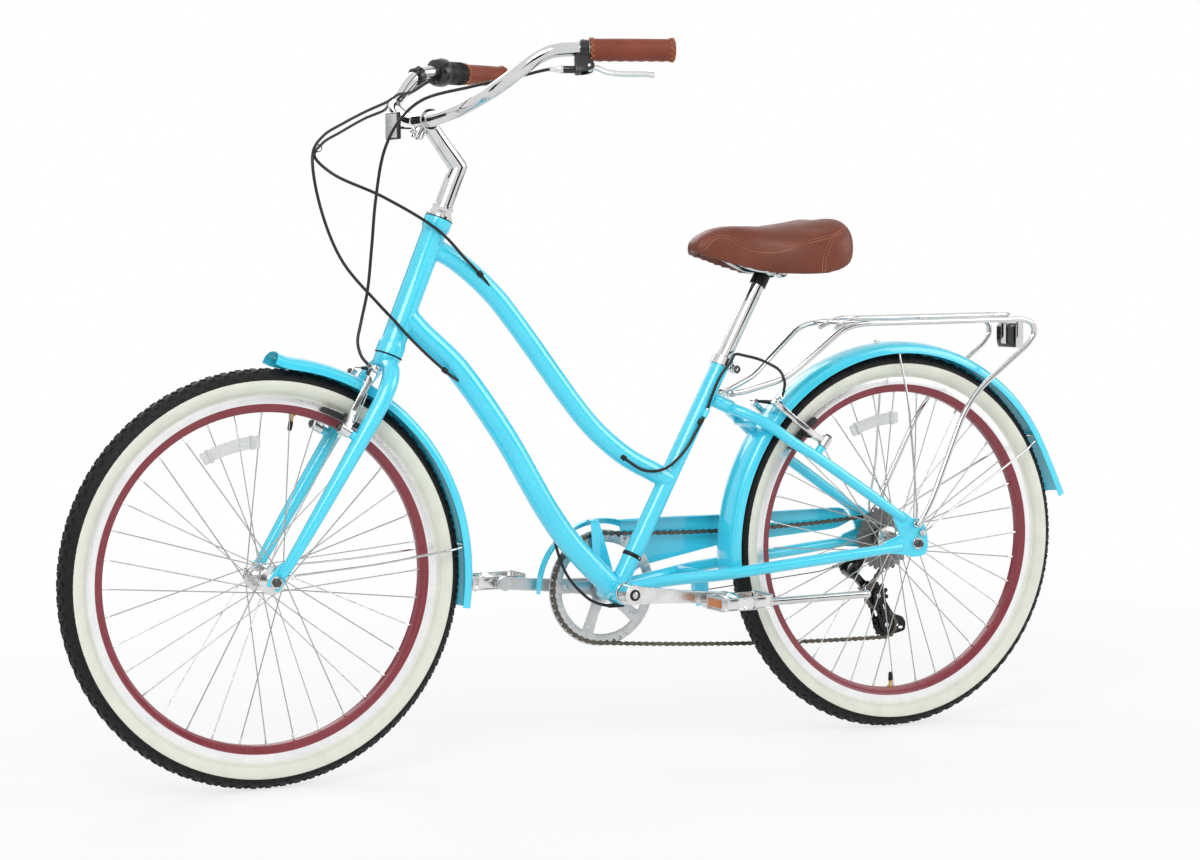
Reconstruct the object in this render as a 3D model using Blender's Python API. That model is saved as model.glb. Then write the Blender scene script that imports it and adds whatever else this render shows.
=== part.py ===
"""Step-through hybrid bicycle with fenders, rear rack, chain guard and kickstand.

All sizes below are in millimetres and in the design frame: the rear hub stands at x = 0, the
ground is z = 0, x points forward and y to the rider's left. The solids are built in metres, with
x moved by MID_X so that the middle of the whole length is the origin.
"""
import math

import bmesh
import bpy
from mathutils import Matrix, Vector
from mathutils.geometry import tessellate_polygon

MM = 0.001
GAP = 0.3
FIT = 0.3

# Overall layout
WHEEL_RADIUS = 330.0
WHEELBASE = 1172.0
BB_X = 554.0
BB_Z = 273.0
SEAT_TUBE_LEAN = 28.5
HEAD_TUBE_LEAN = 22.5
FORK_RAKE = 65.0
OLD_FRONT = 100.0
OLD_REAR = 135.6

# Frame tubes
SEAT_TUBE_R = 15.5
SEAT_TUBE_LENGTH = 437.0
SEAT_BORE_R = 13.0
SHELL_R = 20.0
SHELL_HALF = 34.0
HEAD_TUBE_R = 20.0
HEAD_LOW = 400.0
HEAD_HIGH = 635.0
TOP_TUBE_R = 17.0
DOWN_TUBE_R = 20.0
TUBE_WALL = 1.6
STAY_PLATE = 6.0

# Wheels
AXLE_R_FRONT = 4.5
AXLE_R_REAR = 4.8
SPOKE_R = 1.2
SPOKE_COUNT = 36
RIM_INNER = 260.5
TRACK_HALF = 12.0
FENDER_R = 351.0
FENDER_HALF = 31.0
FENDER_WALL = 1.2
REAR_FENDER_ANGLES = (-6.0, 168.5)
FRONT_FENDER_ANGLES = (93.5, 190.8)
FENDER_KICK = 11.0

# Drive
CHAIN_PITCH = 12.7
CHAIN_Y = -47.0
CHAIN_HALF_WIDTH = 3.3
CHAIN_HALF_HEIGHT = 4.0
WINDOW_HALF_WIDTH = 1.7
WINDOW_HALF_LENGTH = 3.9
POCKET_DEPTH = 0.85
RING_TEETH = 46
FREEWHEEL_TEETH = (28, 24, 22, 20, 18, 16, 14)
ENGAGED = 3
SPROCKET_STEP = 5.0
PULLEY_TEETH = 11
GUIDE = (6.0, 226.0)
CAGE_LENGTH = 56.0
CRANK_LENGTH = 170.0
CRANK_TILT = 5.0
TOP_RUN_SAG = 10.0
LOW_RUN_SAG = 6.0
PEDAL_Y = (86.0, 155.0)

# Cockpit
BAR_R = 11.1
BAR_CLAMP_R = 12.7
STEERER_R = 14.3
STEERER_BORE = 11.4
LEFT_GRIP_LENGTH = 128.0
RIGHT_GRIP_LENGTH = 94.0
TWIST_LENGTH = 41.0
HOUSING_LENGTH = 27.0
CABLE_R = 2.5
WIRE_R = 0.9

# Seat
POST_R = 12.7
POST_FOOT = 340.0
POST_TOP = 588.0

# The rear fender's tail is the bike's rearmost point and the front tyre its foremost
TAIL_ANGLE = math.radians(REAR_FENDER_ANGLES[1])
TAIL_X = (FENDER_R + FENDER_KICK - 1) * math.cos(TAIL_ANGLE)
MID_X = (WHEELBASE + WHEEL_RADIUS + TAIL_X) / 2

X = Vector((1, 0, 0))
Y = Vector((0, 1, 0))
Z = Vector((0, 0, 1))


def at(x, y, z):
    return Vector((x, y, z))


REAR_HUB = at(0, 0, WHEEL_RADIUS)
FRONT_HUB = at(WHEELBASE, 0, WHEEL_RADIUS)
BB = at(BB_X, 0, BB_Z)
SEAT_UP = at(-math.sin(math.radians(SEAT_TUBE_LEAN)), 0, math.cos(math.radians(SEAT_TUBE_LEAN)))
SEAT_BACK = at(-SEAT_UP.z, 0, SEAT_UP.x)
STEER_UP = at(-math.sin(math.radians(HEAD_TUBE_LEAN)), 0, math.cos(math.radians(HEAD_TUBE_LEAN)))
STEER_FORWARD = at(STEER_UP.z, 0, -STEER_UP.x)
STEER_FOOT = FRONT_HUB - STEER_FORWARD * FORK_RAKE


def clear(radius, sides):
    """Corner radius of a hole with this many sides that a shaft of this radius turns in."""
    return (radius + GAP) / math.cos(math.pi / sides)


def steer(forward, side, up):
    """A point given along the steering axis from its foot."""
    return STEER_FOOT + STEER_FORWARD * forward + Y * side + STEER_UP * up


def seat(back, side, up):
    """A point given along the seat tube from the bottom bracket."""
    return BB + SEAT_BACK * back + Y * side + SEAT_UP * up


# Start from an empty scene, with one collection for the object and one for the cutters
for old in list(bpy.data.objects):
    bpy.data.objects.remove(old, do_unlink=True)
bike = bpy.data.collections.new("hybrid_bike")
tools = bpy.data.collections.new("cutters")
bpy.context.scene.collection.children.link(bike)
bpy.context.scene.collection.children.link(tools)


def paint(name, colour, metallic, roughness):
    made = bpy.data.materials.new(name)
    made.use_nodes = True
    for node in made.node_tree.nodes:
        if node.type == "BSDF_PRINCIPLED":
            node.inputs["Base Color"].default_value = (*colour, 1.0)
            node.inputs["Metallic"].default_value = metallic
            node.inputs["Roughness"].default_value = roughness
    return made


SKY = paint("sky_paint", (0.05, 0.62, 0.83), 0.0, 0.25)
BURGUNDY = paint("burgundy_paint", (0.24, 0.03, 0.05), 0.0, 0.35)
CHROME = paint("chrome", (0.8, 0.8, 0.8), 1.0, 0.12)
SILVER = paint("silver", (0.6, 0.6, 0.6), 1.0, 0.35)
STEEL = paint("steel", (0.3, 0.29, 0.27), 1.0, 0.4)
BLACK = paint("black_plastic", (0.02, 0.02, 0.02), 0.0, 0.5)
TREAD = paint("tread", (0.03, 0.03, 0.03), 0.0, 0.8)
BROWN = paint("brown_leather", (0.2, 0.08, 0.03), 0.0, 0.5)
LENS = paint("lens", (0.85, 0.85, 0.85), 0.0, 0.1)
RED_LENS = paint("red_lens", (0.4, 0.02, 0.02), 0.0, 0.2)


# Shapes: each is a list of points and a list of faces

def merged(*shapes):
    """Several shapes that don't touch, as one."""
    points = []
    faces = []
    for more, sides in shapes:
        start = len(points)
        points += more
        faces += [[start + i for i in face] for face in sides]
    return points, faces


def circle(radius, sides, phase=0.0):
    turns = [2 * math.pi * (i + phase) / sides for i in range(sides)]
    return [(radius * math.cos(t), radius * math.sin(t)) for t in turns]


def frames(path, closed, side):
    """For each point of a path, the two directions across it, turning as little as they can."""
    count = len(path)
    made = []
    across = None
    for i, here in enumerate(path):
        before = path[i - 1] if i or closed else here
        after = path[(i + 1) % count] if i + 1 < count or closed else here
        along = ((after - here).normalized() + (here - before).normalized()).normalized()
        if side is not None:
            across = side
        elif across is None:
            across = Y if abs(along.y) < 0.8 else Z
        across = (across - along * across.dot(along)).normalized()
        made.append((across, along.cross(across)))
    return made


def sweep(path, outline, closed=False, side=None, scales=None, bore=None):
    """A flat outline carried along a path, with its ends capped; a bore makes it a tube."""
    points = []
    faces = []
    loops = [outline] if bore is None else [outline, bore]
    for i, (across, up) in enumerate(frames(path, closed, side)):
        scale = scales[i] if scales else 1.0
        for loop in loops:
            points += [path[i] + across * a * scale + up * b * scale for a, b in loop]
    size = sum(len(loop) for loop in loops)
    count = len(path)
    for i in range(count if closed else count - 1):
        near = i * size
        far = (i + 1) % count * size
        start = 0
        for loop in loops:
            n = len(loop)
            for j in range(n):
                k = (j + 1) % n
                faces.append([near + start + j, near + start + k, far + start + k, far + start + j])
            start += n
    if not closed:
        for base in (0, (count - 1) * size):
            n = len(outline)
            if bore is None:
                faces.append([base + j for j in range(n)])
            else:
                for j in range(n):
                    k = (j + 1) % n
                    faces.append([base + j, base + k, base + n + k, base + n + j])
    return points, faces


def tube(path, radius, sides=8, wall=None, radii=None, side=None, phase=0.0):
    bore = circle(radius - wall, sides, phase) if wall else None
    scales = [r / radius for r in radii] if radii else None
    return sweep(path, circle(radius, sides, phase), side=side, scales=scales, bore=bore)


def turned(profile, centre, axis, sides, across=None):
    """A profile of (radius, distance along the axis) turned round the axis.

    A profile that starts and ends on the axis makes a solid with flat ends, any other a ring.
    """
    axis = axis.normalized()
    first = across if across is not None else (Y if abs(axis.y) < 0.8 else X)
    first = (first - axis * first.dot(axis)).normalized()
    second = axis.cross(first)
    solid = profile[0][0] == 0
    points = []
    rings = []
    for radius, along in profile[1:-1] if solid else profile:
        start = len(points)
        for a, b in circle(radius, sides):
            points.append(centre + axis * along + first * a + second * b)
        rings.append(list(range(start, start + sides)))
    faces = [rings[0], rings[-1]] if solid else []
    for i, ring in enumerate(rings[:-1] if solid else rings):
        other = rings[(i + 1) % len(rings)]
        for j in range(sides):
            k = (j + 1) % sides
            faces.append([ring[j], ring[k], other[k], other[j]])
    return points, faces


def rod(start, end, radius, sides=8, across=None):
    length = (end - start).length
    profile = [(0, 0), (radius, 0), (radius, length), (0, length)]
    return turned(profile, start, end - start, sides, across)


def collar(centre, axis, bore, radius, low, high, sides=8, across=None):
    profile = [(bore, low), (radius, low), (radius, high), (bore, high)]
    return turned(profile, centre, axis, sides, across)


def prism(outline, origin, u, v, low, high, holes=()):
    """A flat outline in the directions u and v, thickened from low to high along their normal."""
    normal = u.cross(v).normalized()
    loops = [list(outline)] + [list(hole) for hole in holes]
    flat = [Vector((a, b, 0)) for loop in loops for a, b in loop]
    lids = [range(len(flat))]
    if holes:
        lids = tessellate_polygon([[Vector((a, b, 0)) for a, b in loop] for loop in loops])
    size = len(flat)
    points = [origin + u * p.x + v * p.y + normal * low for p in flat]
    points += [origin + u * p.x + v * p.y + normal * high for p in flat]
    faces = [list(face) for face in lids] + [[size + i for i in face] for face in lids]
    start = 0
    for loop in loops:
        n = len(loop)
        for j in range(n):
            k = (j + 1) % n
            faces.append([start + j, start + k, size + start + k, size + start + j])
        start += n
    return points, faces


def block(centre, u, v, half_u, half_v, low, high):
    corners = [(-half_u, -half_v), (half_u, -half_v), (half_u, half_v), (-half_u, half_v)]
    return prism(corners, centre, u, v, low, high)


def smooth(points, steps):
    """A path through the given points with no corners."""
    points = [Vector(p) for p in points]
    ends = [points[0] * 2 - points[1]] + points + [points[-1] * 2 - points[-2]]
    path = []
    for i in range(1, len(ends) - 2):
        a, b, c, d = ends[i - 1:i + 3]
        for step in range(steps):
            t = step / steps
            path.append(0.5 * (2 * b + (c - a) * t + (2 * a - 5 * b + 4 * c - d) * t * t
                               + (3 * b - a - 3 * c + d) * t ** 3))
    return path + [points[-1]]


def mirrored(shape):
    points, faces = shape
    return [at(p.x, -p.y, p.z) for p in points], faces


def both(shape):
    """A shape and its mirror image, which don't touch."""
    return merged(shape, mirrored(shape))


# Objects

def new_object(name, shape, origin, collection):
    points, faces = shape
    base = Vector(origin)
    mesh = bpy.data.meshes.new(name)
    mesh.from_pydata([(Vector(p) - base) * MM for p in points], [], faces)
    skin = bmesh.new()
    skin.from_mesh(mesh)
    loose = [v for v in skin.verts if not v.link_faces]
    bmesh.ops.delete(skin, geom=loose, context="VERTS")
    bmesh.ops.recalc_face_normals(skin, faces=skin.faces)
    skin.to_mesh(mesh)
    skin.free()
    made = bpy.data.objects.new(name, mesh)
    made.location = (base - at(MID_X, 0, 0)) * MM
    collection.objects.link(made)
    return made


def node(name, shape, coat, origin):
    made = new_object(name, shape, origin, bike)
    made.data.materials.append(coat)
    return made


def tool(name, shape):
    made = new_object(name, shape, at(MID_X, 0, 0), tools)
    made.hide_render = True
    made.display_type = "WIRE"
    return made


def boolean(target, other, operation):
    change = target.modifiers.new(other.name, "BOOLEAN")
    change.operation = operation
    change.solver = "EXACT"
    change.object = other


def join(target, *shapes):
    for shape in shapes:
        boolean(target, tool(target.name + "_piece", shape), "UNION")


def cut(target, *shapes):
    for shape in shapes:
        boolean(target, tool(target.name + "_cutter", shape), "DIFFERENCE")


def ride(parent, *children):
    """Keeps the children where they are and lets them move with the parent."""
    for child in children:
        child.parent = parent
        child.matrix_parent_inverse = Matrix.Translation(-parent.location)


# Head tube, with its bearing seats

HEAD_MID = steer(0, 0, (HEAD_LOW + HEAD_HIGH) / 2)
HEAD_OUTSIDE = [(22.5, HEAD_LOW), (22.5, HEAD_LOW + 18), (HEAD_TUBE_R, HEAD_LOW + 25),
                (HEAD_TUBE_R, HEAD_HIGH - 23), (23, HEAD_HIGH - 17), (23, HEAD_HIGH)]
SEAT_R = clear(STEERER_R, 12)
head_profile = HEAD_OUTSIDE + [(SEAT_R, HEAD_HIGH), (SEAT_R, HEAD_LOW)]
head_tube = node("head_tube", turned(head_profile, STEER_FOOT, STEER_UP, 12), SKY, HEAD_MID)
head_room = [(r + GAP, s) for r, s in HEAD_OUTSIDE]
head_cutter = tool("head_tube_room", turned([(0, HEAD_LOW - GAP)] + head_room + [(0, HEAD_HIGH)],
                                            STEER_FOOT, STEER_UP, 12))

# Seat tube and bottom bracket shell

seat_tube = node("seat_tube", rod(BB, seat(0, 0, SEAT_TUBE_LENGTH), SEAT_TUBE_R, 12), SKY, BB)
join(seat_tube, rod(BB - Y * SHELL_HALF, BB + Y * SHELL_HALF, SHELL_R, 12))
CABLE_STOP = seat(4, 18.6, 335)
join(seat_tube, rod(CABLE_STOP - SEAT_UP * 7, CABLE_STOP + SEAT_UP * 7, 4.6, 6))
cut(seat_tube, rod(seat(0, 0, 45), seat(0, 0, SEAT_TUBE_LENGTH + 5), SEAT_BORE_R, 12))
cut(seat_tube, rod(BB - Y * 40, BB + Y * 40, 9.0, 12))
shell_cutter = tool("shell_room", rod(BB - Y * (SHELL_HALF + GAP), BB + Y * (SHELL_HALF + GAP),
                                      SHELL_R + GAP, 12))
seat_cutter = tool("seat_tube_room", rod(BB, seat(0, 0, SEAT_TUBE_LENGTH + GAP),
                                         SEAT_TUBE_R + GAP, 12))

# Top tube and down tube, hollow, with the cables' oval ports

TOP_LINE = [(886, 848), (850, 831), (810, 802), (771, 766), (731, 718), (609, 562),
            (567, 522), (525, 492), (486, 472)]
top_path = [at(x, 0, z) for x, z in TOP_LINE]
top_path.append(BB + SEAT_UP * 208)
top_tube = node("top_tube", tube(top_path, TOP_TUBE_R, 8, TUBE_WALL, side=Y, phase=0.5), SKY, top_path[4])
DOWN_LINE = [(931, 740), (904, 711), (878, 688), (840, 652), (760, 545),
             (680, 414), (645, 366), (611, 329)]
down_path = [at(x, 0, z) for x, z in DOWN_LINE] + [BB]
down_radii = [DOWN_TUBE_R] * (len(down_path) - 1) + [DOWN_TUBE_R - 1.5]
down_tube = node("down_tube", tube(down_path, DOWN_TUBE_R, 8, TUBE_WALL, down_radii, side=Y, phase=0.5),
                 SKY, down_path[4])
for target in (top_tube, down_tube):
    boolean(target, head_cutter, "DIFFERENCE")
    boolean(target, shell_cutter, "DIFFERENCE")
    boolean(target, seat_cutter, "DIFFERENCE")

# Chainstays with the dropouts, the bridge and the kickstand's plate

DROPOUT_IN = OLD_REAR / 2
DROPOUT_OUT = DROPOUT_IN + STAY_PLATE
STAY_LINE = [(545, 19, 277), (505, 23, 284), (462, 29, 289), (430, 41, 292), (382, 61, 296),
             (106, 70, 319), (36, 70.5, 325)]
stay_path = [at(*p) for p in STAY_LINE]
stay_radii = [10, 10, 10, 10, 10, 9, 7.5]
chainstays = node("chainstays", both(tube(stay_path, 10, 8, radii=stay_radii, phase=0.5)), SKY,
                  at(280, 0, 300))
DROPOUT = [(70, 316), (70, 334), (34, 346), (50, 378), (42, 388), (30, 388), (10, 373), (-8, 373),
           (-17, 356), (-21, 340), (-22, 322), (-16, 309), (8, 306), (30, 312)]
HANGER = [(70, 316), (70, 334), (34, 346), (50, 378), (42, 388), (30, 388), (10, 373), (-8, 373),
          (-17, 356), (-21, 340), (-22, 322), (-18, 296), (-10, 289), (2, 289), (9, 297), (12, 308),
          (30, 312)]
HANGER_EYE = at(-4, 0, 300)


def dropout_plate(outline, y_low, y_high):
    centre = at(0, 0, 0)
    return prism([(x, z) for x, z in outline], centre, X, Z, -y_high, -y_low)


join(chainstays, dropout_plate(DROPOUT, DROPOUT_IN, DROPOUT_OUT),
     dropout_plate(HANGER, -DROPOUT_OUT, -DROPOUT_IN))
bridge = rod(at(408, -50, 295), at(408, 50, 295), 8, 6)
plate = block(at(400, 0, 286), X, Y, 22, 17, -3, 3)
join(chainstays, bridge, plate)
for side in (1, -1):
    low, high = sorted((side * (DROPOUT_IN - 2), side * (DROPOUT_OUT + 12)))
    axle_room = prism([(-30, -9), (0, -5.3), (3.8, -3.8), (5.3, 0), (3.8, 3.8), (0, 5.3), (-30, -1)],
                      REAR_HUB, X, Z, -high, -low)
    eyes = merged(rod(at(4, low, 364), at(4, high, 364), clear(2.5, 6), 6),
                  rod(at(-8, low, 348), at(-8, high, 348), clear(2.5, 6), 6))
    cut(chainstays, axle_room, eyes)
cut(chainstays, rod(HANGER_EYE - Y * (DROPOUT_IN - 2), HANGER_EYE - Y * (DROPOUT_OUT + 2), 5.3, 10))
boolean(chainstays, shell_cutter, "DIFFERENCE")
boolean(chainstays, seat_cutter, "DIFFERENCE")

# Seatstays: one bent tube over the wheel, a stub to the seat tube, a fender bridge and brake bosses

SEATSTAY_HALF = [(336, 0, 573), (330, 13, 570), (308, 30, 559), (283, 45, 544), (240, 58, 512),
                 (200, 61.6, 488.5), (32, 72.5, 377)]
half = [at(*p) for p in SEATSTAY_HALF]
other = [at(p.x, -p.y, p.z) for p in half[1:]]
seatstay_path = list(reversed(half)) + other
seatstays = node("seatstays", tube(seatstay_path, 9.5, 8, phase=0.5), SKY, at(240, 0, 520))
join(seatstays, rod(at(334, 0, 574), at(376, 0, 592), 12.5, 10))
join(seatstays, rod(at(303, -28, 546), at(303, 28, 546), 6, 6))


def brake_frame(name):
    """Pivot, direction up the arm and direction of the stud, on the left side."""
    if name == "front":
        return at(1058, 60, 562), at(-0.536, 0, 0.844).normalized(), at(0.844, 0, 0.536).normalized()
    return at(182, 62, 512), at(0.78, 0, 0.625).normalized(), at(-0.625, 0, 0.78).normalized()


def brake_boss(name):
    pivot, up, stud = brake_frame(name)
    foot = 34.0
    profile = [(0, -foot), (7, -foot), (7, -10), (4, -10), (4, 10), (6.5, 10), (6.5, 14), (0, 14)]
    return both(turned(profile, pivot, stud, 6, up))


join(seatstays, brake_boss("rear"))
for side in (1, -1):
    low, high = sorted((side * (DROPOUT_IN - GAP), side * (DROPOUT_OUT + GAP)))
    slot = [(18, 340), (56, 372), (56, 384), (47, 392), (26, 392), (6, 376)]
    cut(seatstays, prism(slot, at(0, 0, 0), X, Z, -high, -low))
boolean(seatstays, seat_cutter, "DIFFERENCE")

# Seat clamp with its bolt

CLAMP_AT = 430.0
seat_clamp = node("seat_clamp", collar(seat(0, 0, CLAMP_AT), SEAT_UP, SEAT_TUBE_R + GAP, 19.5, -8, 8,
                                       12, Y), CHROME, seat(0, 0, CLAMP_AT))
join(seat_clamp, block(seat(25, 0, CLAMP_AT), SEAT_BACK, Y, 7.5, 7, -6, 6))
cut(seat_clamp, block(seat(27, 0, CLAMP_AT), SEAT_BACK, Y, 13, 1.2, -10, 10))
join(seat_clamp, rod(seat(27, -12, CLAMP_AT), seat(27, 12, CLAMP_AT), 3.1, 6))

# Fenders


def around(hub, degrees, radius, y=0.0):
    turn = math.radians(degrees)
    return at(hub.x + radius * math.cos(turn), y, hub.z + radius * math.sin(turn))


FENDER_OUT = [(FENDER_HALF, -20), (FENDER_HALF - 2, -8), (17, -1), (-17, -1), (2 - FENDER_HALF, -8),
              (-FENDER_HALF, -20)]
FENDER_IN = [(-FENDER_HALF + FENDER_WALL, -20), (3.1 - FENDER_HALF, -8.7), (-16.6, -2.2),
             (16.6, -2.2), (FENDER_HALF - 3.1, -8.7), (FENDER_HALF - FENDER_WALL, -20)]
FENDER_SECTION = FENDER_OUT + FENDER_IN


def fender(hub, start, end, count, kick):
    path = []
    for i in range(count):
        turn = start + (end - start) * i / (count - 1)
        lift = kick * max(0.0, 1 - (end - turn) / 16) ** 2
        path.append(around(hub, turn, FENDER_R + lift))
    section = [(a, -b) for a, b in FENDER_SECTION]
    return sweep(path, section, side=Y)


rear_fender = node("rear_fender", fender(REAR_HUB, *REAR_FENDER_ANGLES, 17, FENDER_KICK), SKY,
                   around(REAR_HUB, 80, FENDER_R))
bolt_angle = math.degrees(math.atan2(546 - WHEEL_RADIUS, 303))
bolt_top = math.hypot(546 - WHEEL_RADIUS, 303) - 6 - GAP
join(rear_fender, rod(around(REAR_HUB, bolt_angle, FENDER_R - 4),
                      around(REAR_HUB, bolt_angle, bolt_top), 4, 8))
front_fender = node("front_fender", fender(FRONT_HUB, *FRONT_FENDER_ANGLES, 11, 0), SKY,
                    STEER_FOOT)
join(front_fender, block(steer(STEERER_R + 1.6, 0, 362), Y, STEER_UP, 8, 17.3, -1, 1))

# Wire stays of the fenders

WIRE_STAY_R = 2.0
INSIDE_CROWN = FENDER_R - 1.8 - FENDER_WALL - WIRE_STAY_R - GAP


def wire_stay(name, foot, via, hub, degrees):
    """A bent wire from one eyelet, up inside the fender's crown, and down to the other."""
    crown = around(hub, degrees, INSIDE_CROWN)
    shoulder = around(hub, degrees, INSIDE_CROWN - 3, 20)
    skirt = around(hub, degrees, INSIDE_CROWN - 12, 27.0)
    lower = around(hub, degrees, INSIDE_CROWN - 24, 29.2)
    line = [foot + (via[0] - foot).normalized() * 4.5] + via + [lower, skirt, shoulder]
    path = line + [crown] + [at(p.x, -p.y, p.z) for p in reversed(line)]
    made = node(name, tube(path, WIRE_STAY_R, 4, phase=0.5), CHROME, foot - Y * foot.y)
    eye = collar(foot, Y, clear(2.5, 5), 5.6, -1.5, 1.5, 5, X)
    join(made, eye, mirrored(eye))
    return made


stay_y = DROPOUT_OUT + 2.2
rear_stay_upper = wire_stay("rear_fender_stay_upper", at(4, stay_y, 364),
                            [at(3, 76.3, 392), at(-1, 62, 457), at(1, 46, 578)], REAR_HUB, 88.7)
rear_stay_rear = wire_stay("rear_fender_stay_rear", at(-8, stay_y, 348),
                           [at(-27, 76.3, 358), at(-134, 56, 416), at(-262, 37, 484)], REAR_HUB, 149.7)

# Chain guard: a flat plate with a folded edge, a strap to the shell and a hook at the front

GUARD_Y = -60.0
GUARD_WALL = 1.2
GUARD_R = 118.0
guard_arc = [around(BB, a, GUARD_R) for a in range(-2, 109, 10)]
guard_edge = [(p.x, p.z) for p in guard_arc] + [(86, 387)]
guard_inner = [around(BB, a, 84) for a in (158, 146, 134, 122)]
guard_band = [around(BB, a, 108) for a in (111, 93, 75, 57, 39, 21, 1)]
guard_rim = [around(BB, a, GUARD_R - 0.4) for a in [-0.7] + list(range(3, 104, 10))]
guard_outline = ([(p.x, p.z) for p in guard_rim] + [(500, 386), (90, 386.4)]
                 + [(62, 380), (52, 362), (82, 349), (318, 333), (430, 313)]
                 + [(p.x, p.z) for p in guard_inner] + [(p.x, p.z) for p in guard_band])
chain_guard = node("chain_guard", prism(guard_outline, at(0, 0, 0), X, Z, -GUARD_Y,
                                        -GUARD_Y + GUARD_WALL), SKY, at(300, GUARD_Y, 350))
fold_path = [at(x, GUARD_Y + 6.4, z) for x, z in guard_edge + [(64, 381)]]
join(chain_guard, sweep(fold_path, [(-7, 0), (7, 0), (7, GUARD_WALL), (-7, GUARD_WALL)], side=Y))
STRAP_Y = -SHELL_HALF - GAP
strap_outline = [(-21, 4), (-13, -16), (0, -21), (13, -16), (21, 4), (28, 115.5), (13, 116.8)]
strap = prism(strap_outline, BB + Y * STRAP_Y, X, Z, 0, 1.6)
tab = block(BB + at(20.5, -41.5, 115.8), X, Y, 7.4, 7.5, -0.9, 0.9)
join(chain_guard, tab, strap)
cut(chain_guard, rod(BB - Y * 30, BB - Y * 90, 14, 12))

# Rear rack of round wire, and the rear reflector on its slotted bracket

RACK_R = 5.0
RACK_SIDE = [(4, 84.5, 364), (-25, 80, 404), (-97, 69, 551), (-134, 67.5, 596),
             (-238, 67, 671), (-252, 67.5, 690), (-248, 68.5, 708), (-226, 69.5, 716.5),
             (112, 74, 714), (150, 73, 707), (222, 63, 649), (256, 54, 622), (324, 26, 600), (343, 17, 598)]
rack_path = [at(*p) for p in RACK_SIDE]
rear_rack = node("rear_rack", both(tube(rack_path, RACK_R, 5)), CHROME, at(-57, 0, 700))
for x, z in ((-200, 716.5), (-40, 715.5), (118, 713.5)):
    join(rear_rack, rod(at(x, -70, z), at(x, 70, z), 4, 5))
rail = [(137, 26, 706), (112, 26, 717.5), (96, 26, 721.5), (-218, 26, 723.5), (-231, 18, 723.5),
        (-235, 0, 723.5)]
rail_path = [at(*p) for p in rail]
rail_path += [at(p.x, -p.y, p.z) for p in reversed(rail_path[:-1])]
join(rear_rack, tube(rail_path, 4, 5))
rack_bolt = rod(at(4, DROPOUT_IN - 1, 364), at(4, DROPOUT_OUT + 19, 364), 2.5, 6)
join(rear_rack, both(rack_bolt))
join(rear_rack, block(at(-234, 0, 697), X, Z, 1.2, 26, -7, 7))
REFLECTOR = [(-12, -20), (6, -23), (10, -10), (10, 14), (5, 22), (-12, 19)]
rear_reflector = node("rear_reflector", prism(REFLECTOR, at(-246, 0, 687), X, Z, -26, 26), RED_LENS,
                      at(-246, 0, 687))

# Axles with their nuts


def axle(name, hub, radius, plate, nut_r):
    reach = plate + 13
    made = node(name, rod(hub - Y * reach, hub + Y * reach, radius, 8), STEEL, hub)
    for side in (1, -1):
        join(made, rod(hub + Y * side * (plate + GAP), hub + Y * side * (plate + 9), nut_r, 6))
    return made


FORK_IN = OLD_FRONT / 2
FORK_PLATE = 5.0
rear_axle = axle("rear_axle", REAR_HUB, AXLE_R_REAR, DROPOUT_OUT, 9)
front_axle = axle("front_axle", FRONT_HUB, AXLE_R_FRONT, FORK_IN + FORK_PLATE, 8.5)

# Fork: one bent and tapered tube over the wheel, the steerer, the dropouts and the brake bosses

FORK_HALF = [(0, 0, 385), (0, 16, 384), (0.5, 34, 376), (2, 49, 359), (5, 57, 332),
             (10, 60, 300), (45, 62, 100), (56, 60, 38), (59.5, 58.5, 18)]
fork_half = [steer(*p) for p in FORK_HALF]
fork_radii = [14, 14, 14, 14, 13.8, 13.8, 10.5, 9, 8.5]
fork_path = list(reversed(fork_half)) + [at(p.x, -p.y, p.z) for p in fork_half[1:]]
fork_radii = list(reversed(fork_radii)) + fork_radii[1:]
fork = node("fork", tube(fork_path, 14, 8, radii=fork_radii, phase=0.5), SKY,
            STEER_FOOT + STEER_UP * HEAD_LOW)
BLADE = (steer(45, 0, 100) - steer(59.5, 0, 18)).normalized()
ACROSS = Y.cross(BLADE)
fork_plate = [(-11, -12), (-4.9, -12), (-4.9, 0), (-3.4, 3.4), (0, 4.9), (3.4, 3.4), (4.9, 0),
              (4.9, -12), (11, -12), (13, 2), (8, 32), (-8, 32), (-13, 2)]
left_plate = prism(fork_plate, FRONT_HUB + Y * (FORK_IN + FORK_PLATE / 2), ACROSS, BLADE,
                   -FORK_PLATE / 2, FORK_PLATE / 2)
join(fork, left_plate, mirrored(left_plate))
STEERER = [(0, 380), (21, 380), (21, HEAD_LOW - GAP), (STEERER_R, HEAD_LOW - GAP),
           (STEERER_R, HEAD_HIGH + 19), (0, HEAD_HIGH + 19)]
join(fork, turned(STEERER, STEER_FOOT, STEER_UP, 12))
join(fork, brake_boss("front"))
cut(fork, rod(steer(0, 0, 560), steer(0, 0, HEAD_HIGH + 25), STEERER_BORE, 10))

# Headset nut, stem and handlebar

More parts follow.
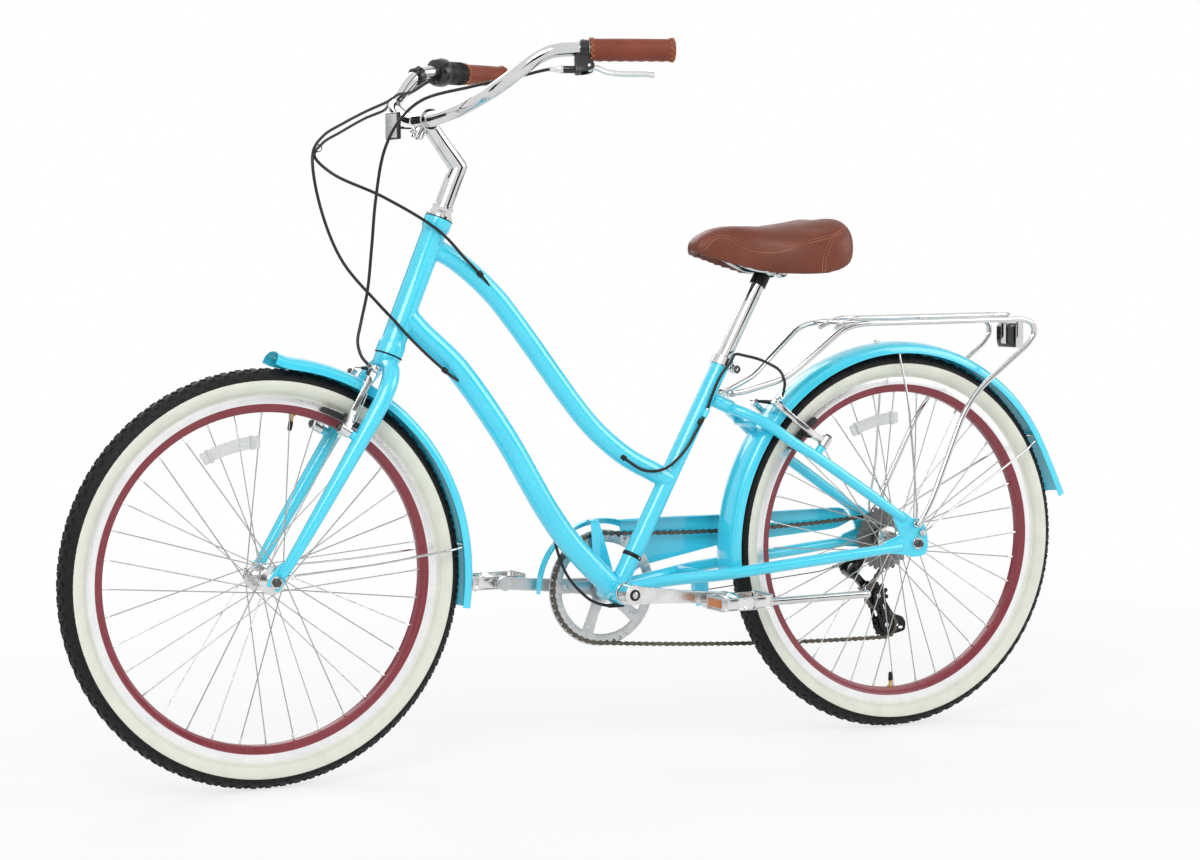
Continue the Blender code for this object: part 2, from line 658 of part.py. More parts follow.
NUT_LOW = HEAD_HIGH + GAP
nut_profile = [(22, NUT_LOW), (22, NUT_LOW + 4), (18, NUT_LOW + 8), (16.8, NUT_LOW + 21),
               (SEAT_R, NUT_LOW + 21), (SEAT_R, NUT_LOW)]
headset_nut = node("headset_nut", turned(nut_profile, STEER_FOOT, STEER_UP, 12), CHROME,
                   steer(0, 0, NUT_LOW))
BAR_CENTRE = steer(80, 0, 772)
STEM_LOW = NUT_LOW + 21 + GAP
QUILL = [(0, 566), (STEERER_BORE - FIT, 566), (STEERER_BORE - FIT, STEM_LOW), (14.5, STEM_LOW),
         (14.5, 716), (0, 716)]
stem = node("stem", turned(QUILL, STEER_FOOT, STEER_UP, 10), CHROME, steer(0, 0, STEM_LOW))
elbow_path = [steer(0, 0, 700), steer(1.5, 0, 718), steer(14, 0, 730), steer(42, 0, 748),
              BAR_CENTRE]
join(stem, tube(elbow_path, 14.5, 10, radii=[14.4, 15, 14.5, 13.5, 13], side=Y))
join(stem, rod(BAR_CENTRE - Y * 20, BAR_CENTRE + Y * 20, 17.5, 10))
ear = BAR_CENTRE + at(12, 0, -22)
join(stem, block(ear, at(0.48, 0, -0.88), at(0.88, 0, 0.48), 9, 7, -9, 9))
cut(stem, rod(BAR_CENTRE - Y * 25, BAR_CENTRE + Y * 25, clear(BAR_CLAMP_R, 10), 10))
join(stem, rod(ear + at(-10.5, 0, -8), ear + at(14, 0, 5), 4, 8))

BAR_HALF = [(890, 0, 1048), (890, 27, 1048), (889.5, 31, 1048), (880, 115, 1059),
            (864, 188, 1080), (852, 207, 1092), (839, 219, 1104), (824, 231, 1118.5),
            (807, 241.5, 1132), (789, 248.8, 1141), (766, 254.8, 1144), (611, 311, 1144)]
BAR_DELTA = BAR_CENTRE - at(890, 0, 1048)
bar_half = [at(*p) + BAR_DELTA for p in BAR_HALF]
BAR_END = bar_half[-1]
BAR_OUT = (bar_half[-1] - bar_half[-2]).normalized()
bar_path = list(reversed(bar_half)) + [at(p.x, -p.y, p.z) for p in bar_half[1:]]
bar_radii = [BAR_CLAMP_R if abs(p.y) < 28 else BAR_R for p in bar_path]
handlebar = node("handlebar", tube(bar_path, BAR_CLAMP_R, 8, None, bar_radii), CHROME, BAR_CENTRE)


def bar_point(from_end, side=1):
    """Centre of the straight part of the bar, this far from its end, and its outward direction."""
    here = BAR_END - BAR_OUT * from_end
    return at(here.x, side * here.y, here.z), at(BAR_OUT.x, side * BAR_OUT.y, BAR_OUT.z)


def grip(name, length, side):
    end, out = bar_point(0, side)
    bore = clear(BAR_R, 10)
    profile = [(0, 4), (14, 4), (18.5, 1), (17, -6), (17.5, -length / 2), (17, 5 - length),
               (18.5, 3 - length), (18.5, -length), (bore, -length), (bore, GAP), (0, GAP)]
    return node(name, turned(profile, end, out, 10, Z), BROWN, end)


grip_left = grip("grip_left", LEFT_GRIP_LENGTH, 1)
grip_right = grip("grip_right", RIGHT_GRIP_LENGTH, -1)
twist_at, twist_out = bar_point(RIGHT_GRIP_LENGTH + 1 + TWIST_LENGTH / 2, -1)
half_twist = TWIST_LENGTH / 2
twist_profile = [(18, half_twist), (18.5, 2), (19.5, 0), (20, -half_twist),
                 (clear(BAR_R, 12), -half_twist), (clear(BAR_R, 12), half_twist)]
shifter_twist = node("shifter_twist", turned(twist_profile, twist_at, twist_out, 12, Z), BLACK,
                     twist_at)
house_at, house_out = bar_point(RIGHT_GRIP_LENGTH + 2 + TWIST_LENGTH, -1)
house_profile = [(21, 0), (24, -3), (24.5, -14), (22, -24), (16, -HOUSING_LENGTH),
                 (clear(BAR_R, 12), -HOUSING_LENGTH), (clear(BAR_R, 12), 0)]
shifter_housing = node("shifter_housing", turned(house_profile, house_at, house_out, 12, Z), BLACK,
                       house_at)
SHIFT_START = house_at - house_out * 30 + at(0, 7, -17.5)
SHIFT_MOUTH = house_at - house_out * 12 + at(0, 7, -17)
join(shifter_housing, rod(SHIFT_MOUTH, SHIFT_START, 4.2, 8))
cut(shifter_housing, rod(house_at + house_out * 5, house_at - house_out * 40, clear(BAR_R, 12) - 0.01,
                         12, Z))

# Brake levers: a bracket round the bar with its cable barrel, and the lever on a pin


def lever_frame(side):
    """Clamp centre, outward along the bar, across towards the lever, and the pin's direction."""
    if side > 0:
        here, out = bar_point(LEFT_GRIP_LENGTH + 9, 1)
        level = at(-out.y, out.x, 0) * -1
        level = level if level.y > 0 else -level
        over = (level * 0.45 - Z * 0.893).normalized()
    else:
        before, after = bar_half[9], bar_half[8]
        here = (before + after) / 2
        out = (before - after).normalized()
        here = at(here.x, -here.y, here.z)
        out = at(out.x, -out.y, out.z)
        level = at(out.y, -out.x, 0).normalized()
        level = level if level.y < 0 else -level
        down = out.cross(level)
        down = down if down.z < 0 else -down
        over = (level * 0.77 + down * 0.64).normalized()
    return here, out, over, out.cross(over)


LEVER_PIN = (6.0, 31.0)
LEVER_SHAPE = [(-1.5, 33), (-1, 26), (6, 23.5), (13, 27), (32, 35), (60, 39), (90, 38.5), (104, 41),
               (108, 46), (99, 47.5), (60, 47), (30, 43.5), (8, 38.5)]


def lever_parts(word, side):
    here, out, over, pin = lever_frame(side)

    def spot(a, o):
        return here + out * a + over * o

    clamp = rod(here - out * 7, here + out * 7, 16, 10, Z)
    bracket = node("brake_bracket_" + word, clamp, BLACK, here)
    body = [(-16, 10), (7, 10), (7, 19.5), (14, 26), (14, 35), (6, 39), (-4, 42), (-16, 42)]
    join(bracket, prism(body, here, out, over, -7.5, 7.5))
    local = [at(p.x, side * p.y, p.z) for p in (bar_half[-2:] if side > 0 else bar_half[6:11])]
    cut(bracket, tube(local, clear(BAR_R, 10), 10))
    cut(bracket, prism([(-4.5, 18.5), (20, 18.5), (20, 50), (-4.5, 50)], here, out, over, -4.4, 4.4))
    join(bracket, rod(spot(*LEVER_PIN) - pin * 6, spot(*LEVER_PIN) + pin * 6, 2.6, 6, out))
    join(bracket, rod(spot(-10, 35), spot(-46, 35), 5.8, 6, pin))
    lever = node("brake_lever_" + word,
                 prism(LEVER_SHAPE, here, out, over, -4, 4,
                       [[(LEVER_PIN[0] + a, LEVER_PIN[1] + b) for a, b in circle(clear(2.6, 6), 6)]]),
                 BLACK, spot(*LEVER_PIN))
    return bracket, lever, [spot(-46 - GAP, 35), spot(-56, 35)]


brake_bracket_left, brake_lever_left, left_start = lever_parts("left", 1)
brake_bracket_right, brake_lever_right, right_start = lever_parts("right", -1)

# Brake arms with their pads


def brake_arm(name, side):
    pivot, up, stud = brake_frame(name)
    hub = REAR_HUB if name == "rear" else FRONT_HUB
    outline = [(54, -6), (67, -6), (68, 6), (52, 33), (48, 92), (43, 108), (33.5, 108), (37.5, 88),
               (38.5, 24), (51, 5)]
    arm = prism([(y - pivot.y, a) for y, a in outline], pivot, Y, up, -5, 5)
    word = "left" if side > 0 else "right"
    flip = (lambda shape: shape) if side > 0 else mirrored
    centre = pivot if side > 0 else at(pivot.x, -pivot.y, pivot.z)
    made = node(name + "_brake_arm_" + word, flip(arm), BLACK, centre)
    barrel = rod(pivot - stud * 9.7, pivot + stud * 9.7, 9, 6, up)
    join(made, flip(barrel))
    cut(made, flip(rod(pivot - stud * 12, pivot + stud * 12, clear(4, 6), 6, up)))
    pad_at = pivot + up * 22
    outward = (at(pad_at.x, 0, pad_at.z) - hub).normalized()
    pad_at = hub + outward * 280
    run = at(-outward.z, 0, outward.x)
    run = run if run.z > 0 else -run
    middle = at(pad_at.x, 18.5, pad_at.z)
    pad = block(middle, run, outward, 35, 4.8, -5, 5)
    post = rod(at(pad_at.x, 22, pad_at.z), at(pad_at.x, 54, pad_at.z), 4, 6, outward)
    join(made, flip(post), flip(pad))
    return made


front_arm_left = brake_arm("front", 1)
front_arm_right = brake_arm("front", -1)
rear_arm_left = brake_arm("rear", 1)
rear_arm_right = brake_arm("rear", -1)

# Tyres, rims, hubs with their spokes

TYRE_OUT = [(9.2, 280.3), (11.5, 287.5), (24, 301), (24, 314), (10, WHEEL_RADIUS),
            (-10, WHEEL_RADIUS), (-24, 314), (-24, 301), (-11.5, 287.5), (-9.2, 280.3)]
TYRE_IN = [(-6.8, 280.3), (-18, 308), (18, 308), (6.8, 280.3)]
RIM = [(9, RIM_INNER), (TRACK_HALF, 287.2), (9.5, 280), (-9.5, 280), (-TRACK_HALF, 287.2),
       (-9, RIM_INNER)]
WHEEL_SIDES = 28
SPOKE_END = RIM_INNER * math.cos(math.pi / WHEEL_SIDES) - 0.6


def ring_of(section, hub, sides):
    return turned([(r, y) for y, r in section], hub, Y, sides, Z)


def hub_and_spokes(name, hub, body, axle_r, left, right):
    made = node(name, turned([(0, body[0][1])] + body + [(0, body[-1][1])], hub, Y, 10, X), SILVER,
                hub)
    spokes = []
    for k in range(SPOKE_COUNT):
        flange_y, flange_r = left if k % 2 == 0 else right
        way = 1 if (k // 2) % 2 == 0 else -1
        lift = 1.3 if way > 0 else -1.3
        rim_turn = 360.0 * k / SPOKE_COUNT
        hub_turn = rim_turn - way * 58
        start = around(hub, hub_turn, flange_r - 2.2, flange_y + lift)
        end = around(hub, rim_turn, SPOKE_END, flange_y * 0.06)
        spokes.append(rod(start, end, SPOKE_R, 3))
    join(made, merged(*spokes[0::4]), merged(*spokes[1::4]), merged(*spokes[2::4]),
         merged(*spokes[3::4]))
    cut(made, rod(hub - Y * 90, hub + Y * 90, clear(axle_r, 6), 6, X))
    return made


front_tyre = node("front_tyre", ring_of(TYRE_OUT + TYRE_IN, FRONT_HUB, WHEEL_SIDES), TREAD, FRONT_HUB)
front_rim = node("front_rim", ring_of(RIM, FRONT_HUB, WHEEL_SIDES), BURGUNDY, FRONT_HUB)
FRONT_BODY = [(10, -FORK_IN + GAP), (10, -39), (22, -37.4), (22, -32.6), (12, -30), (12, 30),
              (22, 32.6), (22, 37.4), (10, 39), (10, FORK_IN - GAP)]
front_hub = hub_and_spokes("front_hub", FRONT_HUB, FRONT_BODY, AXLE_R_FRONT, (35, 22), (-35, 22))
rear_tyre = node("rear_tyre", ring_of(TYRE_OUT + TYRE_IN, REAR_HUB, WHEEL_SIDES), TREAD, REAR_HUB)
rear_rim = node("rear_rim", ring_of(RIM, REAR_HUB, WHEEL_SIDES), BURGUNDY, REAR_HUB)
REAR_BODY = [(10, -DROPOUT_IN + GAP), (11.5, -65), (11.5, -26), (22, -23), (22, -18), (13, -15),
             (13, 28), (22, 31.6), (22, 36.4), (11, 38.5), (10, DROPOUT_IN - GAP)]
rear_hub = hub_and_spokes("rear_hub", REAR_HUB, REAR_BODY, AXLE_R_REAR, (34, 22), (-20.5, 22))

# Drive: where each sprocket stands, and the path of the chain round them


def pitch_radius(teeth):
    return CHAIN_PITCH / (2 * math.sin(math.pi / teeth))


class Wheel:
    def __init__(self, x, z, teeth, way):
        self.x = x
        self.z = z
        self.teeth = teeth
        self.way = way
        self.radius = pitch_radius(teeth)

    def spot(self, turn):
        return (self.x + self.radius * math.cos(turn), self.z + self.radius * math.sin(turn))


def tangent(first, second):
    """Direction of the chain's straight run from the first wheel to the second."""
    dx = second.x - first.x
    dz = second.z - first.z
    lean = math.asin((second.way * second.radius - first.way * first.radius) / math.hypot(dx, dz))
    return math.atan2(dz, dx) - lean


def drive_layout(cage_angle):
    """Chain path for a cage angle: a list of (x, z, distance in chain pitches) and the arcs."""
    cassette = Wheel(0, WHEEL_RADIUS, FREEWHEEL_TEETH[ENGAGED], 1)
    guide = Wheel(GUIDE[0], GUIDE[1], PULLEY_TEETH, -1)
    tension = Wheel(GUIDE[0] + CAGE_LENGTH * math.cos(cage_angle),
                    GUIDE[1] + CAGE_LENGTH * math.sin(cage_angle), PULLEY_TEETH, 1)
    ring = Wheel(BB_X, BB_Z, RING_TEETH, 1)
    wheels = [cassette, guide, tension, ring]
    sags = [0, 0, LOW_RUN_SAG, TOP_RUN_SAG]
    leaving = []
    arriving = [0] * 4
    for i, wheel in enumerate(wheels):
        after = wheels[(i + 1) % 4]
        run = tangent(wheel, after)
        length = math.hypot(after.x - wheel.x, after.z - wheel.z)
        droop = math.atan(4 * sags[i] / length)
        forward = math.cos(run) > 0
        leaving.append(run - droop if forward else run + droop)
        arriving[(i + 1) % 4] = run + droop if forward else run - droop
    line = []
    arcs = []
    travelled = 0.0
    for i, wheel in enumerate(wheels):
        start = arriving[i] - wheel.way * math.pi / 2
        end = leaving[i] - wheel.way * math.pi / 2
        wrap = ((end - start) * wheel.way) % (2 * math.pi)
        arcs.append((wheel, start, travelled))
        steps = max(6, int(wrap * wheel.teeth))
        for k in range(steps + 1):
            turn = start + wheel.way * wrap * k / steps
            line.append((*wheel.spot(turn), travelled + wrap * k / steps * wheel.teeth
                         / (2 * math.pi)))
        travelled = line[-1][2]
        after = wheels[(i + 1) % 4]
        p = Vector(line[-1][:2])
        q = Vector(after.spot(arriving[(i + 1) % 4] - after.way * math.pi / 2))
        reach = (q - p).length / 3
        a = p + Vector((math.cos(leaving[i]), math.sin(leaving[i]))) * reach
        turn = arriving[(i + 1) % 4]
        b = q - Vector((math.cos(turn), math.sin(turn))) * reach
        here = p
        for k in range(1, 41):
            t = k / 40
            there = p * (1 - t) ** 3 + a * 3 * t * (1 - t) ** 2 + b * 3 * t * t * (1 - t) + q * t ** 3
            travelled += (there - here).length / CHAIN_PITCH
            line.append((there.x, there.y, travelled))
            here = there
    return line, arcs, travelled, tension


# The cage hangs at the angle where the chain is a whole, even number of links
steep = math.radians(-75)
slack = math.radians(-130)
LINKS = 2 * round(drive_layout(math.radians(-105))[2] / 2)
for _ in range(60):
    cage_angle = (steep + slack) / 2
    if (drive_layout(cage_angle)[2] > LINKS) == (drive_layout(steep)[2] > drive_layout(slack)[2]):
        steep = cage_angle
    else:
        slack = cage_angle
chain_line, chain_arcs, chain_links, tension_wheel = drive_layout(cage_angle)


def chain_spot(pitches):
    pitches %= chain_links
    for (x0, z0, d0), (x1, z1, d1) in zip(chain_line, chain_line[1:]):
        if d0 <= pitches <= d1 and d1 > d0:
            t = (pitches - d0) / (d1 - d0)
            return Vector((x0 + (x1 - x0) * t, z0 + (z1 - z0) * t))
    return Vector(chain_line[-1][:2])


def sprocket_phase(arc):
    """The turn of a gap between two teeth, so that a pin of the chain lies in it."""
    wheel, start, travelled = arc
    first_pin = math.ceil(travelled) - travelled
    return start + wheel.way * first_pin * 2 * math.pi / wheel.teeth


def toothed(teeth, phase, x, z):
    """Outline of a sprocket: a gap is centred on the given turn."""
    radius = pitch_radius(teeth)
    low = radius * math.cos(math.pi / teeth) - CHAIN_HALF_HEIGHT - GAP
    high = radius * math.cos(math.pi / teeth) + 2.9
    base = math.asin((WINDOW_HALF_LENGTH - 0.6) / low)
    outline = []
    for k in range(teeth):
        middle = phase + 2 * math.pi * (k + 0.5) / teeth
        for r, turn in ((low, -base), (high, 0), (low, base)):
            outline.append((x + r * math.cos(middle + turn), z + r * math.sin(middle + turn)))
    return outline


def slab(outline, y, half, holes=()):
    return prism(outline, at(0, y, 0), X, Z, -half, half, holes)


# Chain: a closed band of links with a window for a tooth in each


def chain_shape():
    """A closed band of links; near a sprocket each link has a pocket for a tooth."""
    pins = [chain_spot(k) for k in range(LINKS)]
    ways = []
    for k, here in enumerate(pins):
        middle = (here + pins[(k + 1) % LINKS]) / 2
        ways.append(0)
        for w, start, travelled in chain_arcs:
            margin = 8 if w.teeth == RING_TEETH else 5
            if (middle - Vector((w.x, w.z))).length < w.radius + margin:
                ways[-1] = w.way
    kept = [k for k in range(LINKS) if ways[k] or ways[k - 1] or k % 6 == 0]
    pins = [pins[k] for k in kept]
    ways = [ways[k] for k in kept]
    count = len(pins)
    points = []
    faces = []
    for k, here in enumerate(pins):
        before = (here - pins[k - 1]).normalized()
        after = (pins[(k + 1) % count] - here).normalized()
        bend = (before + after).normalized()
        out = Vector((bend.y, -bend.x)) * (CHAIN_HALF_HEIGHT / bend.dot(after))
        face_out = Vector((after.y, -after.x)) * CHAIN_HALF_HEIGHT
        middle = (here + pins[(k + 1) % count]) / 2
        mouth = middle - face_out * ways[k]
        floor = middle + face_out * ways[k] * POCKET_DEPTH
        reach = after * WINDOW_HALF_LENGTH
        for p, half in ((here + out, CHAIN_HALF_WIDTH), (here - out, CHAIN_HALF_WIDTH),
                        (mouth - reach, WINDOW_HALF_WIDTH), (mouth + reach, WINDOW_HALF_WIDTH),
                        (floor - reach, WINDOW_HALF_WIDTH), (floor + reach, WINDOW_HALF_WIDTH)):
            points += [at(p.x, CHAIN_Y + half, p.y), at(p.x, CHAIN_Y - half, p.y)]
    size = 12
    for k in range(count):
        b = k * size
        n = (k + 1) % count * size
        faces += [[b, n, n + 2, b + 2], [b + 1, b + 3, n + 3, n + 1]]
        for face, way in ((0, -1), (2, 1)):
            if ways[k] != way:
                faces.append([b + face, b + face + 1, n + face + 1, n + face])
                continue
            faces += [[b + face, b + 4, b + 5, b + face + 1], [n + face, n + face + 1, b + 7, b + 6],
                      [b + face, n + face, b + 6, b + 4],
                      [b + face + 1, b + 5, b + 7, n + face + 1],
                      [b + 4, b + 6, b + 10, b + 8], [b + 5, b + 9, b + 11, b + 7],
                      [b + 4, b + 8, b + 9, b + 5], [b + 6, b + 7, b + 11, b + 10],
                      [b + 8, b + 10, b + 11, b + 9]]
    return points, faces


chain = node("chain", chain_shape(), STEEL, at(300, CHAIN_Y, 160))

# Chainring, cranks and pedals

ring_arc = chain_arcs[3]
CRANK_WAY = at(math.cos(math.radians(CRANK_TILT)), 0, math.sin(math.radians(CRANK_TILT)))
windows = []
for k in range(5):
    centre = 360 / 5 * k + 36 + CRANK_TILT
    outer = [around(BB, centre + a, 77) for a in (-28, 0, 28)]
    inner = [around(BB, centre + a, 27) for a in (12, -12)]
    windows.append([(p.x, p.z) for p in outer + inner])
spindle_hole = [(BB.x + a, BB.z + b) for a, b in circle(clear(15.7, 10), 10)]
chainring = node("chainring", slab(toothed(RING_TEETH, sprocket_phase(ring_arc), BB.x, BB.z),
                                   CHAIN_Y, 1.1, windows + [spindle_hole]), SILVER,
                 BB + Y * CHAIN_Y)


def crank(name, side, inner_y, outer_y):
    way = CRANK_WAY * (-side)
    end = BB + way * CRANK_LENGTH
    start = BB + Y * side * inner_y
    finish = end + Y * side * outer_y
    path = [start, start.lerp(finish, 0.12), start.lerp(finish, 0.5), start.lerp(finish, 0.93),
            finish]
    section = [(-6, -14), (-2, -16), (6, -14), (6, 14), (-2, 16), (-6, 14)]
    made = node(name, sweep(path, section, side=Y, scales=[0.98, 0.95, 0.72, 0.66, 0.66]), SILVER,
                BB)
    return made, end


crank_left, left_end = crank("crank_left", 1, 64, 71)
join(crank_left, rod(BB + Y * 40, BB + Y * 70, 17, 10), rod(left_end + Y * 65, left_end + Y * 77,
                                                            12, 8))
join(crank_left, rod(left_end + Y * 70, left_end + Y * (PEDAL_Y[1] - 6), 5.5, 8))
cut(crank_left, rod(BB + Y * 30, BB + Y * 64, 8.5 + FIT, 12))
crank_right, right_end = crank("crank_right", -1, 72, 75)
join(crank_right, rod(BB - Y * 41, BB - Y * 78, 15.7, 10),
     rod(right_end - Y * 69, right_end - Y * 81, 12, 8))
join(crank_right, rod(BB - Y * 50, BB + Y * 62, 8.5, 12))
join(crank_right, rod(right_end - Y * 74, right_end - Y * (PEDAL_Y[1] - 6), 5.5, 8))


def pedal(name, centre, side):
    low, high = PEDAL_Y
    corners = [(-50, low + 8), (-44, low), (44, low), (50, low + 8), (50, high - 8), (44, high),
               (-44, high), (-50, high - 8)]
    outline = [(a, side * b) for a, b in corners]
    windows = [[(s * 15, side * (low + 9)), (s * 41, side * (low + 9)), (s * 41, side * (high - 9)),
                (s * 15, side * (high - 9))] for s in (1, -1)]
    made = node(name, prism(outline, centre, X, Y, -12, 12, windows), BLACK, centre)
    cut(made, rod(centre + Y * side * (low - 5), centre + Y * side * (high - 5.6), clear(5.5, 8), 8))
    return made


pedal_left = pedal("pedal_left", left_end, 1)
pedal_right = pedal("pedal_right", right_end, -1)

# Freewheel: seven sprockets on one body

freewheel = node("freewheel", rod(REAR_HUB - Y * 29.8, REAR_HUB - Y * 64.5, 22, 8), STEEL, REAR_HUB)
for index, teeth in enumerate(FREEWHEEL_TEETH):
    engaged = index == ENGAGED
    phase = sprocket_phase(chain_arcs[0]) if engaged else 0.3 * index
    y = CHAIN_Y + (ENGAGED - index) * SPROCKET_STEP
    outline = toothed(teeth, phase, 0, WHEEL_RADIUS)
    if not engaged:
        size = pitch_radius(teeth) + 2
        outline = [(a, WHEEL_RADIUS + b) for a, b in circle(size, 10 if teeth < 20 else 12)]
    join(freewheel, slab(outline, y, 1.0))
cut(freewheel, rod(REAR_HUB - Y * 27, REAR_HUB - Y * 70, clear(11.5, 8), 8))

# Derailleur: body on the hanger, swinging link, knuckle, cage and its two pulleys

GUIDE_AT = at(GUIDE[0], CHAIN_Y, GUIDE[1])
TENSION_AT = at(tension_wheel.x, CHAIN_Y, tension_wheel.z)
LINK_Y = -63.0
LINK_TOP = at(47, LINK_Y, 268)
LINK_LOW = at(21, LINK_Y, 241)
LINK_WAY = (LINK_LOW - LINK_TOP).normalized()
LINK_PIN = LINK_WAY.cross(Y)
CAGE_WAY = (TENSION_AT - GUIDE_AT).normalized()
CAGE_SIDE = at(-CAGE_WAY.z, 0, CAGE_WAY.x)
CAGE_SIDE = CAGE_SIDE if CAGE_SIDE.x < 0 else -CAGE_SIDE

body_plate = [(-14, 300), (-10, 290), (12, 282), (36, 262), (58, 262), (66, 276), (60, 288),
              (40, 297), (6, 311), (-8, 311)]
derailleur_body = node("derailleur_body", prism(body_plate, at(0, 0, 0), X, Z, DROPOUT_OUT + GAP,
                                                DROPOUT_OUT + 6), BLACK, HANGER_EYE)
join(derailleur_body, rod(HANGER_EYE - Y * (DROPOUT_IN - 1), HANGER_EYE - Y * (DROPOUT_OUT + 8), 5,
                          10))


def ears(hinge, way, y_near, y_far):
    """A clevis round a link's end, open towards the link, with its pin."""
    middle = hinge + Y * ((y_near + y_far) / 2 - hinge.y)
    half = abs(y_near - y_far) / 2
    shapes = [block(middle + LINK_PIN * s * 8.6 + LINK_WAY * 4 * way, LINK_WAY, Y, 10, half, -1.7, 1.7)
              for s in (1, -1)]
    back = block(middle + LINK_WAY * 11.5 * way, LINK_WAY, Y, 2.7, half - 0.4, -9.5, 9.5)
    return shapes + [back, rod(hinge - LINK_PIN * 9, hinge + LINK_PIN * 9, 2.6, 6)]


join(derailleur_body, *ears(LINK_TOP, -1, -DROPOUT_OUT - 3, -55.5))
join(derailleur_body, rod(at(58, -72, 281), at(76, -68, 281), 4.5, 8))
link_length = (LINK_LOW - LINK_TOP).length
link_shape = [(-5, -5), (link_length + 5, -5), (link_length + 5, 5), (-5, 5)]
derailleur_link = node("derailleur_link", prism(link_shape, LINK_TOP, LINK_WAY, Y, -6.5, 6.5),
                       BLACK, LINK_TOP)
cut(derailleur_link, rod(LINK_TOP - LINK_PIN * 10, LINK_TOP + LINK_PIN * 10, clear(2.6, 6), 6),
    rod(LINK_LOW - LINK_PIN * 10, LINK_LOW + LINK_PIN * 10, clear(2.6, 6), 6))
knuckle_at = at(GUIDE_AT.x, 0, GUIDE_AT.z)
derailleur_knuckle = node("derailleur_knuckle", rod(knuckle_at - Y * 54.6, knuckle_at - Y * 70, 11,
                                                    12), BLACK, LINK_LOW)
join(derailleur_knuckle, *ears(LINK_LOW, 1, -70.5, -55.5))
cut(derailleur_knuckle, rod(knuckle_at - Y * 50, knuckle_at - Y * 66, clear(5, 10), 10))

OUTER_CAGE = [(-12, -6), (-7, -13), (20, -17), (52, -21), (70, -17), (77, 0), (82, 22), (84, 40),
              (70, 46), (58, 43), (46, 26), (24, 20), (2, 13), (-9, 9)]
INNER_CAGE = [(-11, -7), (0, -12), (56, -13), (70, -8), (70, 8), (56, 13), (0, 12), (-11, 7)]
derailleur_cage = node("derailleur_cage",
                       prism(OUTER_CAGE, GUIDE_AT - Y * 5.6, CAGE_WAY, CAGE_SIDE, -0.8, 0.8),
                       BLACK, GUIDE_AT)
join(derailleur_cage, prism(INNER_CAGE, GUIDE_AT + Y * 5.6, CAGE_WAY, CAGE_SIDE, -0.8, 0.8))
join(derailleur_cage, rod(GUIDE_AT + Y * 6.3, GUIDE_AT - Y * 18, 3, 8),
     rod(TENSION_AT + Y * 6.3, TENSION_AT - Y * 6.3, 3, 8),
     rod(GUIDE_AT - Y * 6, GUIDE_AT - Y * 18, 5, 10))


def jockey(name, centre, arc):
    outline = toothed(PULLEY_TEETH, sprocket_phase(arc), centre.x, centre.z)
    hole = [(centre.x + a, centre.z + b) for a, b in circle(clear(3.0, 8), 8)]
    return node(name, slab(outline, CHAIN_Y, 1.1, [hole]), BLACK, centre)


jockey_upper = jockey("jockey_upper", GUIDE_AT, chain_arcs[1])
jockey_lower = jockey("jockey_lower", TENSION_AT, chain_arcs[2])

# Kickstand

KICK_PIVOT = at(395, 16, 246)
KICK_AXIS = at(0.1935, -0.947, -0.2546).normalized()
join(chainstays, block(at(394, 2, 268), X, Y, 12, 10, -19, 19))
join(chainstays, rod(KICK_PIVOT + KICK_AXIS * 16, KICK_PIVOT - KICK_AXIS * 18, 5, 8))
kickstand_leg = node("kickstand_leg", collar(KICK_PIVOT, -KICK_AXIS, clear(5, 8), 10, 2, 14, 8),
                     SILVER, KICK_PIVOT)
leg_line = [KICK_PIVOT - KICK_AXIS * 8 + at(-6, 0, -1), at(366, 38, 240), at(325, 58, 244),
            at(104, 70, 247)]
join(kickstand_leg, tube(leg_line, 6.5, 8, radii=[6.5, 6.5, 6.5, 6.5]))
cut(kickstand_leg, rod(KICK_PIVOT + KICK_AXIS * 30, KICK_PIVOT - KICK_AXIS * 40, clear(5, 8) - 0.01, 8))

# Seat post with its clamp head, saddle base with rails, and the saddle's padding

POST = [(0, POST_FOOT), (POST_R, POST_FOOT), (POST_R, POST_TOP - 18), (15.5, POST_TOP - 18),
        (15.5, POST_TOP + 11), (0, POST_TOP + 11)]
seat_post = node("seat_post", turned(POST, BB, SEAT_UP, 12), CHROME, seat(0, 0, POST_FOOT))
HEAD_AT = at(263, 0, 804)
join(seat_post, rod(HEAD_AT - Y * 27, HEAD_AT + Y * 27, 9.5, 10))
cut(seat_post, rod(seat(0, 0, POST_FOOT - 5), seat(0, 0, POST_TOP - 14), POST_R - 2, 12))

RAIL_Y = 21.0
RAIL_R = 3.5
rail_line = [at(173, RAIL_Y + 8, 821.5), at(188, RAIL_Y + 6, 810), at(212, RAIL_Y, 804),
             at(316, RAIL_Y, 804), at(345, RAIL_Y - 6, 815), at(370, 10, 834.5)]
cut(seat_post, both(tube([at(150, RAIL_Y, 804), at(400, RAIL_Y, 804)], clear(RAIL_R, 8), 8)))

SADDLE = [(409, 14, 849, 841, 844, 846), (402, 22, 858, 835, 843, 848),
          (385, 27, 870, 830, 844, 850), (360, 31, 879, 824, 842, 850),
          (330, 37, 881, 817, 838, 848), (300, 50, 878, 808, 832, 844),
          (272, 70, 876, 801, 828, 840), (240, 88, 877, 799, 826, 838),
          (205, 99, 881, 800, 826, 838), (175, 103, 888, 808, 828, 842),
          (155, 98, 889, 824, 834, 850), (142, 84, 882, 842, 846, 858),
          (136, 62, 872, 856, 858, 866)]


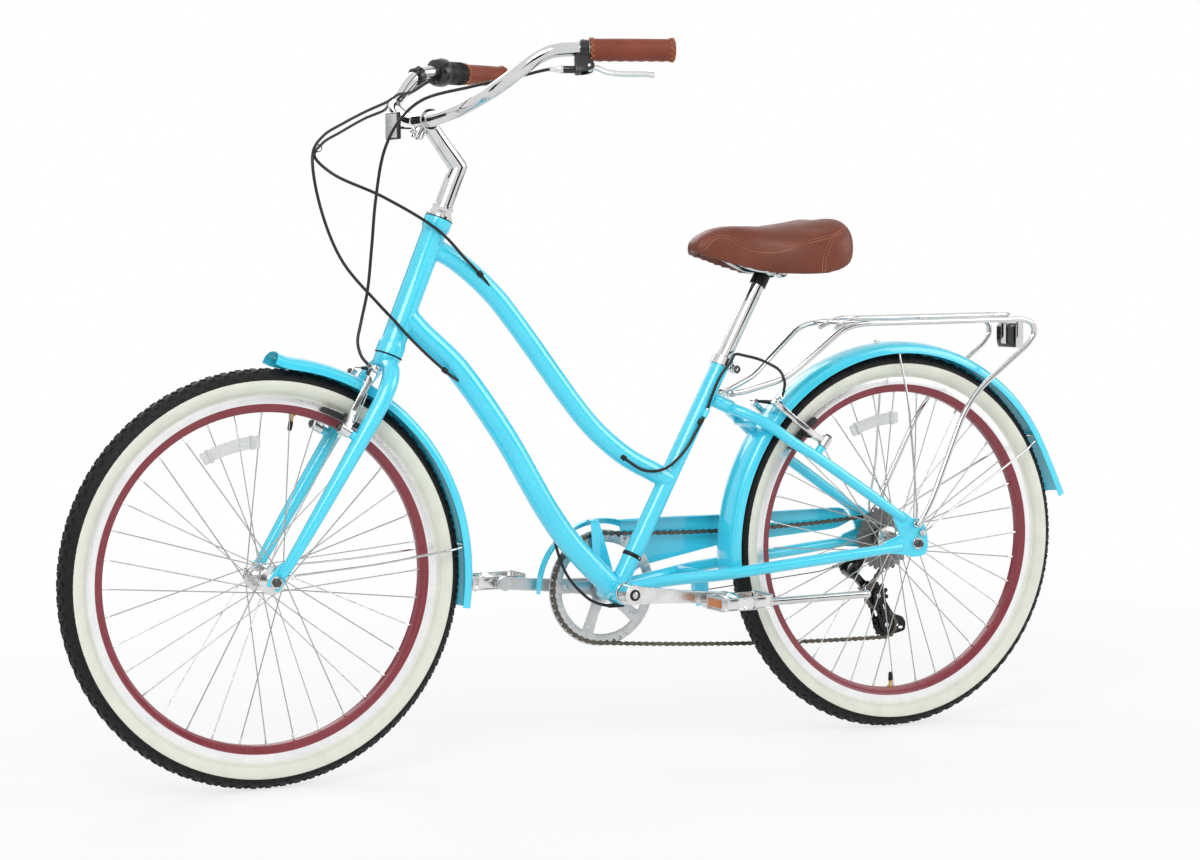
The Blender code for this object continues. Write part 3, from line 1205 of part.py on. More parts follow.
def saddle_ring(x, half, top, edge, under, middle):
    """One cross-section of the padding: its top, its skirts and its hollow underside."""
    hump = 6.0 * max(0.0, (half - 60) / 40)
    dip = 3.0 * max(0.0, (half - 40) / 60)
    right = [(0.0, top - dip), (0.3 * half, top + hump * 0.6), (0.6 * half, top + hump - 2),
             (0.85 * half, top - 0.18 * (top - edge)), (half, top - 0.5 * (top - edge)),
             (0.98 * half, edge + 0.12 * (top - edge)), (0.92 * half, edge),
             (0.74 * half, under - 0.3 * (under - edge)),
             (0.45 * half, under), (0.0, under)]
    left = [(-y, z) for y, z in reversed(right[1:-1])]
    return [at(x, y, z) for y, z in right + left]


def skinned(rings):
    points = [p for ring in rings for p in ring]
    n = len(rings[0])
    faces = [list(range(n)), list(range((len(rings) - 1) * n, len(rings) * n))]
    for i in range(len(rings) - 1):
        for j in range(n):
            k = (j + 1) % n
            faces.append([i * n + j, i * n + k, (i + 1) * n + k, (i + 1) * n + j])
    return points, faces


cushion = skinned([saddle_ring(*station) for station in SADDLE])
saddle_top = node("saddle_top", cushion, BROWN, HEAD_AT)


def base_ring(x, half, edge, under):
    """One cross-section of the shell under the padding."""
    flat = 0.36 * half
    wide = 0.62 * half
    fall = 3 * GAP + 0.3 * (under - edge)
    return [at(x, y, under - z) for y, z in ((flat, GAP), (wide, fall), (wide, fall + 6), (flat, 6.5),
                                             (-flat, 6.5), (-wide, fall + 6), (-wide, fall),
                                             (-flat, GAP))]


base_rings = [base_ring(s[0], s[1], s[3], s[4]) for s in SADDLE[1:11]]
saddle_frame = node("saddle_frame", skinned(base_rings), BLACK, HEAD_AT)
join(saddle_frame, both(tube(rail_line, RAIL_R, 6)))
join(saddle_frame, both(rod(at(166, 48, 808), at(166, 48, 820), 12, 8)))

# Cables


def cable(name, path, wire=None):
    """A cable housing; a wire's path goes on from its end."""
    made = node(name, tube(path, CABLE_R, 5), BLACK, path[0])
    if wire:
        join(made, tube(wire, WIRE_R, 3))
    return made


def brake_end(name):
    """Where the noodle meets the left arm, and the wire across to the right one."""
    pivot, up, stud = brake_frame(name)
    end = at(pivot.x, 0, pivot.z) + up * (108 + CABLE_R + GAP)
    return end + Y * 40, [end + Y * 44, end - Y * 42]


front_end, front_wire = brake_end("front")
front_cable_line = [*left_start, at(823, 203, 1106), at(875, 142, 1093), at(935, 90, 1074),
                    at(962, 65, 1044), at(982, 50, 998), at(993, 38, 920), at(997, 30, 850),
                    at(1004, 27, 779), at(1017, 30, 728), at(1026, 38, 698), at(1024, 50, 675),
                    at(1014, 58, 661), front_end + Y * 12, front_end]
front_brake_cable = cable("front_brake_cable", front_cable_line, front_wire)
TIE = at(1056, -56, 1004)
rear_end, rear_wire = brake_end("rear")
rear_cable_line = [*right_start, at(868, -222, 1078), at(920, -185, 1060), at(985, -128, 1034),
                   at(1034, -84, 1013), at(1060, -50, 990), at(1040, -22, 962), at(966, 8, 925),
                   at(880, 26, 872), at(832, 24, 826), at(800, 18, 797), at(768, 9, 760),
                   at(731, 5, 716), at(650, 5, 609), at(609, 5, 558),
                   at(567, 9, 516), at(540, 15, 493), at(508, 20, 474), at(470, 21, 476),
                   at(432, 20.5, 505), at(408, 19.5, 538), CABLE_STOP,
                   seat(-1, 20.5, 372), seat(-3, 23.5, 405), seat(3, 25, 436), at(338, 25, 664),
                   at(315, 25, 661), at(292, 28, 655), at(276, 40, 646), at(266, 53, 636),
                   at(262, 62, 619), at(263, 62, 603), at(265, 58, 592), rear_end + Y * 11, rear_end]
rear_brake_cable = cable("rear_brake_cable", rear_cable_line, rear_wire)
shift_line = [SHIFT_START - house_out * GAP, SHIFT_START - house_out * 10, at(828, -207, 1106),
              at(858, -190, 1101), at(884, -171, 1088),
              at(930, -152, 1070), at(985, -113, 1048), at(1036, -76, 1024), at(1064, -48, 995),
              at(1060, -36, 922), at(1031, -14, 827), at(981, 16, 757), at(957, 26, 729),
              at(934, 28, 704), at(905, 27, 677), at(878, 23, 655), at(852, 15, 637), at(826, 5, 624),
              at(799, 2, 596), at(773, 0, 560), at(746, 0, 518), at(720, 0, 474), at(693, 0, 434),
              at(674, -5, 396), at(662, -9, 360), at(647, -10, 318), at(632, -10, 293),
              at(612, -10, 272), at(594, -10, 258), at(572, -10, 249.5), at(548, -10, 248)]
shift_wire = [at(552, -10, 248), at(535, -12, 249.5), at(115, -62, 274), at(76.5, -68, 281)]
shift_cable = cable("shift_cable", shift_line, shift_wire)
for target, line, first, last in ((top_tube, rear_cable_line, 10, 13), (top_tube, rear_cable_line, 15, 19),
                                  (down_tube, shift_line, 14, 18), (down_tube, shift_line, 22, 26),
                                  (seat_tube, rear_cable_line, 21, 24)):
    cut(target, tube(line[first:last], clear(CABLE_R, 6), 6, side=Y))

# Front fender's wire stay and the front reflector

stay_foot = at(1150, 66, 340)
front_fender_stay = wire_stay("front_fender_stay", stay_foot, [at(1005, 50, 348), at(866, 35.5, 362)],
                              FRONT_HUB, 174)
front_reflector = node("front_reflector", block(BAR_CENTRE + at(56.5, 0, -11), X, Y, 4, 25, -21.5,
                                                21.5), LENS, BAR_CENTRE + at(56.5, 0, -11))
join(front_reflector, block(BAR_CENTRE + at(40.2, 0, -14), X, Y, 14.8, 6, -1.2, 1.2))

# What moves together

ride(fork, headset_nut, stem, handlebar, grip_left, grip_right, brake_bracket_left,
     brake_bracket_right, shifter_housing, shifter_twist, front_fender, front_fender_stay,
     front_reflector, front_axle, brake_lever_left, brake_lever_right, front_arm_left,
     front_arm_right, front_hub, front_brake_cable)
ride(front_hub, front_tyre, front_rim)
ride(rear_hub, rear_tyre, rear_rim)
ride(chainring, crank_left, crank_right)
ride(crank_left, pedal_left)
ride(crank_right, pedal_right)
ride(derailleur_link, derailleur_knuckle)
ride(derailleur_knuckle, derailleur_cage)
ride(derailleur_cage, jockey_upper, jockey_lower)
ride(seat_post, saddle_frame, saddle_top)
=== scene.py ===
import math

import bmesh
import bpy
from mathutils import Matrix, Vector
from mathutils.bvhtree import BVHTree


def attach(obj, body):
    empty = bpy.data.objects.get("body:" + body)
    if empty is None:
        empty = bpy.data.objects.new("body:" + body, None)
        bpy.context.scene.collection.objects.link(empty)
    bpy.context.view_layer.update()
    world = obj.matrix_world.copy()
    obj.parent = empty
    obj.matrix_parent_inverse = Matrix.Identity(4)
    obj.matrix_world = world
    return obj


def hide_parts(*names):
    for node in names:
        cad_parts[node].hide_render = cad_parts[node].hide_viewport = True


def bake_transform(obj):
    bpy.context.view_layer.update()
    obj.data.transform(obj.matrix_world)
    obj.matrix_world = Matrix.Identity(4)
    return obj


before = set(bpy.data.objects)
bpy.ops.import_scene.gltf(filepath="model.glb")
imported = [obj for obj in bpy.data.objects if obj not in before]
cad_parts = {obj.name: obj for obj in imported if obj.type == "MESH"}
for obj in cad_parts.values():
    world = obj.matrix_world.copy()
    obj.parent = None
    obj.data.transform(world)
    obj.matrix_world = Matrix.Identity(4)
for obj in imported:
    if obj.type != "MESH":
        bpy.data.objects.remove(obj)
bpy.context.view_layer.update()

# Everything is drawn in millimetres from the point of the ground under the rear hub,
# x forward and y to the rider's left, and moved to the frame's own metres at the end.
MID_X = 574.12359
TO_FRAME = Matrix.Scale(0.001, 4) @ Matrix.Translation((-MID_X, 0, 0))
X = Vector((1, 0, 0))
Y = Vector((0, 1, 0))
Z = Vector((0, 0, 1))


def at(x, y, z):
    """A point or a way, in millimetres."""
    return Vector((x, y, z))


# Layout, as in the part's source
WHEEL_R = 330.0
REAR_HUB = at(0, 0, WHEEL_R)
FRONT_HUB = at(1172, 0, WHEEL_R)
BB = at(554, 0, 273)
SEAT_UP = at(-math.sin(math.radians(28.5)), 0, math.cos(math.radians(28.5)))
SEAT_BACK = at(-SEAT_UP.z, 0, SEAT_UP.x)
STEER_UP = at(-math.sin(math.radians(22.5)), 0, math.cos(math.radians(22.5)))
STEER_FORWARD = at(STEER_UP.z, 0, -STEER_UP.x)
FORK_OFFSET = 65.0
STEER_FOOT = FRONT_HUB - STEER_FORWARD * FORK_OFFSET
CRANK = 170.0


def steer(forward, side, up):
    """A place by the steering axis, from the foot of the fork's offset."""
    return STEER_FOOT + STEER_FORWARD * forward + Y * side + STEER_UP * up


def seat(back, side, up):
    """A place by the seat tube, from the bottom bracket."""
    return BB + SEAT_BACK * back + Y * side + SEAT_UP * up


CABLE_STOP = seat(4, 18.6, 335)
SEAT_CLUSTER = BB + SEAT_UP * 208


def around(hub, degrees, radius, y=0.0):
    """A point of the circle round a hub."""
    turn = math.radians(degrees)
    return at(hub.x + radius * math.cos(turn), y, hub.z + radius * math.sin(turn))


def flip(line):
    """The line's mirror image on the other side of the bicycle."""
    return [at(p.x, -p.y, p.z) for p in line]


def both_sides(half):
    """The line from its far end over the middle to the mirrored far end."""
    return list(reversed(half)) + flip(half[1:])


def flat(line):
    """The line seen from the side, as an outline."""
    return [(p.x, p.z) for p in line]


def smooth(points, step):
    """An even curve through the points, with a point about every step."""
    points = [Vector(p) for p in points]
    ends = [points[0] * 2 - points[1]] + points + [points[-1] * 2 - points[-2]]
    path = []
    for i in range(1, len(ends) - 2):
        a, b, c, d = ends[i - 1:i + 3]
        t = [0.0]
        for one, other in ((a, b), (b, c), (c, d)):
            t.append(t[-1] + max((other - one).length, 0.001) ** 0.5)
        count = max(1, round((c - b).length / step))
        for k in range(count):
            u = t[1] + (t[2] - t[1]) * k / count
            a1 = a.lerp(b, (u - t[0]) / (t[1] - t[0]))
            a2 = b.lerp(c, (u - t[1]) / (t[2] - t[1]))
            a3 = c.lerp(d, (u - t[2]) / (t[3] - t[2]))
            b1 = a1.lerp(a2, (u - t[0]) / (t[2] - t[0]))
            b2 = a2.lerp(a3, (u - t[1]) / (t[3] - t[1]))
            path.append(b1.lerp(b2, (u - t[1]) / (t[2] - t[1])))
    return path + [points[-1]]


def bent(points, radius, steps):
    """Straight runs through the points, with each corner rounded."""
    points = [Vector(p) for p in points]
    path = [points[0]]
    for before, here, after in zip(points, points[1:], points[2:]):
        reach = min(radius, (before - here).length * 0.48, (after - here).length * 0.48)
        start = here + (before - here).normalized() * reach
        end = here + (after - here).normalized() * reach
        for i in range(steps + 1):
            t = i / steps
            path.append(start * (1 - t) ** 2 + here * 2 * t * (1 - t) + end * t * t)
    return path + [points[-1]]


def taper(path, stops):
    """A radius for each point of the path, from stops of (share of its length, radius)."""
    runs = [0.0]
    for before, here in zip(path, path[1:]):
        runs.append(runs[-1] + (here - before).length)
    made = []
    for run in runs:
        t = run / runs[-1]
        for (t0, r0), (t1, r1) in zip(stops, stops[1:]):
            if t <= t1 + 1e-6:
                made.append(r0 + (r1 - r0) * (t - t0) / (t1 - t0))
                break
    return made


def place(origin, u, v):
    """Carries x, y and z to u, v and their normal, at the origin."""
    u = u.normalized()
    v = (v - u * v.dot(u)).normalized()
    w = u.cross(v)
    return Matrix(((u.x, v.x, w.x, origin.x), (u.y, v.y, w.y, origin.y),
                   (u.z, v.z, w.z, origin.z), (0, 0, 0, 1)))


def place_axis(origin, axis, across=None):
    """Carries z to the axis, at the origin."""
    axis = axis.normalized()
    first = across if across is not None else (Y if abs(axis.y) < 0.8 else X)
    first = (first - axis * first.dot(axis)).normalized()
    return place(origin, first, axis.cross(first))


# Shapes, each added to a bmesh

def parts_of(geom, kind):
    """The vertices or the edges of an operator's result."""
    return [g for g in geom if isinstance(g, kind)]


def mesh_of(name, bm):
    """Turns a bmesh into a mesh, and frees it."""
    mesh = bpy.data.meshes.new(name)
    bm.to_mesh(mesh)
    bm.free()
    return mesh


def in_scene(name, data):
    """A new object in the scene."""
    made = bpy.data.objects.new(name, data)
    bpy.context.scene.collection.objects.link(made)
    return made


def weld_in(bm, part):
    """Adds a finished part to the piece."""
    bmesh.ops.recalc_face_normals(part, faces=part.faces)
    mesh = mesh_of("part", part)
    bm.from_mesh(mesh)
    bpy.data.meshes.remove(mesh)


def loop_of(part, outline, where):
    """Draws a closed outline at a placement."""
    verts = [part.verts.new(where @ Vector((a, b, 0))) for a, b in outline]
    return verts, [part.edges.new((verts[i - 1], verts[i])) for i in range(len(verts))]


def circle(radius, sides):
    """A round outline about the origin."""
    turns = [2 * math.pi * i / sides for i in range(sides)]
    return [(radius * math.cos(t), radius * math.sin(t)) for t in turns]


def hole_at(x, z, radius, sides=24):
    """A round outline about (x, z)."""
    return [(x + a, z + b) for a, b in circle(radius, sides)]


def ring_places(path, closed, side):
    """A placement at each point of the path, each turned on from the one before."""
    made = []
    across = None
    for i, here in enumerate(path):
        before = path[i - 1] if i or closed else here
        after = path[(i + 1) % len(path)] if i + 1 < len(path) or closed else here
        way = ((after - here).normalized() + (here - before).normalized()).normalized()
        if side is not None:
            across = side
        elif across is None:
            across = Y if abs(way.y) < 0.8 else Z
        across = (across - way * across.dot(way)).normalized()
        made.append(place(here, across, way.cross(across)))
    return made


def sweep(bm, path, outline, closed=False, side=None, scales=None):
    """Extrudes an outline along a path."""
    part = bmesh.new()
    spots = ring_places(path, closed, side)
    if scales:
        spots = [spot @ Matrix.Diagonal((s, s, 1, 1)) for spot, s in zip(spots, scales)]
    verts, edges = loop_of(part, outline, spots[0])
    first = list(edges)
    for before, here in zip(spots, spots[1:]):
        out = bmesh.ops.extrude_edge_only(part, edges=edges)["geom"]
        verts = parts_of(out, bmesh.types.BMVert)
        fresh = set(verts)
        edges = [e for e in parts_of(out, bmesh.types.BMEdge) if set(e.verts) <= fresh]
        bmesh.ops.transform(part, matrix=here @ before.inverted(), verts=verts)
    if closed:
        bmesh.ops.bridge_loops(part, edges=first + edges)
    else:
        bmesh.ops.contextual_create(part, geom=first)
        bmesh.ops.contextual_create(part, geom=edges)
    weld_in(bm, part)


def tube(bm, path, radius, sides, radii=None, closed=False, side=None, dome=0.0):
    """A round bar along a path; dome rounds its two ends."""
    scales = [r / radius for r in radii] if radii else [1.0] * len(path)
    if dome:
        start = (path[0] - path[1]).normalized() * dome * radius
        end = (path[-1] - path[-2]).normalized() * dome * radius
        steps = ((0.38, 0.924), (0.707, 0.707), (0.924, 0.383))
        path = ([path[0] + start * a for a, b in reversed(steps)] + path
                + [path[-1] + end * a for a, b in steps])
        scales = ([scales[0] * b for a, b in reversed(steps)] + scales
                  + [scales[-1] * b for a, b in steps])
    sweep(bm, path, circle(radius, sides), closed, side, scales)


def lathe(bm, profile, centre, axis, steps, across=None, ring=False):
    """Spins a profile of (radius, distance along the axis) round the axis."""
    part = bmesh.new()
    where = place_axis(centre, axis, across)
    verts = [part.verts.new(where @ Vector((r, 0, s))) for r, s in profile]
    edges = [part.edges.new(pair) for pair in zip(verts, verts[1:])]
    if ring:
        edges.append(part.edges.new((verts[-1], verts[0])))
    bmesh.ops.spin(part, geom=verts + edges, cent=centre, axis=axis.normalized(),
                   angle=2 * math.pi, steps=steps, use_merge=True, use_duplicate=False)
    bmesh.ops.remove_doubles(part, verts=part.verts, dist=0.001)
    weld_in(bm, part)


def rod(bm, start, end, radius, steps, edge=0.5):
    """A round bar with broken edges."""
    length = (end - start).length
    edge = min(edge, radius * 0.5, length * 0.4)
    profile = [(0, 0), (radius - edge, 0), (radius - edge * 0.29, edge * 0.29), (radius, edge),
               (radius, length - edge), (radius - edge * 0.29, length - edge * 0.29),
               (radius - edge, length), (0, length)]
    lathe(bm, profile, start, end - start, steps)


def washer(bm, centre, axis, bore, radius, low, high, steps, edge=0.3, across=None):
    """A ring with a bore and broken outer edges."""
    profile = [(bore, low), (radius - edge, low), (radius, low + edge), (radius, high - edge),
               (radius - edge, high), (bore, high)]
    lathe(bm, profile, centre, axis, steps, across, ring=True)


def ball(bm, centre, radius, squash, axis=Z):
    """A sphere, squashed along the axis."""
    part = bmesh.new()
    where = place_axis(centre, axis) @ Matrix.Diagonal((radius, radius, radius * squash, 1))
    bmesh.ops.create_uvsphere(part, u_segments=20, v_segments=12, radius=1.0, matrix=where)
    weld_in(bm, part)


def bevel_edges(part, width, segments):
    """Breaks the part's sharp edges."""
    limit = math.radians(30)
    sharp = [e for e in part.edges if len(e.link_faces) == 2 and e.calc_face_angle(0) > limit]
    if width and sharp:
        bmesh.ops.bevel(part, geom=sharp, offset=width, offset_type="OFFSET", segments=segments,
                        profile=0.5, affect="EDGES", material=-1, clamp_overlap=True)


def plate(bm, outline, origin, u, v, low, high, holes, bevel, segments=2):
    """A flat outline with holes, thickened from low to high."""
    part = bmesh.new()
    edges = []
    base = Matrix.Translation((0, 0, low))
    for loop in (outline, *holes):
        edges += loop_of(part, loop, base)[1]
    bmesh.ops.triangle_fill(part, use_beauty=True, use_dissolve=not holes, edges=edges,
                            normal=(0, 0, 1))
    bmesh.ops.recalc_face_normals(part, faces=part.faces)
    out = bmesh.ops.extrude_face_region(part, geom=part.faces[:])["geom"]
    bmesh.ops.translate(part, vec=(0, 0, high - low), verts=parts_of(out, bmesh.types.BMVert))
    bmesh.ops.recalc_face_normals(part, faces=part.faces)
    bevel_edges(part, bevel, segments)
    bmesh.ops.transform(part, matrix=place(origin, u, v), verts=part.verts)
    weld_in(bm, part)


def block(bm, centre, u, v, half_u, half_v, low, high, bevel, segments=2):
    """A box along u and v, from low to high along their normal."""
    part = bmesh.new()
    size = Matrix.Diagonal((half_u * 2, half_v * 2, high - low, 1))
    bmesh.ops.create_cube(part, size=1.0, matrix=Matrix.Translation((0, 0, (low + high) / 2)) @ size)
    bevel_edges(part, bevel, segments)
    bmesh.ops.transform(part, matrix=place(centre, u, v), verts=part.verts)
    weld_in(bm, part)


def rounded(outline, radius, steps=4):
    """A flat outline with its corners rounded."""
    path = []
    n = len(outline)
    for i in range(n):
        before, here, after = (Vector(outline[j % n]) for j in (i - 1, i, i + 1))
        reach = min(radius, (before - here).length * 0.45, (after - here).length * 0.45)
        start = here + (before - here).normalized() * reach
        end = here + (after - here).normalized() * reach
        for k in range(steps + 1):
            t = k / steps
            path.append(tuple(start * (1 - t) ** 2 + here * 2 * t * (1 - t) + end * t * t))
    return path


def slab(half_a, half_b, radius, steps=4):
    """A rectangle with rounded corners."""
    return rounded([(-half_a, -half_b), (half_a, -half_b), (half_a, half_b), (-half_a, half_b)],
                   radius, steps)


def blocks_round(bm, size, where, centre, axis, count, bevel=0.0):
    """A small box, repeated evenly round an axis."""
    part = bmesh.new()
    bmesh.ops.create_cube(part, size=1.0, matrix=where @ Matrix.Diagonal((*size, 1)))
    bevel_edges(part, bevel, 1)
    bmesh.ops.spin(part, geom=part.verts[:] + part.edges[:] + part.faces[:], cent=centre, axis=axis,
                   angle=2 * math.pi * (count - 1) / count, steps=count - 1, use_duplicate=True)
    weld_in(bm, part)


def hex_bolt(bm, seat_at, axis, across_flats, height, washer_r=None):
    """A bolt's head with its washer and a domed top."""
    r = across_flats / math.sqrt(3)
    low = 0.0
    if washer_r:
        low = 0.9
        lathe(bm, [(0, 0), (washer_r - 0.2, 0), (washer_r, 0.2), (washer_r, low), (0, low)],
              seat_at, axis, 24)
    top = low + height
    lathe(bm, [(0, low), (r, low), (r, low + height * 0.75), (r * 0.86, top), (0, top)],
          seat_at, axis, 6)


def socket_bolt(bm, seat_at, axis, r, height):
    """A round bolt head with a socket."""
    lathe(bm, [(0, 0), (r, 0), (r, height * 0.5), (r * 0.85, height * 0.85), (r * 0.6, height),
               (r * 0.5, height), (r * 0.46, height * 0.45), (0, height * 0.45)], seat_at, axis, 18)


def finish(name, bm, coat, body, *nodes, slot=None, crease=34):
    """Makes the object in the frame's own metres, riding on its body if one is named.

    The slot argument is not used.
    """
    bmesh.ops.remove_doubles(bm, verts=bm.verts, dist=0.001)
    bmesh.ops.recalc_face_normals(bm, faces=bm.faces)
    limit = math.radians(crease)
    for face in bm.faces:
        face.smooth = True
    for edge in bm.edges:
        edge.smooth = len(edge.link_faces) == 2 and edge.calc_face_angle(0) < limit
    bmesh.ops.transform(bm, matrix=TO_FRAME, verts=bm.verts)
    made = in_scene(name, mesh_of(name, bm))
    made.data.materials.append(coat)
    if body:
        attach(made, body)
    if nodes:
        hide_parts(*nodes)
    return made


# Materials

def put(tree, kind, settings=None, inputs=None):
    """Adds a shader node; an input is a value or another node's output."""
    made = tree.nodes.new("ShaderNode" + kind)
    for key, value in (settings or {}).items():
        setattr(made, key, value)
    for key, value in (inputs or {}).items():
        if isinstance(value, bpy.types.NodeSocket):
            tree.links.new(value, made.inputs[key])
        else:
            made.inputs[key].default_value = value
    return made


def calc(tree, operation, a, b=0.0, c=0.0):
    """One step of arithmetic; each term is a number or another node's output."""
    return put(tree, "Math", {"operation": operation}, {0: a, 1: b, 2: c}).outputs[0]


def ramp(tree, value, stops, smooth_steps=False):
    """A ramp of grey levels; each stop is a place and a level."""
    made = put(tree, "ValToRGB", inputs={0: value})
    band = made.color_ramp
    band.interpolation = "EASE" if smooth_steps else "LINEAR"
    while len(band.elements) < len(stops):
        band.elements.new(0.5)
    for element, (position, shade) in zip(band.elements, stops):
        element.position = position
        element.color = (shade, shade, shade, 1)
    return made.outputs[0]


def tinted(tree, factor, a, b):
    """Mixes two colours; each is three numbers or another node's output."""
    inputs = {0: factor}
    for index, shade in ((6, a), (7, b)):
        inputs[index] = shade if isinstance(shade, bpy.types.NodeSocket) else (*shade, 1)
    return put(tree, "Mix", {"data_type": "RGBA"}, inputs).outputs[2]


def here_at(tree):
    """The shaded point, in the piece's own metres."""
    return put(tree, "TexCoord").outputs["Object"]


def noise(tree, where, scale, detail, rough=0.55):
    """A cloudy pattern of grey."""
    return put(tree, "TexNoise", inputs={"Vector": where, "Scale": scale, "Detail": detail,
                                         "Roughness": rough}).outputs["Fac"]


def group_of(name, inputs, outputs):
    """A new node group of plain values, with its input and output nodes."""
    made = bpy.data.node_groups.new(name, "ShaderNodeTree")
    for label, value in inputs:
        socket = made.interface.new_socket(label, in_out="INPUT", socket_type="NodeSocketFloat")
        socket.default_value = value
    for label in outputs:
        made.interface.new_socket(label, in_out="OUTPUT", socket_type="NodeSocketFloat")
    return made, made.nodes.new("NodeGroupInput"), made.nodes.new("NodeGroupOutput")


def use(tree, shared, **values):
    """Places a node group in a material."""
    made = tree.nodes.new("ShaderNodeGroup")
    made.node_tree = shared
    for key, value in values.items():
        made.inputs[key].default_value = value
    return made


# Handling: soft smudges, fine dust and a faint ripple, for every finish
HANDLING, given, result = group_of("handling", (("Smudge", 30.0), ("Dust", 900.0)),
                                   ("Smudges", "Specks", "Ripple"))
spot = here_at(HANDLING)
smudge = noise(HANDLING, spot, given.outputs["Smudge"], 4.0, 0.6)
specks = noise(HANDLING, spot, given.outputs["Dust"], 2.0, 0.5)
calm = noise(HANDLING, spot, given.outputs["Smudge"], 0.0, 0.5)
HANDLING.links.new(ramp(HANDLING, smudge, ((0.35, 0.0), (0.7, 1.0))), result.inputs["Smudges"])
HANDLING.links.new(ramp(HANDLING, specks, ((0.62, 0.0), (0.75, 1.0))), result.inputs["Specks"])
HANDLING.links.new(calm, result.inputs["Ripple"])

# Round a hub: distance from its axle, turn about it and place across it
ROUND_HUB, given, result = group_of("round_hub", (("Hub X", 0.0), ("Hub Z", 0.33)),
                                    ("Radius", "Turn", "Side"))
parts = put(ROUND_HUB, "SeparateXYZ", inputs={0: here_at(ROUND_HUB)})
off_x = calc(ROUND_HUB, "SUBTRACT", parts.outputs[0], given.outputs[0])
off_z = calc(ROUND_HUB, "SUBTRACT", parts.outputs[2], given.outputs[1])
square = calc(ROUND_HUB, "ADD", calc(ROUND_HUB, "MULTIPLY", off_x, off_x),
              calc(ROUND_HUB, "MULTIPLY", off_z, off_z))
ROUND_HUB.links.new(calc(ROUND_HUB, "SQRT", square), result.inputs["Radius"])
ROUND_HUB.links.new(calc(ROUND_HUB, "ARCTAN2", off_z, off_x), result.inputs["Turn"])
ROUND_HUB.links.new(parts.outputs[1], result.inputs["Side"])

# Hide: the pebbled grain and the slow colour drift of leather
HIDE, given, result = group_of("hide_grain", (("Grain", 700.0),), ("Height", "Drift", "Creases"))
spot = here_at(HIDE)
wavy = put(HIDE, "TexNoise", inputs={"Vector": spot, "Scale": 120.0, "Detail": 3.0})
moved = put(HIDE, "Mix", {"data_type": "VECTOR"}, {0: 0.02, 4: spot, 5: wavy.outputs["Color"]})
cells = put(HIDE, "TexVoronoi", {"feature": "DISTANCE_TO_EDGE"},
            {"Vector": moved.outputs[1], "Scale": given.outputs["Grain"]}).outputs["Distance"]
grain = ramp(HIDE, cells, ((0.0, 0.0), (0.16, 0.75), (0.5, 1.0)), True)
HIDE.links.new(grain, result.inputs["Height"])
HIDE.links.new(ramp(HIDE, noise(HIDE, spot, 22.0, 5.0), ((0.3, 0.0), (0.72, 1.0))),
               result.inputs["Drift"])
# Creases: 1 in the grain's crevices, used for painted shade there and for rougher gloss
HIDE.links.new(ramp(HIDE, cells, ((0.0, 1.0), (0.12, 0.0))), result.inputs["Creases"])


def plain_coat(name, metallic, rough, clear=0.0, clear_rough=0.05, specular=0.5):
    """A material with the shader's plain values set; its colours and bump are linked later."""
    made = bpy.data.materials.new(name)
    made.use_nodes = True
    tree = made.node_tree
    shader = next(n for n in tree.nodes if n.type == "BSDF_PRINCIPLED")
    shader.inputs["Metallic"].default_value = metallic
    shader.inputs["Roughness"].default_value = rough
    shader.inputs["Coat Weight"].default_value = clear
    shader.inputs["Coat Roughness"].default_value = clear_rough
    shader.inputs["Specular IOR Level"].default_value = specular
    return made, tree, shader


def bump(tree, shader, height, strength, distance):
    """Turns a height into bumps on the shader."""
    made = put(tree, "Bump", inputs={"Height": height, "Strength": strength, "Distance": distance})
    tree.links.new(made.outputs[0], shader.inputs["Normal"])


def handled_coat(name, colour, other, metallic, rough, spread, clear, smudge, dust, ripple, depth,
                 specular=0.5):
    """Two close shades drifting into each other, with smudged gloss and a faint ripple."""
    made, tree, shader = plain_coat(name, metallic, rough, clear, specular=specular)
    hand = use(tree, HANDLING, Smudge=smudge, Dust=dust)
    colour = tinted(tree, hand.outputs["Smudges"], colour, other)
    tree.links.new(colour, shader.inputs["Base Color"])
    gloss = calc(tree, "MULTIPLY_ADD", hand.outputs["Smudges"], spread, rough)
    gloss = calc(tree, "MULTIPLY_ADD", hand.outputs["Specks"], spread, gloss)
    tree.links.new(gloss, shader.inputs["Roughness"])
    bump(tree, shader, hand.outputs["Ripple"], ripple, depth)
    return made


SKY = handled_coat("sky_enamel", (0.050, 0.660, 0.860), (0.065, 0.700, 0.890), 0.0, 0.22, 0.05, 1.0,
                   18.0, 1400.0, 0.10, 0.0004)
CHROME = handled_coat("bright_chrome", (0.69, 0.69, 0.685), (0.60, 0.605, 0.61), 1.0, 0.07, 0.05, 0.0,
                      40.0, 1200.0, 0.04, 0.0002)
POLISHED = handled_coat("polished_alloy", (0.78, 0.78, 0.77), (0.66, 0.66, 0.66), 1.0, 0.16, 0.08,
                        0.0, 55.0, 1500.0, 0.06, 0.0002)
SATIN = handled_coat("satin_alloy", (0.62, 0.63, 0.63), (0.52, 0.53, 0.54), 1.0, 0.34, 0.10, 0.0,
                     60.0, 2200.0, 0.12, 0.0002)
ZINC = handled_coat("spoke_steel", (0.50, 0.50, 0.48), (0.38, 0.38, 0.37), 1.0, 0.30, 0.12, 0.0,
                    90.0, 2500.0, 0.05, 0.0001)
DARK_STEEL = handled_coat("dark_steel", (0.085, 0.08, 0.075), (0.15, 0.14, 0.125), 1.0, 0.36, 0.16,
                          0.0, 240.0, 3000.0, 0.2, 0.0002)
CHAIN_STEEL = handled_coat("oiled_chain", (0.17, 0.15, 0.125), (0.09, 0.08, 0.07), 1.0, 0.38, 0.15,
                           0.0, 300.0, 3000.0, 0.2, 0.0002)
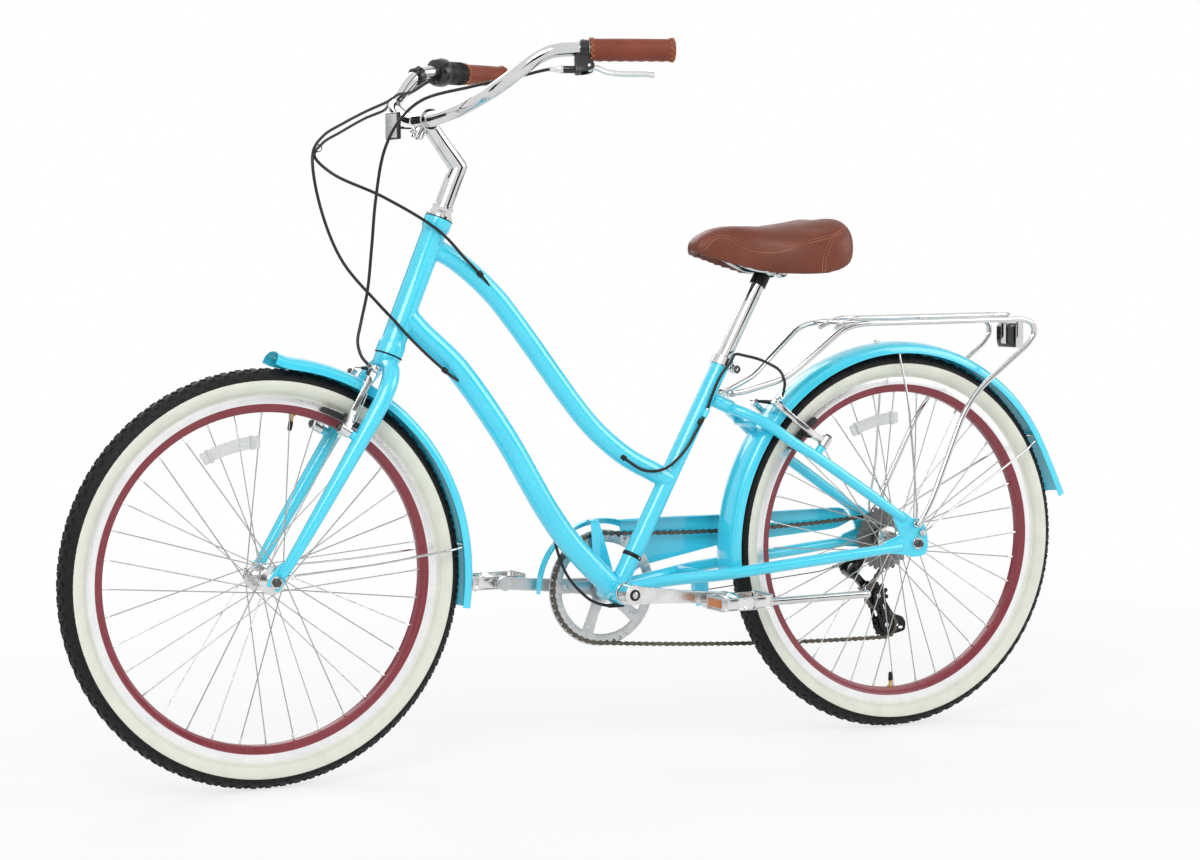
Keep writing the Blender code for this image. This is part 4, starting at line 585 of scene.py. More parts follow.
SPROCKET_STEEL = handled_coat("sprocket_steel", (0.23, 0.228, 0.222), (0.13, 0.128, 0.124), 1.0, 0.34,
                              0.14, 0.0, 260.0, 3000.0, 0.2, 0.0002)
BLACK = handled_coat("moulded_black", (0.007, 0.007, 0.008), (0.013, 0.013, 0.014), 0.0, 0.42, 0.12,
                     0.0, 120.0, 3800.0, 0.35, 0.0003, 0.3)
GLOSS_BLACK = handled_coat("gloss_black", (0.006, 0.006, 0.007), (0.012, 0.012, 0.013), 0.0, 0.2,
                           0.08, 0.3, 60.0, 2600.0, 0.1, 0.0002, 0.4)
CABLE = handled_coat("cable_jacket", (0.006, 0.006, 0.007), (0.012, 0.012, 0.013), 0.0, 0.34, 0.1,
                     0.1, 200.0, 3000.0, 0.15, 0.0002, 0.35)
BRAKE_RUBBER = handled_coat("pad_rubber", (0.02, 0.02, 0.02), (0.035, 0.034, 0.033), 0.0, 0.75,
                            0.12, 0.0, 200.0, 2600.0, 0.4, 0.0003)
BRASS = handled_coat("valve_brass", (0.62, 0.42, 0.16), (0.5, 0.33, 0.13), 1.0, 0.24, 0.1, 0.0, 90.0,
                     2000.0, 0.1, 0.0001)
THREAD = handled_coat("waxed_thread", (0.62, 0.27, 0.07), (0.45, 0.17, 0.045), 0.0, 0.6, 0.1, 0.0,
                      900.0, 5000.0, 0.6, 0.0002)
SEAM_THREAD = handled_coat("saddle_thread", (0.46, 0.17, 0.09), (0.36, 0.12, 0.065), 0.0, 0.6, 0.1,
                           0.0, 900.0, 5000.0, 0.6, 0.0002)


def leather(name, colour, dark, worn, grain, rough, clear):
    """Hide that drifts from its colour to a worn one, with painted shade darkening its creases."""
    made, tree, shader = plain_coat(name, 0.0, rough, clear, 0.25, 0.35)
    hide = use(tree, HIDE, Grain=grain)
    base = tinted(tree, hide.outputs["Drift"], colour, worn)
    # painted shade: the grain's creases darkened towards the dark colour
    base = tinted(tree, calc(tree, "MULTIPLY", hide.outputs["Creases"], 0.35), base, dark)
    tree.links.new(base, shader.inputs["Base Color"])
    gloss = calc(tree, "MULTIPLY_ADD", hide.outputs["Drift"], -0.10, rough + 0.05)
    gloss = calc(tree, "MULTIPLY_ADD", hide.outputs["Creases"], 0.12, gloss)
    tree.links.new(gloss, shader.inputs["Roughness"])
    bump(tree, shader, hide.outputs["Height"], 0.28, 0.00035)
    return made


SADDLE_HIDE = leather("saddle_leather", (0.145, 0.030, 0.013), (0.06, 0.012, 0.006),
                      (0.205, 0.050, 0.025), 620.0, 0.38, 0.12)
GRIP_HIDE = leather("grip_leather", (0.185, 0.034, 0.012), (0.08, 0.014, 0.006),
                    (0.245, 0.052, 0.021), 800.0, 0.45, 0.0)


# Radii in metres where a wheel's colours change, and the two moulded lines of the sidewall
TRACK_FROM = 0.2745
TRACK_OUTSIDE = 0.0098
TREAD_FROM = 0.3112
WALL_LINES = ((0.2906, 0.0005), (0.2932, 0.0004))


def round_coat(name, hub, specular):
    """The start of a coat that goes by the distance from the wheel's axle."""
    made, tree, shader = plain_coat(name, 0.0, 0.4, specular=specular)
    polar = use(tree, ROUND_HUB, **{"Hub X": (hub.x - MID_X) / 1000, "Hub Z": WHEEL_R / 1000})
    hand = use(tree, HANDLING, Smudge=35.0, Dust=1500.0)
    return made, tree, shader, polar, hand.outputs["Smudges"]


def rim_coat(name, hub):
    """Painted rim with a turned brake track."""
    made, tree, shader, polar, smudges = round_coat(name, hub, 0.5)
    radius = polar.outputs["Radius"]
    track = calc(tree, "GREATER_THAN", radius, TRACK_FROM)
    outside = calc(tree, "GREATER_THAN", calc(tree, "ABSOLUTE", polar.outputs["Side"]), TRACK_OUTSIDE)
    track = calc(tree, "MULTIPLY", track, outside)
    paint = tinted(tree, smudges, (0.205, 0.026, 0.036), (0.235, 0.034, 0.045))
    lines = calc(tree, "SINE", calc(tree, "MULTIPLY", radius, 15000.0))
    metal = tinted(tree, smudges, (0.93, 0.93, 0.93), (0.84, 0.84, 0.85))
    tree.links.new(tinted(tree, track, paint, metal), shader.inputs["Base Color"])
    tree.links.new(track, shader.inputs["Metallic"])
    gloss = calc(tree, "MULTIPLY_ADD", smudges, 0.08, 0.26)
    tree.links.new(gloss, shader.inputs["Roughness"])
    bump(tree, shader, calc(tree, "MULTIPLY", lines, track), 0.25, 0.00002)
    return made


def tyre_coat(name, hub):
    """Black tread and a cream sidewall with moulded lines and scuffs."""
    made, tree, shader, polar, smudges = round_coat(name, hub, 0.25)
    radius = polar.outputs["Radius"]
    tread = calc(tree, "GREATER_THAN", radius, TREAD_FROM)
    lines = [calc(tree, "LESS_THAN", calc(tree, "ABSOLUTE", calc(tree, "SUBTRACT", radius, middle)),
                  half) for middle, half in WALL_LINES]
    lines = calc(tree, "MAXIMUM", *lines)
    cream = tinted(tree, smudges, (0.76, 0.77, 0.66), (0.70, 0.71, 0.60))
    cream = tinted(tree, calc(tree, "MULTIPLY", lines, 0.4), cream, (0.4, 0.4, 0.38))
    scuffs = ramp(tree, noise(tree, here_at(tree), 160.0, 6.0, 0.75), ((0.66, 0.0), (0.74, 1.0)))
    cream = tinted(tree, calc(tree, "MULTIPLY", scuffs, 0.4), cream, (0.42, 0.4, 0.34))
    black = tinted(tree, smudges, (0.007, 0.007, 0.007), (0.013, 0.0125, 0.012))
    tree.links.new(tinted(tree, tread, cream, black), shader.inputs["Base Color"])
    gloss = calc(tree, "MULTIPLY_ADD", smudges, 0.12, 0.55)
    tree.links.new(gloss, shader.inputs["Roughness"])
    fine = noise(tree, here_at(tree), 1800.0, 2.0)
    height = calc(tree, "MULTIPLY_ADD", lines, 0.8, calc(tree, "MULTIPLY", fine, 0.25))
    bump(tree, shader, height, 0.4, 0.0003)
    return made


def clear_coat(name, colour, rough, transmission, cell):
    """A moulded reflector's lens, with its small prisms behind the surface."""
    made, tree, shader = plain_coat(name, 0.0, rough, 0.6, 0.04)
    prisms = put(tree, "TexVoronoi", {"feature": "F1", "distance": "CHEBYCHEV"},
                 {"Vector": here_at(tree), "Scale": cell, "Randomness": 0.0})
    shade = ramp(tree, prisms.outputs["Distance"], ((0.0, 1.0), (0.6, 0.0)))
    darker = tuple(c * 0.72 for c in colour)
    tree.links.new(tinted(tree, shade, darker, colour), shader.inputs["Base Color"])
    shader.inputs["Transmission Weight"].default_value = transmission
    shader.inputs["IOR"].default_value = 1.49
    bump(tree, shader, shade, 0.6, 0.0005)
    return made


CLEAR = clear_coat("clear_lens", (0.93, 0.94, 0.93), 0.15, 0.25, 420.0)
SPOKE_LENS = clear_coat("spoke_lens", (0.97, 0.97, 0.96), 0.2, 0.35, 300.0)
RED = clear_coat("red_lens_plastic", (0.42, 0.012, 0.014), 0.14, 0.1, 420.0)
AMBER = clear_coat("amber_lens", (0.75, 0.20, 0.012), 0.14, 0.15, 600.0)

# Camera, at the photograph's place

FOCAL_PIXELS = 2637.3
PHOTO_WIDTH = 1200
scene = bpy.context.scene
camera = bpy.data.cameras.new("camera")
camera.sensor_fit = "HORIZONTAL"
camera.sensor_width = 36.0
camera.lens = FOCAL_PIXELS / PHOTO_WIDTH * camera.sensor_width
camera.clip_start = 0.05
camera.clip_end = 100.0
holder = in_scene("camera", camera)
scene.camera = holder
yaw, pitch, roll = 0.4722, 0.0632, -0.0059
look = at(-math.sin(yaw) * math.cos(pitch), -math.cos(yaw) * math.cos(pitch), -math.sin(pitch))
right = at(-math.cos(yaw), math.sin(yaw), 0)
over = right.cross(look)
right, over = (right * math.cos(roll) + over * math.sin(roll),
               over * math.cos(roll) - right * math.sin(roll))
eye = TO_FRAME @ at(2567.5, 3888.7, 819.5)
holder.matrix_world = Matrix(((right.x, over.x, -look.x, eye.x), (right.y, over.y, -look.y, eye.y),
                              (right.z, over.z, -look.z, eye.z), (0, 0, 0, 1)))

# Floor, world and lamps

scene.view_settings.view_transform = "Standard"


def bare_tree(owner):
    """The owner's node tree, emptied."""
    owner.use_nodes = True
    owner.node_tree.nodes.clear()
    return owner.node_tree


def seen_plainly(tree):
    """1 for the rays that see the studio itself: from the camera, and through gloss and glass."""
    rays = put(tree, "LightPath").outputs
    bounced = calc(tree, "MAXIMUM", rays["Is Glossy Ray"], rays["Is Transmission Ray"])
    return calc(tree, "MAXIMUM", rays["Is Camera Ray"], bounced)


world = bpy.data.worlds.new("studio")
scene.world = world
tree = bare_tree(world)
soft = put(tree, "Background", inputs={"Color": (0.93, 0.96, 1.0, 1), "Strength": 0.62})
white = put(tree, "Background", inputs={"Color": (1, 1, 1, 1), "Strength": 1.0})
mixed = put(tree, "MixShader", inputs={0: seen_plainly(tree), 1: soft.outputs[0], 2: white.outputs[0]})
tree.links.new(mixed.outputs[0], put(tree, "OutputWorld").inputs[0])

floor_bm = bmesh.new()
bmesh.ops.create_grid(floor_bm, x_segments=1, y_segments=1, size=30.0)
floor = in_scene("floor", mesh_of("floor", floor_bm))
floor_coat = bpy.data.materials.new("studio_floor")
tree = bare_tree(floor_coat)
paper = put(tree, "BsdfDiffuse", inputs={"Color": (0.86, 0.86, 0.86, 1)})
glow = put(tree, "Emission", inputs={"Color": (1, 1, 1, 1), "Strength": 1.0})
reach = put(tree, "VectorMath", {"operation": "LENGTH"}, {0: here_at(tree)}).outputs["Value"]
fade = put(tree, "MapRange", {"interpolation_type": "SMOOTHSTEP"},
           {"Value": reach, "From Min": 0.9, "From Max": 3.2, "To Min": 0.72, "To Max": 1.0})
mixed = put(tree, "MixShader", inputs={0: calc(tree, "MULTIPLY", seen_plainly(tree), fade.outputs[0]),
                                       1: paper.outputs[0], 2: glow.outputs[0]})
tree.links.new(mixed.outputs[0], put(tree, "OutputMaterial").inputs[0])
floor_coat.cycles.emission_sampling = "NONE"
floor.data.materials.append(floor_coat)


def lamp(name, where, aim, size, power):
    """A soft box that shines from one place to another, in metres."""
    light = bpy.data.lights.new(name, "AREA")
    light.shape = "RECTANGLE"
    light.size, light.size_y = size
    light.energy = power
    made = in_scene(name, light)
    made.location = where
    made.rotation_mode = "QUATERNION"
    made.rotation_quaternion = (Vector(aim) - Vector(where)).to_track_quat("-Z", "Y")


lamp("key_lamp", (2.4, 3.2, 3.4), (0, 0, 0.5), (2.4, 2.4), 95)
lamp("fill_lamp", (-3.2, 2.4, 2.2), (0, 0, 0.6), (2.6, 2.0), 45)
lamp("back_lamp", (0.2, -3.4, 3.0), (0, 0, 0.6), (3.0, 2.0), 55)


flag_coat = bpy.data.materials.new("flag_cloth")
tree = bare_tree(flag_coat)
cloth = put(tree, "BsdfDiffuse", inputs={"Color": (0.015, 0.015, 0.016, 1)})
tree.links.new(cloth.outputs[0], put(tree, "OutputMaterial").inputs[0])


def flag(name, bearing, half, low, high, reach=4.2):
    """A dark screen that only reflections see, as a studio's flags give chrome its lines."""
    part = bmesh.new()
    turn = math.radians(bearing - half)
    ends = [part.verts.new(Vector((reach * math.cos(turn), reach * math.sin(turn), z)))
            for z in (low, high)]
    edge = part.edges.new(ends)
    bmesh.ops.spin(part, geom=ends + [edge], cent=(0, 0, 0), axis=(0, 0, 1),
                   angle=math.radians(half * 2), steps=8)
    made = in_scene(name, mesh_of(name, part))
    made.data.materials.append(flag_coat)
    made.visible_camera = made.visible_diffuse = False
    made.visible_transmission = made.visible_shadow = False


flag("camera_flag", 63, 11, 0.2, 2.2)
flag("far_left_flag", 288, 13, -0.1, 3.0)
flag("far_right_flag", 200, 8, -0.1, 3.0)
flag("near_right_flag", 117, 12, 0.4, 2.6)
flag("near_left_flag", 8, 9, 0.0, 2.4)
flag("overhead_flag", 150, 50, 3.1, 3.8, 1.9)

# Frame tubes

bm = bmesh.new()
lathe(bm, [(15.5, 400), (21.9, 400), (22.5, 400.6), (22.5, 417.5), (22.2, 418.6), (20.5, 424.5),
           (20, 427), (20, 610), (20.5, 613), (22.7, 618), (23, 619.2), (23, 634.4), (22.4, 635),
           (15.5, 635)], STEER_FOOT, STEER_UP, 64, ring=True)
head_skin = BVHTree.FromBMesh(bm)
finish("head_tube_shell", bm, SKY, "frame", "head_tube")
bm = bmesh.new()
washer(bm, STEER_FOOT, STEER_UP, 15.6, 23.3, 633.4, 635.1, 64, 0.4)
washer(bm, STEER_FOOT, STEER_UP, 15.6, 22.9, 399.85, 401.6, 64, 0.4)
finish("headset_seals", bm, BLACK, "frame")

bm = bmesh.new()
lathe(bm, [(13.1, 46), (13.1, 436.6), (13.5, 437), (15.1, 437), (15.5, 436.6), (15.5, 0), (13.1, 0)],
      BB, SEAT_UP, 48, ring=True)
lathe(bm, [(9, -34), (19.3, -34), (20, -33.3), (20, 33.3), (19.3, 34), (9, 34)], BB, Y, 56, ring=True)
lathe(bm, [(2.7, -7), (4.2, -7), (4.6, -6.6), (4.6, 6.6), (4.2, 7), (2.7, 7)], CABLE_STOP, SEAT_UP,
      20, ring=True)
block(bm, seat(3, 15.4, 335), SEAT_UP, SEAT_BACK, 6, 3, -1.6, 2.6, 0.6)
seat_skin = BVHTree.FromBMesh(bm)
finish("seat_tube_shell", bm, SKY, "frame", "seat_tube")

TOP_LINE = [(886, 848), (850, 831), (810, 802), (771, 766), (731, 718), (609, 562), (567, 522),
            (525, 492), (486, 472)]
top_line = smooth([(x, 0, z) for x, z in TOP_LINE] + [SEAT_CLUSTER], 12)
bm = bmesh.new()
tube(bm, top_line, 17, 40, side=Y)
finish("top_tube_shell", bm, SKY, "frame", "top_tube")
DOWN_LINE = [(931, 740), (904, 711), (878, 688), (840, 652), (760, 545), (680, 414), (645, 366),
             (611, 329)]
down_line = smooth([(x, 0, z) for x, z in DOWN_LINE] + [BB], 12)
bm = bmesh.new()
tube(bm, down_line, 20, 44, taper(down_line, ((0, 20), (0.9, 20), (1, 18.6))), side=Y)
finish("down_tube_shell", bm, SKY, "frame", "down_tube")

# Stays with the dropouts

DROPOUT = [(70, 316), (70, 334), (34, 346), (50, 378), (42, 388), (30, 388), (10, 373), (-8, 373),
           (-17, 356), (-21, 340), (-22, 322), (-16, 309), (8, 306), (30, 312)]
HANGER = DROPOUT[:10] + [(-22, 322), (-18, 296), (-10, 289), (2, 289), (9, 297), (12, 308), (30, 312)]
bm = bmesh.new()
stay = bent([(545, 19, 277), (505, 23, 284), (462, 29, 289), (430, 41, 292),
             (382, 61, 296), (106, 70, 319), (36, 70.5, 325)], 30, 5)
for line in (stay, flip(stay)):
    tube(bm, line, 10, 28, taper(line, ((0, 10), (0.8, 10), (0.92, 9), (1, 7.5))), dome=0.9)
for side, outline in ((1, DROPOUT), (-1, HANGER)):
    holes = [hole_at(4, 364, 2.9), hole_at(-8, 348, 2.9), hole_at(0, 330, 5.3, 32)]
    if side < 0:
        holes.append(hole_at(-4, 300, 5.3))
    low, high = sorted((-side * 67.8, -side * 73.8))
    plate(bm, rounded(outline, 7, 5), at(0, 0, 0), X, Z, low, high, holes, 0.7, 3)
rod(bm, at(408, -50, 295), at(408, 50, 295), 8, 24)
block(bm, at(400, 0, 286), X, Y, 22, 17, -3, 3, 1.2, 3)
block(bm, at(394, 2, 268), X, Y, 12, 10, -19, 19, 1.5, 3)
KICK_PIVOT = at(395, 16, 246)
KICK_AXIS = at(0.1935, -0.947, -0.2546).normalized()
rod(bm, KICK_PIVOT + KICK_AXIS * 16, KICK_PIVOT - KICK_AXIS * 18, 5, 20, 0.8)
finish("chainstay_tubes", bm, SKY, "frame", "chainstays")


def brake_frame(name):
    """The left brake pivot, the way up its arm and the way of its stud."""
    if name == "front":
        return at(1058, 60, 562), at(-0.536, 0, 0.844).normalized(), at(0.844, 0, 0.536).normalized()
    return at(182, 62, 512), at(0.78, 0, 0.625).normalized(), at(-0.625, 0, 0.78).normalized()


def brake_bosses(bm, name):
    """The studs that a pair of brake arms turns on."""
    pivot, _, stud = brake_frame(name)
    for centre in (pivot, *flip([pivot])):
        lathe(bm, [(0, -34), (7, -34), (7, -10.6), (6.4, -10), (4, -10), (4, 10), (0, 10)], centre,
              stud, 24)


bm = bmesh.new()
line = both_sides(smooth([(336, 0, 573), (330, 13, 570), (308, 30, 559), (283, 45, 544), (240, 58, 512),
                          (200, 61.6, 488.5), (32, 72.5, 377)], 9))
tube(bm, line, 9.5, 28, taper(line, ((0, 8), (0.08, 9.5), (0.92, 9.5), (1, 8))), dome=0.9)
rod(bm, at(330, 0, 572), at(368, 0, 589), 12.3, 28, 1.5)
rod(bm, at(303, -29, 546), at(303, 29, 546), 6, 20)
brake_bosses(bm, "rear")
finish("seatstay_tube", bm, SKY, "frame", "seatstays")

bm = bmesh.new()
washer(bm, seat(0, 0, 430), SEAT_UP, 15.8, 19.4, -8, 8, 48, 0.8, Y)
for side in (1, -1):
    block(bm, seat(25, side * 4.4, 430), SEAT_BACK, Y, 8, 3.0, -6, 6, 1.2, 3)
rod(bm, seat(27, -11.5, 430), seat(27, 11, 430), 3.0, 18)
hex_bolt(bm, seat(27, -8.5, 430), -Y, 9, 3.5, 6.0)
lathe(bm, [(0, 0), (6.6, 0), (6.9, 0.4), (6.9, 2.6), (6.3, 3.4), (3.4, 3.4), (3.4, 1.6), (0, 1.6)],
      seat(27, 8, 430), Y, 28)
finish("seat_clamp_collar", bm, CHROME, "frame", "seat_clamp")
bm = bmesh.new()
washer(bm, seat(27, 8, 430), Y, 3.3, 5.2, 3.0, 3.9, 24, 0.2)
finish("seat_clamp_seal", bm, BLACK, "frame")

# Fenders


def fender_section():
    """The blade's outline: an arched sheet with rolled edges."""
    outer = []
    for i in range(19):
        u = (i / 9 - 1) * math.pi / 2
        outer.append((31 * math.sin(u), -20 + 19 * math.cos(u) ** 0.55))
    inner = [(a * (1 - 1.2 / 31), b - 1.2 if abs(a) < 30.5 else b) for a, b in outer]
    roll = [(31.0, -20.0), (31.7, -20.6), (31.5, -21.5), (30.6, -21.7), (29.9, -21.0)]
    return ([(-a, b) for a, b in reversed(roll)] + outer[1:-1] + roll + list(reversed(inner[1:-1])))


FENDER_R = 351.0


def fender(hub, start, end, kick, front_kick):
    """The blade from one turn about the hub to another; the kicks lift its two ends."""
    bm = bmesh.new()
    path = []
    count = round(abs(end - start) / 1.6)
    for i in range(count + 1):
        turn = start + (end - start) * i / count
        lift = kick * max(0.0, 1 - (end - turn) / 16) ** 2
        lift += front_kick * max(0.0, 1 - (turn - start) / 4) ** 2
        path.append(around(hub, turn, FENDER_R + lift))
    sweep(bm, path, [(a, -b) for a, b in fender_section()], side=Y)
    return bm


bm = fender(REAR_HUB, -6.0, 168.5, 11.0, 0.0)
out = (at(303, 0, 546) - REAR_HUB).normalized()
rod(bm, REAR_HUB + out * 347, REAR_HUB + out * 366, 4, 20)
finish("rear_fender_blade", bm, SKY, "frame", "rear_fender")
bm = fender(FRONT_HUB, 93.5, 190.8, 2.0, 6.0)
block(bm, steer(15.9, 0, 362), Y, STEER_UP, 8, 17.3, -1, 1, 0.4)
finish("front_fender_blade", bm, SKY, "steering", "front_fender")

WIRE_R = 2.0
INSIDE = FENDER_R - 1.8 - 1.2 - WIRE_R - 0.3


def wire_stay(name, foot, via, hub, degrees, body):
    """A wire from foot to foot round the inside of a fender, with an eye at each foot."""
    crown = around(hub, degrees, INSIDE - 1)
    lower = around(hub, degrees, INSIDE - 24, 28.6)
    skirt = around(hub, degrees, INSIDE - 12, 27.0)
    shoulder = around(hub, degrees, INSIDE - 4, 19)
    start = foot + (via[0] - foot).normalized() * 5.0
    line = [start] + via + [lower, skirt, shoulder]
    path = bent(line + [crown] + flip(reversed(line)), 26, 7)
    bm = bmesh.new()
    tube(bm, path, WIRE_R, 14)
    for eye in (foot, *flip([foot])):
        ring = [around(eye, 15 * i, 4.4, eye.y) for i in range(24)]
        sweep(bm, ring, [(a, b * 0.8) for a, b in circle(1.7, 12)], closed=True, side=Y)
    finish(name + "_wire", bm, CHROME, body, name)


wire_stay("rear_fender_stay_upper", at(4, 76.0, 364), [at(3, 76.3, 392), at(-1, 62, 457),
                                                       at(1, 46, 578)], REAR_HUB, 88.7, "frame")
wire_stay("rear_fender_stay_rear", at(-8, 76.0, 348), [at(-27, 76.3, 358), at(-134, 56, 416),
                                                       at(-262, 37, 484)], REAR_HUB, 149.7, "frame")
wire_stay("front_fender_stay", at(1150, 66, 340), [at(1005, 50, 348), at(866, 35.5, 362)],
          FRONT_HUB, 174, "steering")

# Chain guard

EDGE_Y = -53.6
rim_arc = [around(BB, -2 + i * 3.5, 117.6) for i in range(32)]
inner = [around(BB, 158 - i * 4, 84) for i in range(10)]
band = [around(BB, 111 - i * 5, 108) for i in range(23)]
tail = bent([(500, 0, 386), (90, 0, 386.4), (62, 0, 380), (52, 0, 362), (82, 0, 349),
             (318, 0, 333), (430, 0, 313)], 12, 5)
bm = bmesh.new()
plate(bm, flat(rim_arc + tail + inner + band), at(0, 0, 0), X, Z, 59.4, 60.6, (), 0.0)
edge = [around(BB, -2 + i * 2.5, 118, EDGE_Y) for i in range(45)]
edge += [at(86, EDGE_Y, 387), at(64, EDGE_Y, 381)]
sweep(bm, edge, [(-7, 0), (-6.8, -0.2), (6.6, -0.2), (7, 0.2), (7, 1.0), (6.8, 1.2), (-6.6, 1.2),
                 (-7, 0.8)], side=Y)
strap = rounded([(-21, 4), (-13, -16), (0, -21), (13, -16), (21, 4), (28, 115.5), (13, 116.8)], 5)
plate(bm, strap, BB - Y * 34.3, X, Z, 0, 1.6, [circle(14, 28)], 0.3)
block(bm, BB + at(20.5, -42.5, 115.8), X, Y, 7.4, 9, -0.9, 0.9, 0.4)
finish("chain_guard_plate", bm, SKY, "frame", "chain_guard")

# Rear rack and its reflector

side_rail = bent([(4, 84.5, 364), (-25, 80, 404), (-97, 69, 551), (-134, 67.5, 596), (-238, 67, 671),
                  (-252, 67.5, 690), (-248, 68.5, 708), (-226, 69.5, 716.5), (112, 74, 714),
                  (150, 73, 707), (222, 63, 649), (256, 54, 622), (324, 26, 600), (343, 17, 598)],
                 24, 6)
bm = bmesh.new()
for line in (side_rail, flip(side_rail)):
    tube(bm, line, 5, 22, taper(line, ((0, 3.4), (0.012, 5), (0.985, 5), (1, 3.6))), dome=0.8)
for x, z in ((-200, 716.5), (-40, 715.5), (118, 713.5)):
    rod(bm, at(x, -70, z), at(x, 70, z), 4, 20)
rail = [at(137, 26, 706), at(112, 26, 717.5), at(96, 26, 721.5), at(-218, 26, 723.5),
        at(-231, 18, 723.5), at(-235, 0, 723.5)]
rail = bent(rail + flip(reversed(rail[:-1])), 16, 6)
tube(bm, rail, 4, 20, dome=0.8)
for side in (1, -1):
    rod(bm, at(4, side * 66.8, 364), at(4, side * 86, 364), 2.4, 16)
    hex_bolt(bm, at(4, side * 85.5, 364), Y * side, 8, 4, 5.5)
    hex_bolt(bm, at(-8, side * 77.6, 348), Y * side, 8, 4, 5.2)
    rod(bm, at(-8, side * 66.8, 348), at(-8, side * 79, 348), 2.4, 16)
    block(bm, at(340, side * 16.5, 598), X, Z, 8, 6, -2, 2, 1.2, 3)
    hex_bolt(bm, at(341, side * 18.5, 598), Y * side, 8, 4.5, 5.6)
block(bm, at(-234, 0, 697), X, Z, 1.2, 26, -7, 7, 0.5)
block(bm, at(-246, 31, 690), X, Z, 8, 26, -0.9, 0.9, 3, 4)
finish("rear_rack_frame", bm, CHROME, "frame", "rear_rack")

bm = bmesh.new()
house = rounded([(-10, -20), (6, -23), (10, -10), (10, 14), (5, 22), (-10, 19)], 3)
plate(bm, house, at(-246, 0, 687), X, Z, -26, 26, (), 1.5, 3)
finish("rear_reflector_case", bm, GLOSS_BLACK, "frame")
bm = bmesh.new()
lens = rounded([(-2, -17), (0, -18), (1.4, -18), (1.4, 18), (0, 18), (-2, 17)], 0.6)
plate(bm, lens, at(-257, 0, 687), X, Z, -23, 23, (), 0.4, 2)
finish("rear_reflector_lens", bm, RED, "frame", "rear_reflector")

# Fork, axles and headset

bm = bmesh.new()
half = smooth([steer(*p) for p in ((0, 0, 385), (0, 16, 384), (0.5, 34, 376), (2, 49, 359),
                                   (5, 57, 332), (10, 60, 300), (45, 62, 100), (56, 60, 38),
                                   (59.5, 58.5, 18))], 9)
line = both_sides(half)
tube(bm, line, 14, 36, taper(line, ((0, 8.5), (0.024, 9), (0.1, 10.5), (0.35, 13.8), (0.42, 14),
                                    (0.58, 14), (0.65, 13.8), (0.9, 10.5), (0.976, 9), (1, 8.5))),
     dome=0.8)
BLADE = (steer(45, 0, 100) - steer(59.5, 0, 18)).normalized()
ACROSS = Y.cross(BLADE)
TIP = rounded([(-11, -12), (-4.9, -12), (-4.9, 0), (-3.4, 3.4), (0, 4.9), (3.4, 3.4), (4.9, 0),
               (4.9, -12), (11, -12), (13, 2), (8, 32), (-8, 32), (-13, 2)], 3)
for side in (1, -1):
    low, high = sorted((-side * 50, -side * 55))
    plate(bm, TIP, FRONT_HUB, ACROSS, BLADE, low, high, [], 0.6, 3)
lathe(bm, [(12.5, 378), (20.4, 380), (21, 381), (21, 398.8), (20.2, 399.7), (12.5, 399.7)],
      STEER_FOOT, STEER_UP, 48, ring=True)
rod(bm, steer(0, 0, 380), steer(0, 0, 654), 14.1, 40)
brake_bosses(bm, "front")
finish("fork_blades", bm, SKY, "steering", "fork")


def axle(name, hub, radius, out, plate_at, nut_r, body):
    """A threaded axle with a nut and a washer ring on each dropout."""
    bm = bmesh.new()
    rings = bmesh.new()
    rod(bm, hub - Y * out, hub + Y * out, radius, 24, 0.8)
    for side in (1, -1):
        seat_at = hub + Y * side * plate_at
        washer(rings, seat_at, Y * side, radius + 0.2, nut_r + 1.4, 0, 2.0, 36)
        lathe(bm, [(0, 2), (7.4, 2), (7.4, 6.2), (6.6, 7.6), (5, 8.4), (0, 8.4)], seat_at, Y * side, 6)
    finish(name + "_nuts", bm, DARK_STEEL, body, name)
    finish(name + "_washers", rings, CHROME, body)


axle("rear_axle", REAR_HUB, 4.8, 86.8, 74.1, 9, "frame")
axle("front_axle", FRONT_HUB, 4.5, 68, 55.3, 8.5, "steering")

bm = bmesh.new()
lathe(bm, [(14.6, 635.4), (21.6, 635.4), (22, 635.8), (22, 639), (21.4, 639.8), (14.6, 639.8)],
      STEER_FOOT, STEER_UP, 64, ring=True)
lathe(bm, [(14.6, 639.6), (21.2, 639.6), (21.2, 641), (18.0, 645.6), (17.4, 652.5), (14.6, 652.5)],
      STEER_FOOT, STEER_UP, 8, ring=True)
lathe(bm, [(14.6, 652.3), (17.2, 652.3), (17.2, 655.6), (16.6, 656.3), (14.6, 656.3)],
      STEER_FOOT, STEER_UP, 48, ring=True)
finish("headset_lock_nut", bm, CHROME, "steering", "headset_nut")

# Stem and handlebar

BAR_CENTRE = steer(80, 0, 772)
bm = bmesh.new()
lathe(bm, [(0, 566), (10.9, 566), (10.9, 656.7), (13.9, 656.7), (14.5, 657.3), (14.5, 706), (0, 706)],
      STEER_FOOT, STEER_UP, 48)
neck = [steer(0, 0, 690), steer(-0.5, 0, 724)]
neck += bent([steer(1, 0, 725.5), steer(42, 0, 749), BAR_CENTRE], 26, 8)
tube(bm, neck, 14.5, 40, taper(neck, ((0, 14.4), (0.3, 15.2), (0.34, 15.0), (0.6, 13.8), (1, 13))),
     side=Y)
washer(bm, BAR_CENTRE, Y, 12.9, 17.5, -20, 20, 56, 1.4)
ear = BAR_CENTRE + at(12, 0, -22)
for low, high in ((1.2, 6.6), (-6.6, -1.2)):
    block(bm, ear, at(0.48, 0, -0.88), Y, 9, 9, low, high, 1.6, 3)
rod(bm, ear + at(-9, 0, -5.5), ear + at(13, 0, 4.5), 3.8, 20)
socket_bolt(bm, ear + at(0.88, 0, 0.48) * 8.6, at(0.88, 0, 0.48), 5.6, 5.0)
finish("stem_body", bm, CHROME, "steering", "stem")

